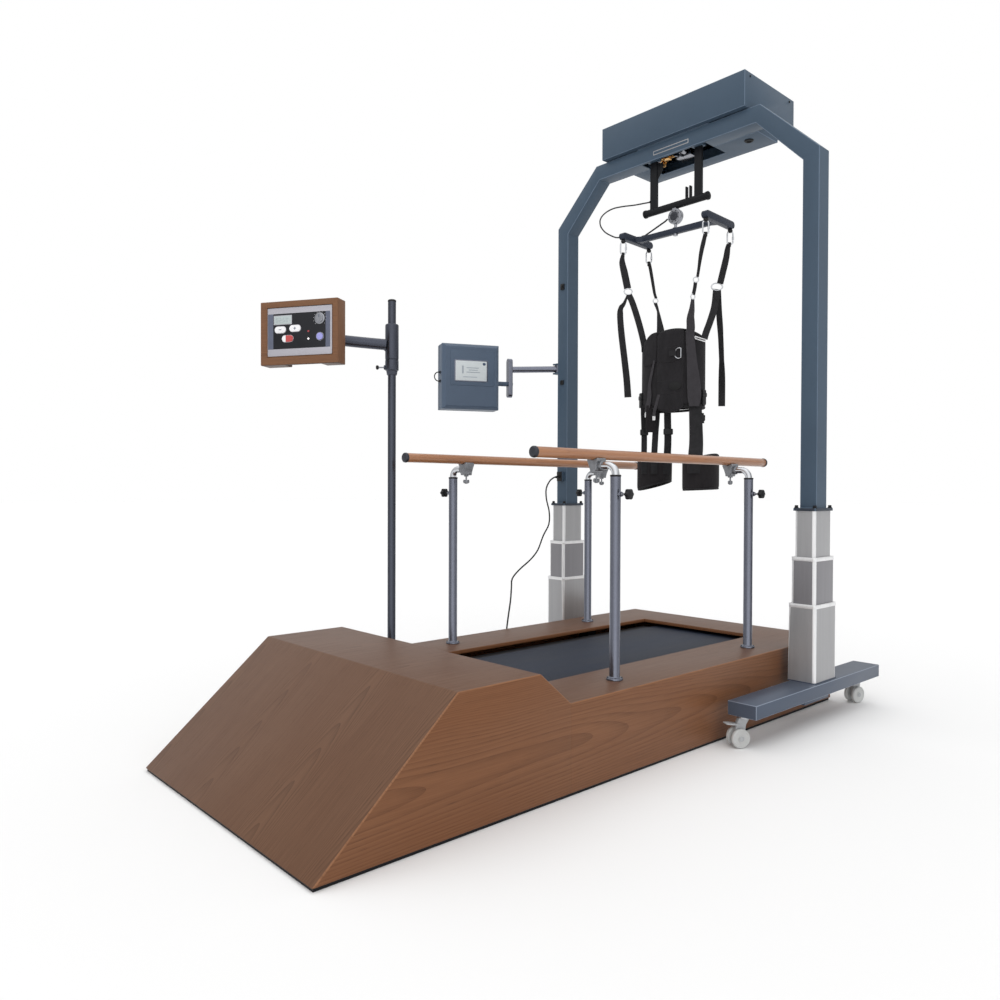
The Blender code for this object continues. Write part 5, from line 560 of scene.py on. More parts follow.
def openEnds(obj, way):
    # takes away the two faces of a block that look along a direction
    only(obj)
    bpy.ops.object.mode_set(mode="EDIT")
    bpy.ops.mesh.select_mode(type="FACE")
    mesh = bmesh.from_edit_mesh(obj.data)
    for face in mesh.faces:
        face.select_set(abs(face.normal.dot(way)) > 0.9)
    bmesh.update_edit_mesh(obj.data)
    bpy.ops.mesh.delete(type="FACE")
    bpy.ops.object.mode_set(mode="OBJECT")
    return obj


def arc(centre, radius, first, last, steps):
    turns = [math.radians(first + (last - first) * i / steps) for i in range(steps + 1)]
    return [(centre[0] + radius * math.cos(turn), centre[1] + radius * math.sin(turn)) for turn in turns]


def roundedBox(width, height, radius, steps=5, centre=(0, 0)):
    x, y = width / 2 - radius, height / 2 - radius
    corners = ((x, y, 0), (-x, y, 90), (-x, -y, 180), (x, -y, 270))
    return [point for cx, cy, first in corners
            for point in arc((centre[0] + cx, centre[1] + cy), radius, first, first + 90, steps)]


def layCurve(points, radius, sides=12, closed=False):
    rest()
    bpy.ops.curve.primitive_nurbs_path_add()
    obj = bpy.context.object
    obj.data.splines.clear()
    line = obj.data.splines.new("POLY")
    line.points.add(len(points) - 1)
    for spot, point in zip(line.points, points):
        spot.co = (*point, 1.0)
    line.use_cyclic_u = closed
    line.use_smooth = True
    obj.data.dimensions = "3D"
    obj.data.bevel_depth = radius
    obj.data.bevel_resolution = (sides - 4) // 2
    obj.data.use_fill_caps = not closed
    return obj


def tube(points, radius, sides=12, closed=False):
    obj = layCurve(points, radius, sides, closed)
    only(obj)
    bpy.ops.object.convert(target="MESH")
    return faceOut(bpy.context.object, 0.00002)


def smoothPath(points, step):
    points = [Vector(point) for point in points]
    ends = [2 * points[0] - points[1], *points, 2 * points[-1] - points[-2]]
    found = [points[0]]
    for b, s, e, a in zip(ends, ends[1:], ends[2:], ends[3:]):
        count = max(1, round((e - s).length / step))
        for i in range(1, count + 1):
            t = i / count
            found.append(0.5 * (2 * s + (e - b) * t + (2 * b - 5 * s + 4 * e - a) * t ** 2
                                + (3 * s - b - 3 * e + a) * t ** 3))
    return found


def pathLength(points):
    return sum((second - first).length for first, second in zip(points, points[1:]))


def between(values, share):
    # a value between the entries of a list
    if len(values) == 1:
        return values[0].copy() if isinstance(values[0], Vector) else values[0]
    place = share * (len(values) - 1)
    i = min(int(place), len(values) - 2)
    return values[i] * (1 - place + i) + values[i + 1] * (place - i)


def strap(points, widths, sides, thickness=0.003, columns=4):
    # webbing: a grid laid along a path, its width and direction changing along it, then given its thickness
    rest()
    points = [Vector(point) for point in points]
    widths = [float(width) for width in widths]
    sides = [Vector(side).normalized() for side in sides]
    rows = len(points) - 1
    bpy.ops.mesh.primitive_grid_add(x_subdivisions=columns, y_subdivisions=rows, size=1)
    obj = bpy.context.object
    spots = [(vertex.co.x + 0.5, vertex.co.y + 0.5) for vertex in obj.data.vertices]
    length = pathLength(points)
    layer = obj.data.uv_layers.active.data
    for loop in obj.data.loops:
        u, v = spots[loop.vertex_index]
        layer[loop.index].uv = ((u - 0.5) * between(widths, v), v * length)
    for vertex, (u, v) in zip(obj.data.vertices, spots):
        ahead = (between(points, min(1.0, v + 0.5 / rows)) - between(points, max(0.0, v - 0.5 / rows))).normalized()
        side = between(sides, v)
        side = (side - ahead * side.dot(ahead)).normalized()
        vertex.co = between(points, v) + side * (u - 0.5) * between(widths, v)
    change(obj, "SOLIDIFY", thickness=thickness, offset=0.0)
    return faceOut(obj)


def refined(node, width, faces=(), segments=2, least=0.03, test=None, edgeSlot=-1, merge=0.00005):
    # the frame's own shape, merged into clean faces, with its longer edges rounded
    rest()
    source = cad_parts[node]
    obj = bpy.data.objects.new(node + "Copy", source.data.copy())
    bpy.context.scene.collection.objects.link(obj)
    obj.data.materials.clear()
    for look in faces:
        obj.data.materials.append(looks[look])
    only(obj)
    bpy.ops.mesh.customdata_custom_splitnormals_clear()
    bpy.ops.object.mode_set(mode="EDIT")
    bpy.ops.mesh.select_mode(type="EDGE")
    bpy.ops.mesh.select_all(action="SELECT")
    bpy.ops.mesh.remove_doubles(threshold=merge)
    bpy.ops.mesh.dissolve_limited(angle_limit=math.radians(1))
    bpy.ops.mesh.normals_make_consistent(inside=False)
    bpy.ops.mesh.select_all(action="DESELECT")
    if width:
        mesh = bmesh.from_edit_mesh(obj.data)
        for edge in mesh.edges:
            middle = (edge.verts[0].co + edge.verts[1].co) / 2
            edge.select_set(len(edge.link_faces) == 2 and edge.calc_face_angle(0) > 0.5
                            and edge.calc_length() > least and (test is None or test(middle)))
        bmesh.update_edit_mesh(obj.data)
        bpy.ops.mesh.bevel(offset=width, segments=segments, affect="EDGES", material=edgeSlot)
    bpy.ops.object.mode_set(mode="OBJECT")
    return obj


def paintFaces(obj, choose):
    # a slot for each face, from its middle and its direction; None leaves it
    for face in obj.data.polygons:
        chosen = choose(face.center, face.normal, face.material_index)
        if chosen is not None:
            face.material_index = chosen


def screw(radius, height):
    # a button head with its driver recess
    return turned([(radius, 0), (radius, height * 0.35), (radius * 0.86, height * 0.8), (radius * 0.6, height),
                   (radius * 0.42, height), (radius * 0.40, height * 0.45)], 18)


def hexBolt(radius, height):
    washer = turned([(radius * 1.35, 0), (radius * 1.35, height * 0.2), (radius * 1.2, height * 0.26)], 20)
    head = turned([(radius, height * 0.2), (radius, height * 0.85), (radius * 0.88, height)], 6)
    return joined([head, washer])


# Cords

mainsCord = {
    "start": ((-0.7533, 0.9123, 1.055), (-0.7533, 0.9003, 1.055)),
    "run": ((-0.754, 0.888, 1.054), (-0.754, 0.845, 1.036), (-0.754, 0.811, 0.990), (-0.754, 0.812, 0.931),
            (-0.754, 0.834, 0.862), (-0.754, 0.832, 0.794), (-0.754, 0.789, 0.733), (-0.754, 0.747, 0.657),
            (-0.754, 0.692, 0.608), (-0.754, 0.611, 0.560), (-0.745, 0.550, 0.517), (-0.715, 0.516, 0.476),
            (-0.675, 0.472, 0.417), (-0.648, 0.428, 0.324), (-0.645, 0.405, 0.200), (-0.648, 0.385, 0.095),
            (-0.652, 0.362, 0.030), (-0.656, 0.325, 0.0062), (-0.660, 0.300, 0.0044)),
    "end": ((-0.66205, 0.2403, 0.0043),),
    "diameter": 0.008, "turns": 6, "centre": (-0.7220, 0.1800), "outer": 0.05995, "pitch": 0.0093, "lead": 0.040,
}
sensorCord = {
    "points": ((-0.1903, 0.978, 2.434), (-0.2003, 0.978, 2.434), (-0.235, 0.976, 2.437), (-0.290, 0.970, 2.441),
               (-0.350, 0.958, 2.447), (-0.404, 0.940, 2.445), (-0.440, 0.918, 2.425), (-0.452, 0.896, 2.392),
               (-0.437, 0.880, 2.350), (-0.400, 0.871, 2.308), (-0.355, 0.866, 2.278), (-0.320, 0.862, 2.260)),
    "diameter": 0.007,
}
gantryX, gantryY = -0.040, 0.978
spreader = {"turn": math.radians(2.6), "height": 2.252, "halfLength": 0.2328, "halfWidth": 0.1287}


def onSpreader(across, along, height):
    turn = Matrix.Rotation(spreader["turn"], 3, "Z") @ Vector((across, along, 0))
    return Vector((gantryX + turn.x, gantryY + turn.y, height))


def mainsRoute():
    values = mainsCord
    points = smoothPath([*values["start"], *values["run"], *values["end"]], 0.020)
    rest_, layer, steps = values["diameter"] / 2 + 0.0003, values["turns"] / 2, 32
    startX, centreY = values["centre"][0] + values["outer"], values["centre"][1]
    points.append(Vector((startX, centreY + values["lead"] / 2, rest_)))
    for i in range(values["turns"] * steps + 1):
        turns = i / steps
        radius = values["outer"] - values["pitch"] * (turns if turns < layer else values["turns"] - turns)
        climb = min(1.0, max(0.0, (turns - layer + 0.26) / 0.36))
        angle = -2 * math.pi * turns
        points.append(Vector((values["centre"][0] + radius * math.cos(angle), centreY + radius * math.sin(angle),
                              rest_ + values["pitch"] * climb)))
    for back in (1, 2):
        points.append(Vector((startX, centreY - back * values["lead"], rest_ + values["pitch"])))
    return points


def makePlug(end):
    # a moulded plug: waisted grip with finger ribs, a face plate and two round pins
    half = 0.018
    outline = [(-0.006, 0), (-0.0085, -0.008), (-0.0125, -0.018), (-half, -0.028), (-half, -0.0575),
               (half, -0.0575), (half, -0.028), (0.0125, -0.018), (0.0085, -0.008), (0.006, 0)]
    body = cutOut(outline, -0.0128, 0.0128, 0.004, 4)
    ribs = [block((-half - 0.0004, -0.036 - i * 0.006, -0.009), (half + 0.0004, -0.0335 - i * 0.006, 0.009), 0.0008)
            for i in range(3)]
    body = settle(joined([body, *ribs]), Matrix.Translation(end))
    finished(body, "mainsPlug", "gantry_base", "rubberBlack", "mains_plug")
    pins = [turned([(0.0024, 0), (0.0024, 0.020), (0.0017, 0.0225), (0.0008, 0.0230)], 16,
                   end + Vector((sign * 0.0095, -0.0537, 0)), (0, -1, 0)) for sign in (-1, 1)]
    pins = finished(joined(pins), "mainsPlugPins", "gantry_base", "steel")
    return body, pins


def makeCords():
    points = mainsRoute()
    cord = layCurve(points, mainsCord["diameter"] / 2, 12)
    cord.name = cord.data.name = "mainsCord"
    cord.data.materials.append(looks["cableBlack"])
    plug, pins = makePlug(points[-1] - Vector((0, 0.0003, 0)))
    reliefPath = [Vector(mainsCord["start"][0]) + Vector((0, -y, 0)) for y in (0, 0.006, 0.012)]
    reliefPath += [point for point in points[2:] if (point - points[0]).length < 0.036]
    parts = [turned([(0.0085, 0), (0.0085, 0.004), (0.0072, 0.0055)], 24, reliefPath[0], (0, -1, 0))]
    reach = 0.004
    for i in range(6):
        radius = 0.0068 - 0.0003 * i
        at = Vector(mainsCord["start"][0]) + Vector((0, -reach, -0.0002 * i * i))
        parts.append(turned([(radius * 0.8, 0), (radius, 0.0008), (radius, 0.0028), (radius * 0.8, 0.0036)], 20, at,
                            (0, -1, -0.06 * i)))
        reach += 0.0042
    relief = finished(joined(parts), "cordRelief", "lift_frame", "rubberBlack")
    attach(cord, "gantry_base")
    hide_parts("mains_cord", "cord_coil")
    tuple(points[0])
    pathLength(points)
    reach = spreader["halfLength"] + 0.015 + 0.0003
    ends = [onSpreader(-reach - 0.010, -0.1117, spreader["height"]), onSpreader(-reach, -0.1117, spreader["height"])]
    route = smoothPath([*sensorCord["points"], *ends], 0.014)
    cable = layCurve(route, sensorCord["diameter"] / 2, 12)
    cable.name = cable.data.name = "sensorCable"
    cable.data.materials.append(looks["cableBlack"])
    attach(cable, "yoke")
    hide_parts("sensor_cable")
    tuple(route[0])
    pathLength(route)
    print("cords", round(pathLength(points), 3), round(pathLength(route), 3), relief.name)


makeCords()

# Treadmill

deck = {"rear": 1.361, "hoodRear": -0.437, "round": 0.0035}


def makeTreadmill():
    def awayFromSeam(point):
        return abs(point.y - deck["hoodRear"]) > 0.01

    for node, name in (("front_hood", "hoodCover"), ("deck_surround", "deckCover")):
        cover = refined(node, deck["round"], ("topVeneer", "sideVeneer", "sideArrisHighlight"), 3, 0.05, awayFromSeam, 2)

        def choose(middle, normal, slot):
            # the bevelled side arrises keep the paler veneer as a painted highlight
            if slot == 2 and abs(normal.x) > 0.12 and middle.z > 0.02 and abs(middle.x) > 0.5:
                return 2
            return 1 if abs(normal.x) > 0.7 or abs(normal.y) > 0.9 else 0

        paintFaces(cover, choose)
        finished(cover, name, "treadmill", None, node)
    belt = refined("running_belt", 0)
    finished(belt, "beltLoop", "treadmill", "beltRubber", "running_belt")
    for node, look in (("base_frame", "blackSteel"), ("running_deck", "blackPlastic"), ("drive_motor", "darkCasting"),
                       ("front_roller", "steel"), ("rear_roller", "steel")):
        dress(node, look)
    # adjusting screws of the rear roller, in the end of the cover
    bolts = copies(screw(0.009, 0.005), [pointing((x, deck["rear"], 0.155), (0, 1, 0)) for x in (-0.26, 0.26)])
    finished(bolts, "beltAdjusters", "treadmill", "blackSteel")
    print("treadmill")


def dress(node, look):
    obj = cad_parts[node]
    obj.data.materials.clear()
    obj.data.materials.append(looks[look])


makeTreadmill()

# Posts, arms, rails and their knobs

rails = {"x": 0.370, "height": 1.110, "radius": 0.019, "front": -0.413, "rear": 1.107}
posts = {"x": 0.460, "y": (-0.081, 0.819), "radius": 0.019, "bottom": 0.3003, "knob": 0.966}


def onPost(side, y, height=0.0):
    # a frame at a post whose X axis points outboard
    flip = Matrix.Scale(side, 4, (1, 0, 0))
    return Matrix.Translation((side * posts["x"], y, height)) @ flip


def makePost(name, side, y):
    low, r = posts["bottom"], posts["radius"]
    rings = [(0.030, low), (0.030, low + 0.006), (0.0285, low + 0.008), (0.0222, low + 0.0083), (0.0202, low + 0.0100),
             (r, low + 0.0135), (r, 1.0285), (r - 0.0012, 1.030), (0.0150, 1.030), (0.0146, 1.029), (0.0146, 0.99)]
    body = turned(rings, 40)
    boss = turned([(0.0105, 0.0165), (0.0105, 0.0225), (0.009, 0.024), (0.009, 0.0285), (0.0082, 0.029)], 24,
                  (0, 0, posts["knob"]), acrossX)
    bodyPiece = settle(joined([body, boss]), onPost(side, y))
    finished(bodyPiece, name + "Tube", "treadmill", "darkPaint", name + "_post")
    places = [Matrix.Translation((0.0252 * math.cos(turn), 0.0252 * math.sin(turn), low + 0.0078))
              for turn in (math.radians(45 + 90 * i) for i in range(4))]
    screws = settle(copies(screw(0.0034, 0.0022), places), onPost(side, y))
    finished(screws, name + "Screws", "treadmill", "blackSteel")
    collar = turned([(0.0148, 1.0292), (0.0200, 1.0292), (0.0202, 1.0302), (0.0200, 1.0345), (0.0185, 1.0356),
                     (0.0147, 1.0356)], 40)
    collar = settle(collar, onPost(side, y))
    finished(collar, name + "Collar", "treadmill", "blackPlastic")


def lobed(obj, first, lobes, depth, axis):
    # pushes the outer ring of a turned head in and out
    for vertex in obj.data.vertices:
        away = vertex.co - axis
        radius = math.hypot(away.y, away.z)
        if radius > first:
            turn = math.atan2(away.z, away.y)
            grow = 1 + depth * math.cos(lobes * turn) * min(1.0, (radius - first) / (0.25 * first))
            vertex.co = axis + Vector((away.x, away.y * grow, away.z * grow))


def makeKnob(name, side, y):
    rings = [(0.0075, 0.046), (0.0085, 0.0505), (0.0140, 0.0520), (0.0172, 0.0535), (0.0186, 0.0565),
             (0.0188, 0.0640), (0.0180, 0.0675), (0.0155, 0.0700), (0.0110, 0.0716), (0.0060, 0.0720)]
    head = turned(rings, 72, (0, 0, posts["knob"]), acrossX)
    lobed(head, 0.0130, 6, 0.10, Vector((0, 0, posts["knob"])))
    stem = turned([(0.0038, 0.0150), (0.0038, 0.0470)], 16, (0, 0, posts["knob"]), acrossX)
    collar = turned([(0.0062, 0.0292), (0.0066, 0.0300), (0.0066, 0.0330), (0.0060, 0.0338)], 24,
                    (0, 0, posts["knob"]), acrossX)
    head = settle(head, onPost(side, y))
    finished(head, name + "Head", name + "_knob", "blackPlastic", name + "_knob")
    stem = settle(joined([stem, collar]), onPost(side, y))
    finished(stem, name + "Stem", name + "_knob", "steel")


def makeArm(name, rail, side, y):
    # chrome elbow out of the post, a cast saddle under the rail, and the wing screw that clamps it
    bend, top, r = 0.034, 1.069, 0.0141
    path = [Vector((0, 0, 0.785)), Vector((0, 0, 0.90)), Vector((0, 0, 1.0))]
    path += [Vector((px, 0, pz)) for px, pz in arc((-bend, top - bend), bend, 0, 90, 14)]
    path += [Vector((-0.060, 0, top)), Vector((-0.078, 0, top))]
    elbow = settle(tube(path, r, 28), onPost(side, y))
    finished(elbow, name + "Elbow", rail, "chrome", name + "_arm")
    out = rails["x"] - posts["x"]
    # the saddle, drawn across the rail in its own X (outboard) and Y (up), then stood up along Y
    outline = [(0.026, 1.086), (0.0262, 1.094), (0.0225, 1.0975)]
    outline += arc((0, rails["height"]), rails["radius"] + 0.0006, -38, -142, 12)
    outline += [(-0.0225, 1.0975), (-0.0262, 1.094), (-0.026, 1.086), (-0.017, 1.068), (-0.0115, 1.052),
                (-0.0105, 1.043), (0.0105, 1.043), (0.0115, 1.050), (0.0185, 1.0545), (0.0195, 1.0800)]
    shift = Matrix.Translation((out, 0, 0))
    saddle = cutOut(outline, -0.0235, 0.0235, 0.0022, 3, shift @ faceOn)
    hub = turned([(0.0155, 0), (0.0178, 0.002), (0.0178, 0.017), (0.0160, 0.0185)], 28, (out + 0.0135, 0, top),
                 acrossX)
    nut = turned([(0.0095, 1.0375), (0.0105, 1.0385), (0.0105, 1.0425), (0.0090, 1.0435)], 6, (out, 0, 0))
    saddle = settle(joined([saddle, hub, nut]), onPost(side, y))
    finished(saddle, name + "Saddle", rail, "casting")
    shank = turned([(0.0036, 1.008), (0.0036, 1.040)], 14, (out, 0, 0))
    core = turned([(0.0052, 1.006), (0.0068, 1.009), (0.0068, 1.019), (0.0050, 1.0225)], 20, (out, 0, 0))
    wingShape = [(0.004, 1.0105), (0.0105, 1.0075), (0.0150, 1.0095), (0.0172, 1.0150), (0.0160, 1.0215),
                 (0.0115, 1.0245), (0.0060, 1.0205), (0.004, 1.0185)]
    wings = [cutOut([(sign * px, pz) for px, pz in wingShape], -0.0022, 0.0022, 0.0012, 2, shift @ sideOn)
             for sign in (1, -1)]
    wingScrew = settle(joined([core, shank, *wings]), onPost(side, y))
    finished(wingScrew, name + "WingScrew", rail, "casting")


def makeRail(name, body, x):
    start, end, r = rails["front"], rails["rear"], rails["radius"]
    steps = 24
    rings = [(r - 0.0006, start + 0.0115)]
    rings += [(r, start + 0.0125 + (end - start - 0.025) * i / steps) for i in range(steps + 1)]
    rings.append((r - 0.0006, end - 0.0115))
    rod = turned([(radius, at - start) for radius, at in rings], 40, (x, start, rails["height"]), acrossY)
    finished(rod, name + "Rod", body, "railWood", name + "_rail")
    caps = []
    for base, way in ((start, 1), (end, -1)):
        caps.append(turned([(0.0120, 0), (0.0165, 0.0012), (0.0196, 0.0040), (0.0204, 0.0075), (0.0204, 0.0128),
                            (0.0198, 0.0140)], 36, (x, base, rails["height"]), (0, way, 0)))
    finished(joined(caps), name + "RailCaps", body, "darkCasting")


def makeRails():
    for sideName, side in (("near", 1), ("far", -1)):
        rail = sideName + "_hand_rail"
        for end, y in zip(("front", "rear"), posts["y"]):
            name = f"{sideName}_{end}"
            makePost(name, side, y)
            makeKnob(name, side, y)
            makeArm(name, rail, side, y)
        makeRail(sideName, rail, side * rails["x"])
    print("posts and rails")


makeRails()

# Mast and console

mast = {"x": -0.529, "y": -0.361, "radius": 0.017, "sleeve": 0.0285, "sleeveLow": 1.531,
        "sleeveHigh": 1.680, "clampLow": 1.4647, "clampHigh": 1.5307, "knobTurn": 227, "armHeight": 1.591,
        "armRise": 0.021, "arm": 0.0235}
console = {"depth": 0.066}
consoleFrame = Matrix.Translation(consoleCentre) @ Matrix.Rotation(consoleTurn, 4, "Z")


def makeMast():
    at = (mast["x"], mast["y"], 0)
    r, low = mast["radius"], 0.3003
    pole = turned([(0.044, low), (0.044, low + 0.006), (0.0425, low + 0.008), (0.0205, low + 0.0083),
                   (0.0182, low + 0.0105), (r, low + 0.014), (r, 1.779), (r, 1.7815)], 40, at)
    finished(pole, "mastPole", "treadmill", "mastPaint", "mast_pole")
    cap = turned([(r - 0.0015, 1.7745), (r + 0.0008, 1.7752), (r + 0.0008, 1.7805), (r - 0.0022, 1.7838),
                  (r - 0.006, 1.785)], 36, at)
    finished(cap, "mastCap", "treadmill", "blackPlastic")
    screws = copies(screw(0.0048, 0.003), [Matrix.Translation((at[0] + 0.0325 * math.cos(turn),
                    at[1] + 0.0325 * math.sin(turn), low + 0.0077)) for turn in (math.radians(45 + 90 * i)
                    for i in range(4))])
    finished(screws, "mastScrews", "treadmill", "blackSteel")
    s, a, b = mast["sleeve"], mast["sleeveLow"], mast["sleeveHigh"]
    sleeve = turned([(r + 0.0006, a + 0.001), (s - 0.003, a), (s - 0.0006, a + 0.0012), (s, a + 0.004), (s, b - 0.006),
                     (s - 0.0015, b - 0.002), (s - 0.0045, b), (r + 0.0006, b - 0.0005)], 44, at)
    joinHeight = mast["armHeight"] + mast["armRise"] - consoleCentre[2]
    back = consoleFrame @ Vector((0, console["depth"] + 0.0003, joinHeight))
    inward = (consoleFrame.to_3x3() @ acrossY).normalized()
    axis = Vector((at[0], at[1], mast["armHeight"]))
    start = axis + (back - axis).normalized() * 0.02275
    reach = (back - start).length
    joint, knee = back + inward * mast["arm"], back + inward * reach * 0.35
    path = [(1 - t) ** 2 * start + 2 * t * (1 - t) * knee + t ** 2 * joint for t in (i / 24 for i in range(25))]
    arm = tube([*path, back], mast["arm"] - 0.0002, 32)
    weld = turned([(0.0272, 0), (0.0268, 0.003), (0.0242, 0.0065)], 36, axis + (knee - start).normalized() * 0.0250,
                  knee - start)
    flange = turned([(0.034, 0.0), (0.034, 0.005), (0.0325, 0.0065)], 40, back, inward)
    finished(joined([sleeve, arm, weld]), "consoleSleeve", "console", "mastPaint", "mast_collar")
    finished(flange, "consoleArmFlange", "console", "blackPlastic")
    low, high = mast["clampLow"], mast["clampHigh"]
    clamp = turned([(r + 0.0006, low), (r + 0.0035, low), (r + 0.0045, low + 0.004), (s - 0.0045, low + 0.018),
                    (s - 0.0006, low + 0.020), (s, low + 0.023), (s, high - 0.0052), (s - 0.0009, high - 0.0046),
                    (s - 0.0009, high - 0.0030), (s - 0.0002, high - 0.0025), (s - 0.001, high), (r + 0.0006, high)],
                   44, at)
    out = Vector((math.cos(math.radians(mast["knobTurn"])), math.sin(math.radians(mast["knobTurn"])), 0))
    middle = Vector((at[0], at[1], (low + high) / 2))
    boss = turned([(0.0098, 0.024), (0.0098, 0.0330), (0.0082, 0.0340)], 24, middle, out)
    finished(joined([clamp, boss]), "mastClamp", "mast_clamp", "mastPaint", "mast_clamp")
    stem = turned([(0.0032, 0.030), (0.0032, 0.054), (0.0048, 0.0545), (0.0048, 0.0565)], 18, middle, out)
    finished(stem, "mastKnobStem", "mast_clamp", "steel")
    ball = turned([(0.0050, 0.0555), (0.0082, 0.0575), (0.0096, 0.0610), (0.0092, 0.0648), (0.0065, 0.0674),
                   (0.0030, 0.0680)], 30, middle, out)
    finished(ball, "mastKnobBall", "mast_clamp", "blackPlastic")


keyPlaces = {"left_key": (-0.0823, 0.0129), "right_key": (-0.0156, 0.0158), "start_key": (-0.0494, -0.0237)}
dialPlace, stopPlace = (0.0946, 0.0498), (0.0956, -0.0215)
lampPlaces = {"redLamp": ("runLamp", 0.0446, 0.0012), "whiteLamp": ("readyLamp", 0.0446, -0.0284)}


def onFace(obj):
    return settle(obj, consoleFrame @ faceOn)


def facePlate(outline, front, back, width=0.0004):
    # a flat piece of the console's face, between two depths
    return onFace(cutOut(outline, front, back, width, 2))


def boxOutline(left, right, low, high, radius):
    return roundedBox(right - left, high - low, radius, 5, ((left + right) / 2, (low + high) / 2))


def makeConsole():
    local = consoleFrame.to_3x3().transposed()
    case = refined("console_case", 0.003, ("consoleRail", "consoleStile", "consolePaintedShade"), 3, 0.05)

    def choose(middle, normal, slot):
        # the underside and the notch get the darker veneer as painted shade, the sides have upright grain
        way, place = local @ normal, local @ (middle - Vector(consoleCentre))
        inNotch = middle.z < 1.4925 and way.y > -0.5 and abs(place.x) < 0.12
        if way.z < -0.6 or inNotch:
            return 2
        return 1 if abs(way.x) > 0.6 else 0

    paintFaces(case, choose)
    finished(case, "consoleCase", "console", None, "console_case", 30)
    fascia = facePlate(boxOutline(-0.1417, 0.1482, -0.0924, 0.1012, 0.004), 0.0008, 0.0020)
    finished(fascia, "consoleFascia", "console", "fascia")
    bands = joined([facePlate(boxOutline(-0.1397, -0.1145, -0.064, 0.0775, 0.002), 0.0003, 0.0010),
                    facePlate(boxOutline(0.1195, 0.1400, -0.064, 0.0775, 0.002), 0.0003, 0.0010)])
    finished(bands, "consoleBands", "console", "bandPrint")
    panel = facePlate(boxOutline(-0.1150, 0.1200, -0.0640, 0.0775, 0.002), 0.0000, 0.0011)
    finished(panel, "consolePanel", "console", "panelPrint")
    bezel = facePlate(boxOutline(-0.1125, -0.0297, 0.0330, 0.0705, 0.0025), -0.0010, 0.0008)
    finished(bezel, "lcdBezel", "console", "fascia")
    glass = facePlate(boxOutline(-0.1100, -0.0322, 0.0355, 0.0680, 0.0015), -0.0014, 0.0004)
    finished(glass, "lcdGlass", "console", "lcdGlass")
    makeDigits()
    for node, (x, z) in keyPlaces.items():
        well = facePlate(roundedBox(0.0530, 0.0290, 0.0144, 8, (x, z)), -0.0004, 0.0006, 0.0003)
        finished(well, node.split("_")[0] + "KeyRim", "console", "fascia")
        cap = cutOut(roundedBox(0.0500, 0.0260, 0.0129, 10, (x, z)), -0.0030, 0.0080, 0.0016, 3)
        if node == "start_key":
            only(cap)
            bpy.ops.object.mode_set(mode="EDIT")
            bpy.ops.mesh.select_all(action="SELECT")
            bpy.ops.mesh.bisect(plane_co=(x - 0.0075, 0, 0), plane_no=(1, 0, 0))
            bpy.ops.object.mode_set(mode="OBJECT")
            cap.data.materials.append(looks["redPlastic"])
            cap.data.materials.append(looks["whitePlastic"])
            paintFaces(cap, lambda middle, normal, slot: 1 if middle.x < x - 0.0075 else 0)
        finished(onFace(cap), node.split("_")[0] + "KeyCap", node, None if node == "start_key" else "whitePlastic",
                 node)
    # printed signs on the keys: minus, plus and a start triangle
    signs = [facePlate(boxOutline(-0.0883, -0.0763, 0.0117, 0.0141, 0.0008), -0.0034, -0.0024, 0.0001)]
    finished(joined(signs), "minusSign", "left_key", "inkDark")
    plus = [facePlate(boxOutline(-0.0216, -0.0096, 0.0146, 0.0170, 0.0008), -0.0034, -0.0024, 0.0001),
            facePlate(boxOutline(-0.0168, -0.0144, 0.0098, 0.0218, 0.0008), -0.0034, -0.0024, 0.0001)]
    finished(joined(plus), "plusSign", "right_key", "inkDark")
    makeDial()
    print("mast and console")


def makeDigits():
    # generic clock digits in the window, from one bar
    shapes = {"0": "abcdef", "1": "bc", "2": "abged", "5": "afgcd"}
    width, height, thick = 0.0072, 0.0140, 0.0012
    bars = {"a": (0, height, 1), "g": (0, height / 2, 1), "d": (0, 0, 1), "f": (-width / 2, height * 0.75, 0),
            "b": (width / 2, height * 0.75, 0), "e": (-width / 2, height * 0.25, 0), "c": (width / 2, height * 0.25, 0)}
    parts = []
    for i, digit in enumerate("0250"):
        x = -0.0965 + i * 0.0135 + (0.004 if i > 1 else 0)
        for bar in shapes[digit]:
            dx, dz, flat = bars[bar]
            long, tall = (width - 0.002, thick) if flat else (thick, height / 2 - 0.002)
            cx, cz = x + dx, 0.0448 + dz
            parts.append(facePlate([(cx - long / 2, cz - tall / 2), (cx + long / 2, cz - tall / 2),
                                    (cx + long / 2, cz + tall / 2), (cx - long / 2, cz + tall / 2)],
                                   -0.0017, -0.0012, 0))
    for z in (0.0488, 0.0548):
        parts.append(facePlate(roundedBox(0.0014, 0.0014, 0.0005, 2, (-0.0745, z)), -0.0017, -0.0012, 0))
    finished(joined(parts), "lcdDigits", "console", "inkGrey")


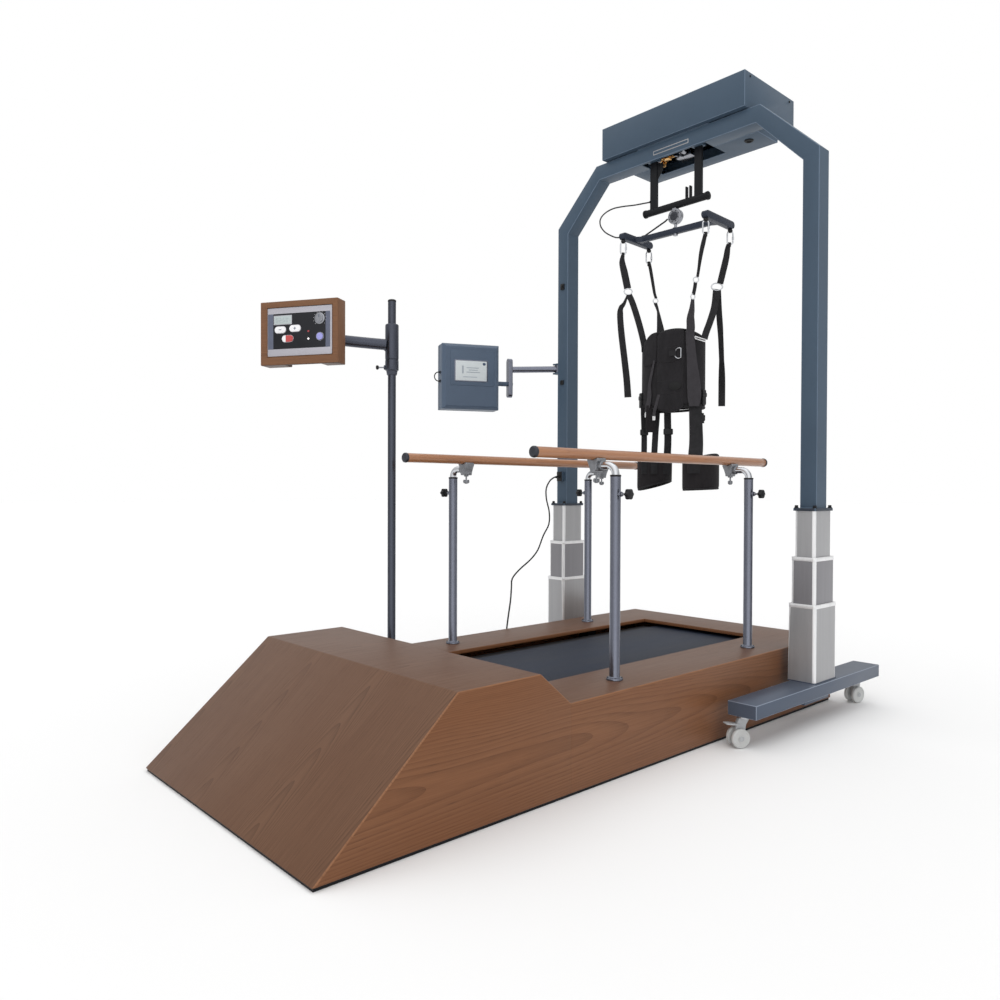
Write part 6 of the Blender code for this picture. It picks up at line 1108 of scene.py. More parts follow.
def makeDial():
    x, z = dialPlace
    inward = consoleFrame.to_3x3() @ acrossY
    centre = consoleFrame @ Vector((x, 0, z))

    def knob(rings, at, sides=48):
        return turned(rings, sides, at, -inward)

    ring = knob([(0.0245, -0.0012), (0.0245, 0.0006), (0.0238, 0.0012), (0.0150, 0.0012)], centre)
    finished(ring, "dialRing", "console", "blackPlastic")
    skirt = knob([(0.0222, 0.0004), (0.0225, 0.0010), (0.0225, 0.0026), (0.0215, 0.0034), (0.0180, 0.0038),
                  (0.0172, 0.0042), (0.0168, 0.0074), (0.0160, 0.0080), (0.0105, 0.0077)], centre, 72)
    for vertex in skirt.data.vertices:  # grip flutes round the cap
        away = vertex.co - centre
        out = away.dot(-inward)
        flat = away + inward * out
        if 0.0036 < out < 0.0078 and flat.length > 0.0155:
            turn = math.atan2(flat.z, flat.dot(consoleFrame.to_3x3() @ acrossX))
            vertex.co = centre - inward * out + flat * (1 + 0.035 * math.cos(24 * turn))
    finished(skirt, "dialCap", "speed_dial", "steel", "speed_dial")
    mark = facePlate(boxOutline(x - 0.0009, x + 0.0009, z + 0.0030, z + 0.0158, 0.0008), -0.0084, -0.0072, 0.0002)
    finished(mark, "dialMark", "speed_dial", "inkDark")
    ticks = []
    for i in range(11):
        turn = math.radians(225 - 27 * i)
        tick = boxOutline(-0.0005, 0.0005, 0.0262, 0.0292, 0.0004)
        placed = [(x + px * math.sin(turn) + pz * math.cos(turn), z - px * math.cos(turn) + pz * math.sin(turn))
                  for px, pz in tick]
        ticks.append(facePlate(placed, -0.0003, 0.0002, 0))
    finished(joined(ticks), "dialTicks", "console", "whitePlastic")
    stop = consoleFrame @ Vector((stopPlace[0], 0, stopPlace[1]))
    ring = knob([(0.0172, -0.0010), (0.0174, 0.0010), (0.0166, 0.0020), (0.0152, 0.0020), (0.0150, 0.0002)], stop)
    finished(ring, "stopRim", "console", "steel")
    button = knob([(0.0138, 0.0008), (0.0142, 0.0016), (0.0142, 0.0038), (0.0132, 0.0052), (0.0105, 0.0060),
                   (0.0050, 0.0063)], stop)
    finished(button, "stopCap", "stop_button", "violetPlastic", "stop_button")
    for lamp, (name, lampX, lampZ) in lampPlaces.items():
        at = consoleFrame @ Vector((lampX, 0, lampZ))
        seat = knob([(0.0058, -0.0008), (0.0058, 0.0006), (0.0050, 0.0012), (0.0044, 0.0012)], at, 28)
        finished(seat, name + "Seat", "console", "blackPlastic")
        dome = knob([(0.0042, 0.0006), (0.0042, 0.0016), (0.0034, 0.0028), (0.0016, 0.0034)], at, 28)
        finished(dome, name + "Dome", "console", lamp)


makeMast()
makeConsole()

# Gantry

gantry = {"columns": {"near": 0.6733, "far": -0.7533}, "front": 0.9346, "stage1": (0.120, 0.191, 0.503),
          "stage2": (0.107, 0.174, 0.700), "stage3": (0.090, 0.149, 0.895), "footTop": 0.176, "footBottom": 0.122}


def rim(x, size, bottom, height, proud, wall, corner=0.009):
    # a bright edging band round the top of a column stage: an open tube given its wall
    rest()
    low = (x - size[0] / 2 - proud, gantryY - size[1] / 2 - proud, bottom)
    high = (x + size[0] / 2 + proud, gantryY + size[1] / 2 + proud, bottom + height)
    obj = openEnds(block(low, high, 0), upward)
    softEdges(obj, corner, 5)
    change(obj, "SOLIDIFY", thickness=wall, offset=-1.0)
    return softEdges(faceOut(obj), 0.0008, 2)


def roundCorners(obj, low, high, slot, width=0.008):
    # the upright edges whose middle is between two heights, rounded in the slot's finish
    only(obj)
    bpy.ops.object.mode_set(mode="EDIT")
    bpy.ops.mesh.select_mode(type="EDGE")
    bpy.ops.mesh.select_all(action="DESELECT")
    mesh = bmesh.from_edit_mesh(obj.data)
    for edge in mesh.edges:
        middle, run = (edge.verts[0].co + edge.verts[1].co) / 2, edge.verts[1].co - edge.verts[0].co
        edge.select_set(low < middle.z < high and abs(run.z) > 0.12 and abs(run.z) > 0.98 * run.length
                        and len(edge.link_faces) == 2 and edge.calc_face_angle(0) > 1.2)
    bmesh.update_edit_mesh(obj.data)
    bpy.ops.mesh.bevel(offset=width, segments=5, affect="EDGES", material=slot)
    bpy.ops.object.mode_set(mode="OBJECT")


def makeColumns():
    for side, x in gantry["columns"].items():
        base = refined(side + "_base", 0.0022, ("footPaint", "aluminium", "footEdgeHighlight", "aluminiumRim"), 2, 0.03,
                       lambda p: p.z < 0.185, 2)
        # stage 1's rounded upright corners between these heights get the near-white aluminium: a painted highlight
        roundCorners(base, 0.3, 0.45, 3, 0.012)

        def choose(middle, normal, slot):
            # above the foot's top the rounded corners keep the near-white aluminium as a painted highlight
            if middle.z > gantry["footTop"] + 0.0012:
                return 3 if slot in (2, 3) else 1
            # below the foot's top the bevels keep the paler foot paint as a painted highlight
            return 2 if slot == 2 else 0

        paintFaces(base, choose)
        finished(base, side + "Foot", "gantry_base", None, side + "_base", 30)
        weld = rim(x, gantry["stage1"], gantry["footTop"] - 0.0005, 0.004, 0.003, 0.003)
        finished(weld, side + "ColumnWeld", "gantry_base", "footPaint")
        out = 0.016 if side == "near" else -0.016
        plate = block((x + out - 0.050, 0.788, gantry["footBottom"] - 0.016),
                      (x + out + 0.050, 0.995, gantry["footBottom"] + 0.001), 0.0020)
        finished(plate, side + "FootPlate", "gantry_base", "footPaint")
        caps = []
        for y in (0.391, 1.479):
            way = -1 if y < gantryY else 1
            caps.append(block((x + out - 0.0585, y - 0.0004, gantry["footBottom"] + 0.002),
                              (x + out + 0.0585, y + 0.0004, gantry["footTop"] - 0.002), 0.0003, 1,
                              Matrix.Translation((0, way * 0.0004, 0))))
        finished(joined(caps), side + "FootEnds", "gantry_base", "footPaint")
        for number in (2, 3):
            width, depth, top = gantry[f"stage{number}"]
            look = "aluminiumMid" if number == 2 else "aluminium"
            stage = refined(f"{side}_stage_{number}", 0, (look, "aluminiumRim"))
            # the rounded upright corners between these heights get the near-white aluminium: a painted highlight
            roundCorners(stage, top - 0.19, top - 0.12, 1, 0.012)
            body = f"{side}_stage_2" if number == 2 else "lift_frame"
            finished(stage, f"{side}Stage{number}", body, None, f"{side}_stage_{number}", 30)
        for number, body in ((1, "gantry_base"), (2, f"{side}_stage_2")):
            width, depth, top = gantry[f"stage{number}"]
            band = rim(x, (width, depth), top - 0.0155, 0.0165, 0.0010, 0.0064, 0.0125)
            finished(band, f"{side}Stage{number}Rim", body, "aluminiumRim")
    print("columns")


def makeArch():
    # the bevelled edges take the paler paint as a painted highlight
    arch = refined("arch_frame", 0.0028, ("gantryPaint", "gantryEdgeHighlight"), 2, 0.06,
                   lambda p: p.y < 0.9350 or p.y > 1.0210, 1)
    finished(arch, "archFrame", "lift_frame", None, "arch_frame", 30)
    for side, x in gantry["columns"].items():
        corners = [Matrix.Translation((x + sx * 0.0405, gantryY + sy * 0.068, 0.9073)) for sx in (1, -1)
                   for sy in (1, -1)]
        bolts = copies(hexBolt(0.0072, 0.012), corners)
        finished(bolts, side + "FlangeBolts", "lift_frame", "blackSteel")
        plate = rim(x, (0.098, 0.157), 0.8955, 0.0115, 0.0006, 0.010)
        finished(plate, side + "FlangeEdge", "lift_frame", "flangePaint")
    # a bare plate with its pale border, and black clips on the far upright
    plate = cutOut(roundedBox(0.206, 0.021, 0.003, 4), 0, 0.0012, 0.0004, 2)
    stand = Matrix(((1, 0, 0, -0.0415), (0, 0, -1, gantry["front"]), (0, 1, 0, 2.6495), (0, 0, 0, 1)))
    finished(settle(plate, stand), "crossbeamPlate", "lift_frame", "aluminium")
    inner = settle(cutOut(roundedBox(0.1975, 0.0125, 0.002, 4), 0.0008, 0.0016, 0.0002, 2), stand)
    finished(inner, "crossbeamPlateField", "lift_frame", "gantryPaint")
    clips = [block((-0.7663, 0.927, 2.085), (-0.7403, 0.9350, 2.118), 0.002),
             block((-0.7613, 0.9215, 2.094), (-0.7453, 0.9280, 2.109), 0.002),
             block((-0.7663, 0.928, 1.562), (-0.7423, 0.9350, 1.586), 0.002)]
    finished(joined(clips), "cableClips", "lift_frame", "blackPlastic")
    socket = [block((-0.7716, 0.9110, 1.0285), (-0.7350, 0.9140, 1.0815), 0.0012),
              block((-0.7680, 0.9085, 1.0650), (-0.7386, 0.9115, 1.0780), 0.001)]
    finished(joined(socket), "socketCover", "lift_frame", "blackPlastic")
    print("arch")


def makeWinch():
    # the bevelled edges take the paler paint as a painted highlight
    housing = refined("winch_housing", 0.0022, ("gantryPaint", "gantryEdgeHighlight"), 2, 0.05,
                      lambda p: p.z > 2.699 or p.z < 2.6215, 1)
    finished(housing, "winchHousing", "lift_frame", None, "winch_housing", 30)
    screws = []
    for x in (-0.40, -0.04, 0.32):
        screws.append(pointing((x, 1.3540, 2.845), (0, 1, 0)))
        screws.append(pointing((x, 1.3540, 2.716), (0, 1, 0)))
    for y in (0.955, 1.31):
        screws.append(pointing((0.3740, y, 2.845), (1, 0, 0)))
        screws.append(pointing((-0.4540, y, 2.845), (-1, 0, 0)))
    finished(copies(screw(0.0055, 0.0026), screws), "housingScrews", "lift_frame", "blackSteel")
    grommet = turned([(0.021, 0), (0.021, 0.003), (0.0175, 0.006), (0.0115, 0.0062), (0.0105, 0.002)], 28,
                     (0.296, 1.080, 2.6186), (0, 0, -1))
    finished(grommet, "cableGrommet", "lift_frame", "rubberBlack")
    dress("winch_drum", "steel")
    makeFittings()
    print("winch")


def makeFittings():
    # valve block, pulleys and their brass unions, in the mouth under the crossbeam
    brass = [turned([(0.0105, 0), (0.0118, 0.002), (0.0118, 0.016), (0.0095, 0.018), (0.0070, 0.018),
                     (0.0070, 0.030)], 6, (-0.182, 1.045, 2.640), (0.2, -1, -0.1)),
             turned([(0.0160, 0), (0.0175, 0.002), (0.0175, 0.022), (0.0150, 0.024)], 30, (-0.160, 1.030, 2.650),
                    (0, -1, 0)),
             turned([(0.0090, 0), (0.0090, 0.028), (0.0065, 0.030)], 6, (-0.148, 1.036, 2.632), (0.3, -0.6, -0.7)),
             block((-0.176, 1.035, 2.652), (-0.128, 1.075, 2.684), 0.003),
             turned([(0.0075, 0), (0.0075, 0.022), (0.0055, 0.024)], 6, (-0.128, 1.055, 2.662), (1, 0, 0))]
    finished(joined(brass), "brassFittings", "lift_frame", "brass")
    steel = [turned([(0.0205, 0), (0.0220, 0.002), (0.0220, 0.005), (0.0170, 0.007), (0.0170, 0.013), (0.0220, 0.015),
                     (0.0220, 0.018), (0.0205, 0.020)], 36, (-0.072, 1.045, 2.662), (0, -1, 0)),
             turned([(0.0125, 0), (0.0135, 0.002), (0.0135, 0.030), (0.0120, 0.032)], 30, (-0.033, 1.040, 2.655),
                    (0, -1, 0)),
             turned([(0.0080, 0), (0.0080, 0.034), (0.0060, 0.036)], 6, (-0.052, 1.050, 2.640), (0, -1, -0.2)),
             block((-0.094, 1.052, 2.640), (-0.006, 1.112, 2.690), 0.003),
             turned([(0.0060, 0), (0.0060, 0.020)], 6, (-0.100, 1.040, 2.676), (0, -1, 0)),
             turned([(0.0060, 0), (0.0060, 0.020)], 6, (-0.010, 1.046, 2.680), (0, -1, 0))]
    finished(joined(steel), "steelFittings", "lift_frame", "steel")
    pipe = smoothPath([(-0.190, 1.050, 2.640), (-0.204, 1.044, 2.648), (-0.214, 1.040, 2.664), (-0.214, 1.046, 2.690)],
                      0.006)
    finished(tube(pipe, 0.004, 10), "winchPipe", "lift_frame", "cableBlack")


def makeYoke():
    yoke = refined("lift_yoke", 0.0012, (), 2, 0.012)
    finished(yoke, "liftYoke", "yoke", "blackSteel", "lift_yoke", 30)
    collars = [turned([(0.0190, 0), (0.0200, 0.001), (0.0200, 0.010), (0.0190, 0.011)], 32,
                      (gantryX + sign * 0.176, gantryY, 2.378), (sign, 0, 0)) for sign in (-1, 1)]
    gusset = cutOut([(-0.151, 2.612), (-0.118, 2.612), (-0.118, 2.580), (-0.150, 2.532), (-0.153, 2.532)],
                    -0.004, 0.004, 0.001, 2, Matrix.Translation((0, gantryY, 0)) @ faceOn)
    finished(joined([*collars, gusset]), "yokeCollars", "yoke", "blackSteel")
    exit_ = turned([(0.0070, 0), (0.0070, 0.003), (0.0052, 0.007), (0.0044, 0.009)], 20, (-0.1901, gantryY, 2.434),
                   (-1, 0, 0))
    finished(exit_, "cableExit", "yoke", "rubberBlack")
    at = (gantryX, gantryY, 2.3225)
    disc = turned([(0.0300, -0.0150), (0.0330, -0.0148), (0.0365, -0.0125), (0.0370, -0.010), (0.0370, 0.010),
                   (0.0365, 0.0125), (0.0330, 0.0148), (0.0300, 0.0150)], 48, at, acrossY)
    neck = block((gantryX - 0.0112, gantryY - 0.0148, 2.3225), (gantryX + 0.0112, gantryY + 0.0148, 2.3622), 0.001)
    pin = turned([(0.0112, 2.2297), (0.0112, 2.2362), (0.0100, 2.2374), (0.0070, 2.2376), (0.0070, 2.2900),
                  (0.0105, 2.2905), (0.0105, 2.3000)], 24, (gantryX, gantryY, 0))
    finished(joined([disc, neck, pin]), "loadCell", "yoke", "steel", "load_cell")
    faces = [turned([(0.0205, 0.0148), (0.0215, 0.0152), (0.0215, 0.0162), (0.0200, 0.0170), (0.0070, 0.0170),
                     (0.0065, 0.0160)], 36, at, (0, way, 0)) for way in (-1, 1)]
    finished(joined(faces), "loadCellFaces", "yoke", "darkCasting")
    ring = []
    for way in (-1, 1):
        for i in range(8):
            turn = math.radians(22.5 + 45 * i)
            ring.append(pointing((at[0] + 0.0265 * math.cos(turn), at[1] + way * 0.0150,
                                  at[2] + 0.0265 * math.sin(turn)), (0, way, 0)))
    finished(copies(screw(0.0026, 0.0018), ring), "loadCellScrews", "yoke", "blackSteel")
    print("yoke")


makeColumns()
makeArch()
makeWinch()
makeYoke()

# Spreader

hooks = {"front_left": (-1, -1), "back_left": (-1, 1), "front_right": (1, -1), "back_right": (1, 1)}
spreaderFrame = Matrix.Translation((gantryX, gantryY, 0)) @ Matrix.Rotation(spreader["turn"], 4, "Z")


def hookPlace(name):
    across, along = hooks[name]
    return across * spreader["halfLength"], along * 0.11145


def makeSpreader():
    h, l, w = spreader["height"], spreader["halfLength"], spreader["halfWidth"]
    beam = block((-l, -0.012, h - 0.014), (l, 0.012, h + 0.014), 0.002, 3)
    parts = [beam]
    end = 0.017
    outline = arc((w - end, h), end, -90, 90, 12) + arc((-w + end, h), end, 90, 270, 12)
    for side in (-1, 1):
        parts.append(cutOut(outline, side * l - 0.015, side * l + 0.015, 0.0022, 3, sideOn))
        web = cutOut([(side * (l - 0.014), -0.030), (side * (l - 0.046), -0.0115), (side * (l - 0.046), 0.0115),
                      (side * (l - 0.014), 0.030)], h - 0.0135, h + 0.0135, 0.0012, 2)
        parts.append(web)
    bar = settle(joined(parts), spreaderFrame)
    finished(bar, "spreaderBar", "spreader", "spreaderPaint", "spreader_bar", 30)
    strut = tube([(-0.190, 0, h + 0.012), (-0.176, 0, h + 0.0185), (-0.060, 0, 2.3135), (-0.0463, 0, 2.3215)], 0.004,
                 14)
    clip = block((-0.198, -0.006, h + 0.0135), (-0.180, 0.006, h + 0.0195), 0.0015)
    finished(settle(joined([strut, clip]), spreaderFrame), "cellLead", "spreader", "blackSteel")
    washers = [turned([(0.0150, 0), (0.0150, 0.0016), (0.0138, 0.0022)], 28, (gantryX, gantryY, h + 0.0140)),
               turned([(0.0125, 0), (0.0125, 0.0014)], 28, (gantryX, gantryY, h - 0.0141), (0, 0, -1))]
    finished(joined(washers), "swivelWashers", "spreader", "steel")
    for name in hooks:
        makeHook(name)
    print("spreader")


def makeHook(name):
    # a black ball eye under the crossbar's end, and a spring hook hanging from it
    across, along = hookPlace(name)
    h = spreader["height"]
    at = Matrix.Translation((across, along, 0)) @ Matrix.Rotation(math.radians(-45), 4, "Z")
    eye = turned([(0.0075, h - 0.0165), (0.0100, h - 0.0190), (0.0118, h - 0.0240), (0.0112, h - 0.0295),
                  (0.0080, h - 0.0335), (0.0040, h - 0.0350)], 28)
    finished(settle(eye, spreaderFrame @ at), name.replace("_", "") + "Eye", "spreader", "blackPlastic")
    low, high, half, corner = 2.162, h - 0.029, 0.0135, 0.0122
    loop = [(x, z) for cx, cz, first in ((half - corner, high - corner, 0), (-half + corner, high - corner, 90),
                                         (-half + corner, low + corner, 180), (half - corner, low + corner, 270))
            for x, z in arc((cx, cz), corner, first, first + 90, 7)]
    ring = tube([(0, x, z) for x, z in loop], 0.0034, 12, True)
    gate = turned([(0.0040, low + 0.020), (0.0050, low + 0.021), (0.0050, low + 0.035), (0.0040, low + 0.036)], 20,
                  (0, half, 0))
    hinge = turned([(0.0032, -0.0045), (0.0032, 0.0045)], 14, (0, half, low + 0.0165), acrossX)
    finished(settle(joined([ring, gate, hinge]), spreaderFrame @ at), name.replace("_", "") + "Hook", "spreader",
             "chrome")


makeSpreader()

# Harness

harness = {"turn": math.radians(47.5)}
harnessSide = Vector((math.cos(harness["turn"]), math.sin(harness["turn"]), 0))
harnessFront = Vector((math.sin(harness["turn"]), -math.cos(harness["turn"]), 0))
vest = {"centre": (-0.050, 0.978), "half": (0.1655, 0.103), "top": 1.7450, "bottom": 1.383, "dip": 0.045, "pad": 0.016,
        "voxel": 0.006, "swell": 0.004}
# each strap of the sling as points (across, ahead, height) in the harness's own turned frame,
# with its widths and twists
slings = {
    "frontLeft": {
        "bands": [(((-0.2440, -0.0855, 2.1690), (-0.2489, -0.084, 2.1251), (-0.2372, -0.080, 2.0661),
                    (-0.2215, -0.0775, 1.9897)), (0.012, 0.030, 0.0355, 0.0355, 0.0355), (0,)),
                  (((-0.2161, -0.0765, 1.9600), (-0.200, -0.070, 1.9212), (-0.179, -0.060, 1.8524),
                    (-0.1605, -0.048, 1.779), (-0.1450, -0.036, 1.7016), (-0.1430, -0.034, 1.665)),
                   (0.030, 0.0314, 0.0314, 0.030), (0,)),
                  (((-0.2214, -0.0790, 1.9560), (-0.2395, -0.076, 1.9131), (-0.2584, -0.072, 1.8814),
                    (-0.2557, -0.066, 1.7867), (-0.2387, -0.055, 1.6292), (-0.2278, -0.050, 1.5273),
                    (-0.2222, -0.046, 1.4425)), (0.014, 0.030, 0.032, 0.032, 0.033, 0.034), (-55, 10, 0, 0, 0))],
        "rings": [((-0.2192, -0.0775, 1.9741), 0.020, 0.0150)]},
    "backLeft": {
        "bands": [(((-0.0861, -0.2433, 2.1690), (-0.0798, -0.2400, 2.1400), (-0.0712, -0.225, 2.0731),
                    (-0.0621, -0.205, 1.9944), (-0.0545, -0.201, 1.9700)), (0.0165, 0.0165, 0.0150, 0.0130), (0,)),
                  (((-0.0594, -0.198, 1.9450), (-0.0509, -0.172, 1.8993), (-0.0477, -0.150, 1.8450),
                    (-0.0449, -0.127, 1.7810), (-0.0449, -0.118, 1.7200)), (0.018, 0.0116, 0.026, 0.040, 0.044), (0,))],
        "rings": [((-0.0582, -0.200, 1.9575), 0.0125, 0.0115)]},
    "frontRight": {
        "bands": [(((0.0861, 0.2433, 2.1690), (0.0790, 0.2433, 2.1363), (0.0690, 0.230, 2.0788),
                    (0.0635, 0.205, 2.0033), (0.0600, 0.200, 1.9750)), (0.0165, 0.0206, 0.0180, 0.0135, 0.0125), (0,)),
                  (((0.0515, 0.198, 1.9540), (0.0500, 0.194, 1.9300), (0.0440, 0.189, 1.8950)),
                   (0.0165, 0.0165), (25,))],
        "rings": [((0.0530, 0.200, 1.9631), 0.0125, 0.0125), ((0.0419, 0.188, 1.8870), 0.0095, 0.0120)]},
    "backRight": {
        "bands": [(((0.2400, 0.0855, 2.1690), (0.2329, 0.0855, 2.1473), (0.2275, 0.080, 2.1018),
                    (0.2172, 0.072, 2.0484), (0.2031, 0.062, 1.9800)), (0.018, 0.028, 0.031, 0.031, 0.031), (0,)),
                  (((0.1885, 0.058, 1.9540), (0.1759, 0.070, 1.8685), (0.1517, 0.090, 1.7997), (0.1235, 0.110, 1.7316),
                    (0.1145, 0.118, 1.7030)), (0.036, 0.034, 0.032, 0.032), (0,)),
                  (((0.1964, 0.054, 1.9540), (0.203, 0.050, 1.8385), (0.2115, 0.045, 1.7445), (0.219, 0.040, 1.6155),
                    (0.222, 0.036, 1.5171), (0.2231, 0.032, 1.3916)), (0.026, 0.028, 0.032, 0.032, 0.0325, 0.0325),
                   (0, 25, 58, 62, 25, 0))],
        "rings": [((0.189, 0.0588, 1.9658), 0.0270, 0.0170)]},
}


def hang(across, ahead, height):
    return Vector((gantryX, gantryY, height)) + harnessSide * across + harnessFront * ahead


def vestTop(turn):
    return vest["top"] - vest["dip"] * math.sin(turn - math.radians(295)) ** 2


def vestBottom(turn):
    return vest["bottom"]


def onVest(degrees, height, proud=0.0):
    turn = math.radians(degrees)
    a, b = vest["half"]
    out = Vector((math.cos(turn) / a, math.sin(turn) / b, 0)).normalized()
    x, y = vest["centre"][0] + a * math.cos(turn), vest["centre"][1] + b * math.sin(turn)
    return Vector((x, y, height)) + out * proud


def alongVest(degrees):
    turn = math.radians(degrees)
    return Vector((-vest["half"][0] * math.sin(turn), vest["half"][1] * math.cos(turn), 0)).normalized()


def sheetOn(shape, columns, rows, closed=False):
    # a grid whose points go where shape(u, v) says
    rest()
    bpy.ops.mesh.primitive_grid_add(x_subdivisions=columns, y_subdivisions=rows, size=1)
    obj = bpy.context.object
    for vertex in obj.data.vertices:
        vertex.co = shape(vertex.co.x + 0.5, vertex.co.y + 0.5)
    return faceOut(obj, 0.0001 if closed else 0.0)


def swollen(obj, voxel, pressure, cap):
    # closed cloth blown up a little and held near where it was
    only(obj)
    obj.data.remesh_voxel_size = voxel
    bpy.ops.object.voxel_remesh()
    start = [vertex.co.copy() for vertex in obj.data.vertices]
    cloth = obj.modifiers.new("cloth", "CLOTH")
    cloth.settings.use_pressure = True
    cloth.settings.uniform_pressure_force = pressure
    cloth.settings.quality = 4
    cloth.settings.effector_weights.gravity = 0.0
    cloth.point_cache.frame_start, cloth.point_cache.frame_end = 1, 20
    for number in range(1, 21):
        bpy.context.scene.frame_set(number)
    only(obj)
    bpy.ops.object.modifier_apply(modifier=cloth.name)
    for vertex, before in zip(obj.data.vertices, start):
        moved = vertex.co - before
        if moved.length > cap:
            vertex.co = before + moved.normalized() * cap
    bpy.context.scene.frame_set(1)
    change(obj, "SMOOTH", factor=0.5, iterations=4)
    return change(obj, "SUBSURF", levels=1, render_levels=1)


def paddedTube(centre, half, top, bottom, pad, voxel, swell, columns):
    def shape(u, v):
        turn = 2 * math.pi * u
        return Vector((centre[0] + half[0] * math.cos(turn), centre[1] + half[1] * math.sin(turn),
                       bottom(turn) + (top(turn) - bottom(turn)) * v))

    obj = sheetOn(shape, columns, 14, True)
    change(obj, "SOLIDIFY", thickness=pad, offset=0.0)
    return swollen(obj, voxel, 4.0, swell)


def makeVest():
    shell = paddedTube(vest["centre"], vest["half"], vestTop, vestBottom, vest["pad"], vest["voxel"], vest["swell"], 96)
    finished(shell, "vestShell", "spreader", "harnessCloth", "harness_vest", 60)
    steps = 96
    binding = []
    for level, lift in ((vestTop, 0.0035), (vestBottom, -0.0035)):
        binding.append(tube([onVest(360 * i / steps, level(2 * math.pi * i / steps) + lift) for i in range(steps)],
                            0.0062, 10, True))
    finished(joined(binding), "vestBinding", "spreader", "webbing")
    makePanels()
    makeBroadStrap()
    makeVestStraps()
    for name in slings:
        makeSling(name)
    print("vest")


def layer(left, right, low, high, proud, thickness, rows=30):
    # a layer of cloth on the vest; its lower and upper edges change with the share of its width
    def shape(u, v):
        return onVest(left + (right - left) * u, low(u) + (high(u) - low(u)) * v, proud)

    obj = sheetOn(shape, 30, rows)
    return faceOut(change(obj, "SOLIDIFY", thickness=thickness, offset=0.0))


def makePanels():
    # chest panel with round corners, the shoulder piece beside it, two pocket flaps and a plain oval patch
    def chestLow(u):
        return 1.3475 + 0.030 * abs(2 * u - 1) ** 2.4

    def chestTop(u):
        return vestTop(math.radians(266.6 + 48.2 * u)) + 0.004 - 0.012 * max(0.0, 1 - 6 * u) ** 2

    chest = swollen(layer(266.6, 314.8, chestLow, chestTop, 0.0125, 0.010, 44), 0.005, 4.0, 0.003)
    finished(chest, "chestPanel", "spreader", "harnessCloth", smooth=60)
    shoulder = layer(230, 267.5, lambda u: 1.600 - 0.016 * math.sin(math.pi * u),
                     lambda u: 1.700 + 0.046 * math.sin(math.pi * min(0.5, u * 0.62)), 0.0115, 0.008)
    shoulder = swollen(shoulder, 0.005, 4.0, 0.003)
    finished(shoulder, "shoulderPanel", "spreader", "harnessCloth", smooth=60)
    flaps = [softEdges(layer(268.5, 308, lambda u: 1.603 - 0.014 * math.sin(math.pi * u), lambda u: 1.662,
                             0.0200, 0.004), 0.0015),
             softEdges(layer(268.5, 312, lambda u: 1.4435 - 0.012 * math.sin(math.pi * u) + 0.016 * u,
                             lambda u: 1.505, 0.0195, 0.004), 0.0015)]
    finished(joined(flaps), "pocketFlaps", "spreader", "harnessCloth")
    at, out, side = spotOn(299.6, 1.477, 0.0215)
    oval = [(0.030 * math.cos(turn), 0.021 * math.sin(turn)) for turn in (2 * math.pi * i / 40 for i in range(40))]
    patch = cutOut(oval, 0, 0.0025, 0.001, 2, facing(at, side, out))
    finished(patch, "chestPatch", "spreader", "rubberBlack")


def spotOn(degrees, height, proud):
    # a place on the vest with its outward and sideways directions
    at = onVest(degrees, height, proud)
    return at, (onVest(degrees, 0, 1) - onVest(degrees, 0, 0)).normalized(), alongVest(degrees)


def onPath(places, proud):
    return [onVest(degrees, height, proud) for degrees, height in places]


def makeBroadStrap():
    # the right shoulder strap: narrow at its ring, broad over the vest and round at its foot
    points = [hang(*spot) for spot in ((0.0420, 0.187, 1.876), (0.0403, 0.176, 1.8286), (0.0366, 0.168, 1.793),
                                       (0.0402, 0.158, 1.7478))]
    points += onPath(((325.1, 1.7126), (328.9, 1.5861), (333.4, 1.4596), (333.6, 1.3793)), 0.0155)
    widths = (0.0147, 0.026, 0.0375, 0.040, 0.041, 0.043, 0.046, 0.052, 0.060, 0.066, 0.064, 0.048)
    sides = [harnessSide, harnessSide, alongVest(326), alongVest(329), alongVest(333)]
    obj = strap(smoothPath(points, 0.012), widths, sides, 0.004, 8)
    finished(obj, "broadStrap", "spreader", "broadWebbing")


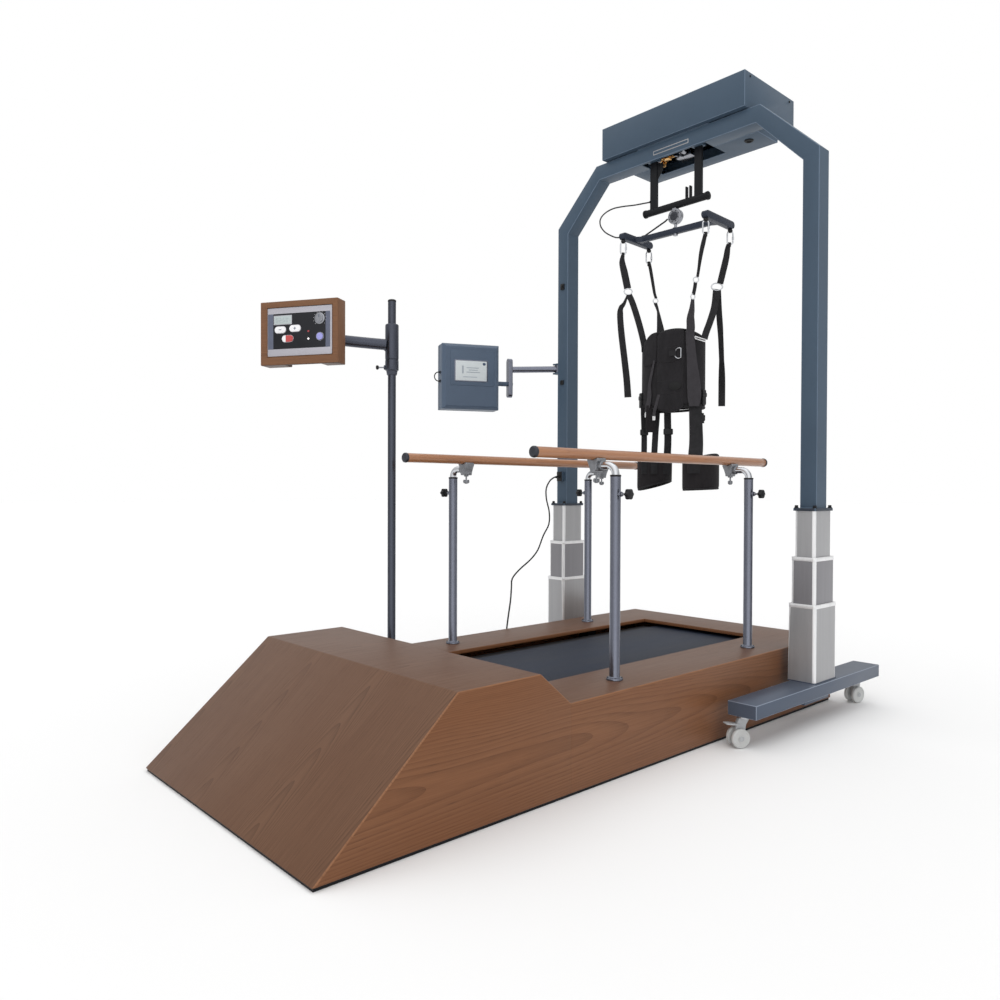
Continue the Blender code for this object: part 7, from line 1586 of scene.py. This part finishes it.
def makeVestStraps():
    # loose ends with bright tips on the left, the side adjusters, the D ring and the slide at the right shoulder
    loose = [strap(smoothPath(onPath(((261.9, 1.6093), (257.5, 1.5591), (251.9, 1.4959), (251.2, 1.4307),
                                      (245.5, 1.3754), (242.5, 1.3560)), 0.0175), 0.012),
                   (0.011, 0.015, 0.018, 0.027, 0.031, 0.022), [alongVest(256)], 0.0026),
             strap(smoothPath(onPath(((274.6, 1.4671), (269.0, 1.4127), (263.5, 1.3622), (262.2, 1.3400)), 0.0195),
                              0.012),
                   (0.016, 0.0175, 0.0175), [alongVest(266)], 0.0026)]
    finished(joined(loose), "looseEnds", "spreader", "broadWebbing")
    tips = []
    for degrees, height, wide in ((241.9, 1.3520, 0.0135), (261.9, 1.3330, 0.0165)):
        at, out, side = spotOn(degrees, height, 0.0175)
        tips.append(cutOut(roundedBox(wide, 0.027, 0.005, 4), -0.0024, 0.0024, 0.001, 2, facing(at, side, out)))
    finished(joined(tips), "strapTips", "spreader", "aluminiumRim")
    hanging = strap([hang(-0.119, 0.022, 1.395), hang(-0.1205, 0.020, 1.330), hang(-0.1200, 0.018, 1.264)],
                    (0.050, 0.048, 0.046), [harnessSide], 0.008)
    finished(softEdges(hanging, 0.002), "sideFlap", "spreader", "cuffCloth")
    buckles = []
    for degrees, height, proud in ((222, 1.4265, 0.014), (2, 1.425, 0.006)):
        at, out, side = spotOn(degrees, height, proud)
        move = facing(at, side, out)
        buckles.append(cutOut(roundedBox(0.030, 0.074, 0.007, 4), -0.006, 0.008, 0.003, 3, move))
        buckles.append(cutOut(roundedBox(0.036, 0.020, 0.004, 3, (0, 0.012)), -0.005, 0.010, 0.0015, 2, move))
    finished(joined(buckles), "sideAdjusters", "spreader", "blackPlastic")
    at, out, side = spotOn(306.5, 1.630, 0.0300)
    lean = (side * 0.72 + out * 0.35).normalized()
    ring = tube([at + lean * x + upward * z for x, z in arc((0, 0), 0.0245, 62, 298, 22)], 0.0025, 10, True)
    finished(ring, "chestRing", "spreader", "chrome")
    tab = strap(onPath(((290, 1.632), (296, 1.633), (301, 1.633)), 0.024), [0.026], [upward], 0.0026)
    finished(tab, "chestRingTab", "spreader", "webbing")
    left, right = onVest(334.4, 1.7044, 0.0150), onVest(3.7, 1.6945, 0.0130)
    slide = [left + (right - left) * share + upward * dz
             for share, dz in ((0.04, -0.0052), (0.96, -0.0052), (1.0, -0.0030), (1.0, 0.0030), (0.96, 0.0052),
                               (0.04, 0.0052), (0.0, 0.0030), (0.0, -0.0030))]
    finished(tube(slide, 0.0030, 12, True), "shoulderSlide", "spreader", "aluminiumRim")


def ringAt(point, side, across, up, wire=0.0026):
    # an oval ring that hangs across the strap
    return tube([point + side * across * x + upward * up * z for x, z in arc((0, 0), 1.0, 0, 345, 23)], wire, 10, True)


def makeSling(name):
    values = slings[name]
    parts = []
    for points, widths, twists in values["bands"]:
        sides = [harnessSide * math.cos(turn) + harnessFront * math.sin(turn) for turn in map(math.radians, twists)]
        parts.append(strap(smoothPath([hang(*point) for point in points], 0.014), widths, sides, 0.003))
    top = values["bands"][0][0][0]
    over = ((0.0045, -0.020), (0.0056, -0.006), (0.0032, 0.0012),
            (-0.0032, 0.0012), (-0.0056, -0.006), (-0.0045, -0.020))
    loop = [hang(top[0], top[1] + dy, top[2] + dz) for dy, dz in over]
    parts.append(strap(smoothPath(loop, 0.004), [0.013], [harnessSide], 0.0024))
    finished(joined(parts), name + "Strap", "spreader", "webbing")
    rings = [ringAt(hang(*at), harnessSide, across, up, 0.0030 if across > 0.018 else 0.0024)
             for at, across, up in values["rings"]]
    finished(joined(rings), name + "Ring", "spreader", "chrome")


def makeCuff(name, x, slant, legStraps):
    body = name + "_thigh_cuff"

    def top(turn):
        return 1.140 + 0.008 * math.cos(2 * turn)

    def bottom(turn):
        return 0.985 + slant * (1 - math.cos(turn - math.radians(200))) / 2

    centre = (x, gantryY)
    shell = paddedTube(centre, (0.080, 0.080), top, bottom, 0.010, 0.005, 0.003, 60)
    finished(shell, name + "Cuff", body, "cuffCloth", body, 60)
    steps = 60
    binding = []
    for level, lift in ((top, 0.002), (bottom, -0.002)):
        binding.append(tube([(x + 0.080 * math.cos(t), gantryY + 0.080 * math.sin(t), level(t) + lift)
                             for t in (2 * math.pi * i / steps for i in range(steps))], 0.0048, 10, True))
    finished(joined(binding), name + "CuffBinding", body, "webbing")
    parts, metal = [], []
    for points, widths, buckle in legStraps:
        parts.append(strap(smoothPath([hang(*point) for point in points], 0.012), widths, [harnessSide], 0.003))
        if buckle:
            metal.append(cutOut(roundedBox(widths[0] + 0.012, 0.030, 0.005, 4), -0.004, 0.007, 0.0022, 3,
                                facing(hang(*buckle), harnessSide, harnessFront)))
    finished(joined(parts), name + "LegStraps", body, "webbing")
    if metal:
        finished(joined(metal), name + "LegBuckles", body, "blackPlastic")


makeVest()
makeCuff("left", -0.157, 0.045, (
    (((-0.146, -0.036, 1.398), (-0.1452, -0.038, 1.360), (-0.1410, -0.042, 1.2625), (-0.1435, -0.028, 1.172),
      (-0.1450, -0.020, 1.130), (-0.1450, -0.020, 1.060)), (0.0280, 0.0280), (-0.1415, -0.040, 1.268)),
    (((-0.088, 0.010, 1.380), (-0.0895, 0.004, 1.320), (-0.0920, -0.004, 1.268), (-0.0980, 0.002, 1.172),
      (-0.1000, 0.005, 1.130), (-0.1000, 0.005, 1.060)), (0.0300, 0.0300), None),
    (((-0.0405, 0.030, 1.385), (-0.0395, 0.026, 1.340), (-0.0330, 0.006, 1.2336), (-0.0330, -0.002, 1.172),
      (-0.0340, -0.006, 1.130), (-0.0340, -0.006, 1.060)), (0.0340, 0.0360), (-0.0330, 0.010, 1.268))))
makeCuff("right", 0.112, 0.0075, (
    (((0.0720, 0.128, 1.392), (0.0709, 0.132, 1.3747), (0.0688, 0.160, 1.2195), (0.0590, 0.190, 1.155),
      (0.0560, 0.194, 1.120), (0.0560, 0.192, 1.060)), (0.0600, 0.0700), None),
    (((0.1020, 0.120, 1.350), (0.1000, 0.130, 1.325), (0.0980, 0.145, 1.300)), (0.0240, 0.0240),
     (0.0990, 0.130, 1.325))))
print("cuffs")

# Display

display = {"centre": (-1.100, 0.549, 1.598), "turn": math.radians(64.5), "half": (0.160, 0.060, 0.178)}
displayFrame = Matrix.Translation(display["centre"]) @ Matrix.Rotation(display["turn"], 4, "Z")


def makeDisplay():
    arm = refined("display_arm", 0.0022, (), 3, 0.012)
    finished(arm, "displayArm", "display_arm", "darkPaint", "display_arm", 34)
    case = refined("display_case", 0.0022, (), 3, 0.05)
    finished(case, "displayCase", "display", "displayPaint", "display_case", 30)
    front = -display["half"][1]

    def plate(outline, near, far, width=0.0006):
        return settle(cutOut(outline, near, far, width, 2), displayFrame @ faceOn)

    frame_ = plate(boxOutline(-0.1180, 0.1300, -0.0500, 0.1420, 0.006), front - 0.0025, front + 0.001, 0.0018)
    finished(frame_, "screenSurround", "display", "displayPaint")
    bezel = plate(boxOutline(-0.0970, 0.0910, -0.0290, 0.0890, 0.006), front - 0.0050, front - 0.001, 0.0015)
    finished(bezel, "screenBezel", "display", "darkPaint")
    glass = plate(boxOutline(-0.0905, 0.0845, -0.0235, 0.0830, 0.003), front - 0.0056, front - 0.002, 0.0004)
    finished(glass, "screenGlass", "display", "screenGlass")
    bars = [plate(boxOutline(left, right, z - 0.0022, z + 0.0022, 0.001), front - 0.0060, front - 0.0050, 0)
            for left, right, z in ((-0.030, 0.040, 0.046), (-0.030, 0.046, 0.022), (-0.050, 0.030, -0.004),
                                   (-0.018, 0.034, 0.034))]
    bars.append(plate(boxOutline(-0.0545, -0.0455, 0.014, 0.056, 0.002), front - 0.0060, front - 0.0050, 0))
    finished(joined(bars), "screenMarks", "display", "inkGrey")
    spot = plate(roundedBox(0.016, 0.014, 0.005, 4, (0.0700, 0.0690)), front - 0.0062, front - 0.0050, 0.0004)
    finished(spot, "screenSpot", "display", "inkDark")
    back = display["half"][1]
    seam = settle(rimBand(0.1606, 0.1786, 0.0016, back - 0.030), displayFrame)
    finished(seam, "displaySeam", "display", "blackPlastic")
    slots = [plate(boxOutline(-0.09 + 0.03 * i, -0.072 + 0.03 * i, -0.12, -0.05, 0.004), back - 0.0005, back + 0.0006,
                   0.0003) for i in range(6)]
    finished(joined(slots), "displayVents", "display", "blackPlastic")
    corners = [displayFrame @ pointing((sx * 0.140, back, sz * 0.158), (0, 1, 0)) for sx in (-1, 1) for sz in (-1, 1)]
    finished(copies(screw(0.0045, 0.0024), corners), "displayScrews", "display", "blackSteel")
    loop = [displayFrame @ Vector(point) for point in
            ((-0.1605, 0.0, 0.024), (-0.170, 0.0, 0.0255), (-0.186, 0.0, 0.018), (-0.1935, 0.0, 0.0),
             (-0.186, 0.0, -0.018), (-0.170, 0.0, -0.0255), (-0.1605, 0.0, -0.024))]
    route = smoothPath(loop, 0.006)
    cable = layCurve(route, 0.003, 12)
    cable.name = cable.data.name = "displayCable"
    cable.data.materials.append(looks["cableBlack"])
    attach(cable, "display")
    tuple(route[0])
    pathLength(route)
    side = (displayFrame.to_3x3() @ acrossX).normalized()
    glands = [turned([(0.0075, -0.001), (0.0075, 0.003), (0.0060, 0.006), (0.0040, 0.0075)], 20,
                     displayFrame @ Vector((-0.160, 0, z)), -side) for z in (0.024, -0.024)]
    finished(joined(glands), "displayGlands", "display", "rubberBlack")
    print("display")


def rimBand(halfWidth, halfHeight, depth, at):
    # a thin band round the display's case where its two shells meet
    obj = openEnds(block((-halfWidth, at, -halfHeight), (halfWidth, at + depth, halfHeight), 0), acrossY)
    change(obj, "SOLIDIFY", thickness=0.0012, offset=-1.0)
    return faceOut(obj)


makeDisplay()

# Castors

casters = {"near_front": (0.6733, 0.436, -30), "near_rear": (0.6733, 1.434, -16), "far_front": (-0.7533, 0.436, -12),
           "far_rear": (-0.7533, 1.434, 25)}


def makeCaster(name, x, y, degrees):
    # local frame: the stem on Z, the wheels behind it on -Y, the axle along X
    move = Matrix.Translation((x, y, 0)) @ Matrix.Rotation(math.radians(degrees), 4, "Z")
    trail, r = -0.026, 0.0375
    wheels = []
    for side in (-1, 1):
        wheels.append(turned([(0.0080, 0.0122), (0.0300, 0.0122), (0.0345, 0.0128), (0.0368, 0.0148), (0.0375, 0.0175),
                              (0.0375, 0.0225), (0.0366, 0.0256), (0.0340, 0.0276), (0.0305, 0.0280), (0.0290, 0.0264),
                              (0.0130, 0.0258), (0.0118, 0.0282), (0.0060, 0.0288)], 48, (0, trail, r), (side, 0, 0)))
    finished(settle(joined(wheels), move), name.replace("_", "") + "Wheels", name + "_caster_wheel", "wheelRubber",
             name + "_caster_wheel")
    caps = [turned([(0.0098, 0.0284), (0.0098, 0.0296), (0.0080, 0.0304), (0.0040, 0.0306)], 24, (0, trail, r),
                   (side, 0, 0)) for side in (-1, 1)]
    finished(settle(joined(caps), move), name.replace("_", "") + "HubCaps", name + "_caster_wheel", "greyPlastic")
    top = 0.1217
    plate = turned([(0.0240, top - 0.0112), (0.0282, top - 0.0100), (0.0290, top - 0.0080), (0.0290, top - 0.0052),
                    (0.0260, top - 0.0044), (0.0260, top - 0.0030), (0.0285, top - 0.0022), (0.0285, top - 0.0004)], 40)
    stem = turned([(0.0080, top - 0.0008), (0.0080, 0.1500), (0.0072, 0.1512)], 20)
    finished(settle(joined([plate, stem]), move), name.replace("_", "") + "Swivel", name + "_caster_fork", "chrome")
    outline = [(0.0165, top - 0.0105), (0.0150, top - 0.0180), (0.0040, 0.0870), (-0.0010, 0.0560)]
    outline += arc((trail, r), 0.0155, 25, -165, 14)
    outline += [(-0.0440, 0.0560), (-0.0390, 0.0800), (-0.0290, top - 0.0160), (-0.0260, top - 0.0105)]
    leg = cutOut(outline, -0.0100, 0.0100, 0.003, 3, sideOn)
    axle = turned([(0.0058, -0.0122), (0.0058, 0.0122)], 20, (0, trail, r), acrossX)
    finished(settle(joined([leg, axle]), move), name.replace("_", "") + "Fork", name + "_caster_fork", "greyPlastic",
             name + "_caster_fork", 34)
    if name.endswith("front"):
        pedal = cutOut([(-0.017, -0.020), (0.017, -0.020), (0.020, -0.060), (0.015, -0.082), (-0.015, -0.082),
                        (-0.020, -0.060)], 0.0, 0.0045, 0.0016, 2,
                       Matrix.Translation((0, 0, 0.0830)) @ Matrix.Rotation(math.radians(-6), 4, "X"))
        finished(settle(pedal, move), name.replace("_", "") + "Brake", name + "_caster_fork", "greyPlastic")


for casterName, (casterX, casterY, casterTurn) in casters.items():
    makeCaster(casterName, casterX, casterY, casterTurn)
print("castors")

# Floor, light and background

studio = {"floor": 0.87, "all": 0.60, "front": 0.90, "over": 1.0}


class Sky(Finish):
    # the same node helpers, on the world
    def __init__(self, world):
        world.use_nodes = True
        self.tree = world.node_tree


def makeStudio():
    # a white room: bright behind the camera and above, dimmer at the sides, and plain white where it is seen
    scene = bpy.context.scene
    scene.view_settings.view_transform = "Standard"
    scene.view_settings.look = "None"
    scene.world = bpy.data.worlds.new("studio")
    sky = Sky(scene.world)
    way = sky.node("ShaderNodeTexCoord")
    front = sky.along(way, (math.sin(harness["turn"]), -math.cos(harness["turn"]), 0)).capped()
    over = sky.along(way, upward).capped()
    level = front ** 3 * studio["front"] + over ** 2 * studio["over"] + studio["all"]
    light = sky.node("ShaderNodeBackground", None, {"Color": sky.point(level, level, level)})
    seen = sky.node("ShaderNodeBackground", None, {"Color": (1, 1, 1, 1)})
    eye = sky.node("ShaderNodeLightPath")
    both = sky.node("ShaderNodeMixShader", None, {0: eye, 1: light, 2: seen})
    sky.give(sky.tree.nodes["World Output"].inputs[0], both)
    rest()
    bpy.ops.mesh.primitive_plane_add(size=120, location=(0, 0, -0.0002))
    floor = bpy.context.object
    floor.name = "studioFloor"
    paper = Finish("floorPaper", {"Roughness": 0.9, "Specular IOR Level": 0.0})
    paper.feed("Base Color", (studio["floor"], studio["floor"], studio["floor"], 1.0))
    floor.data.materials.append(paper.material)


makeStudio()
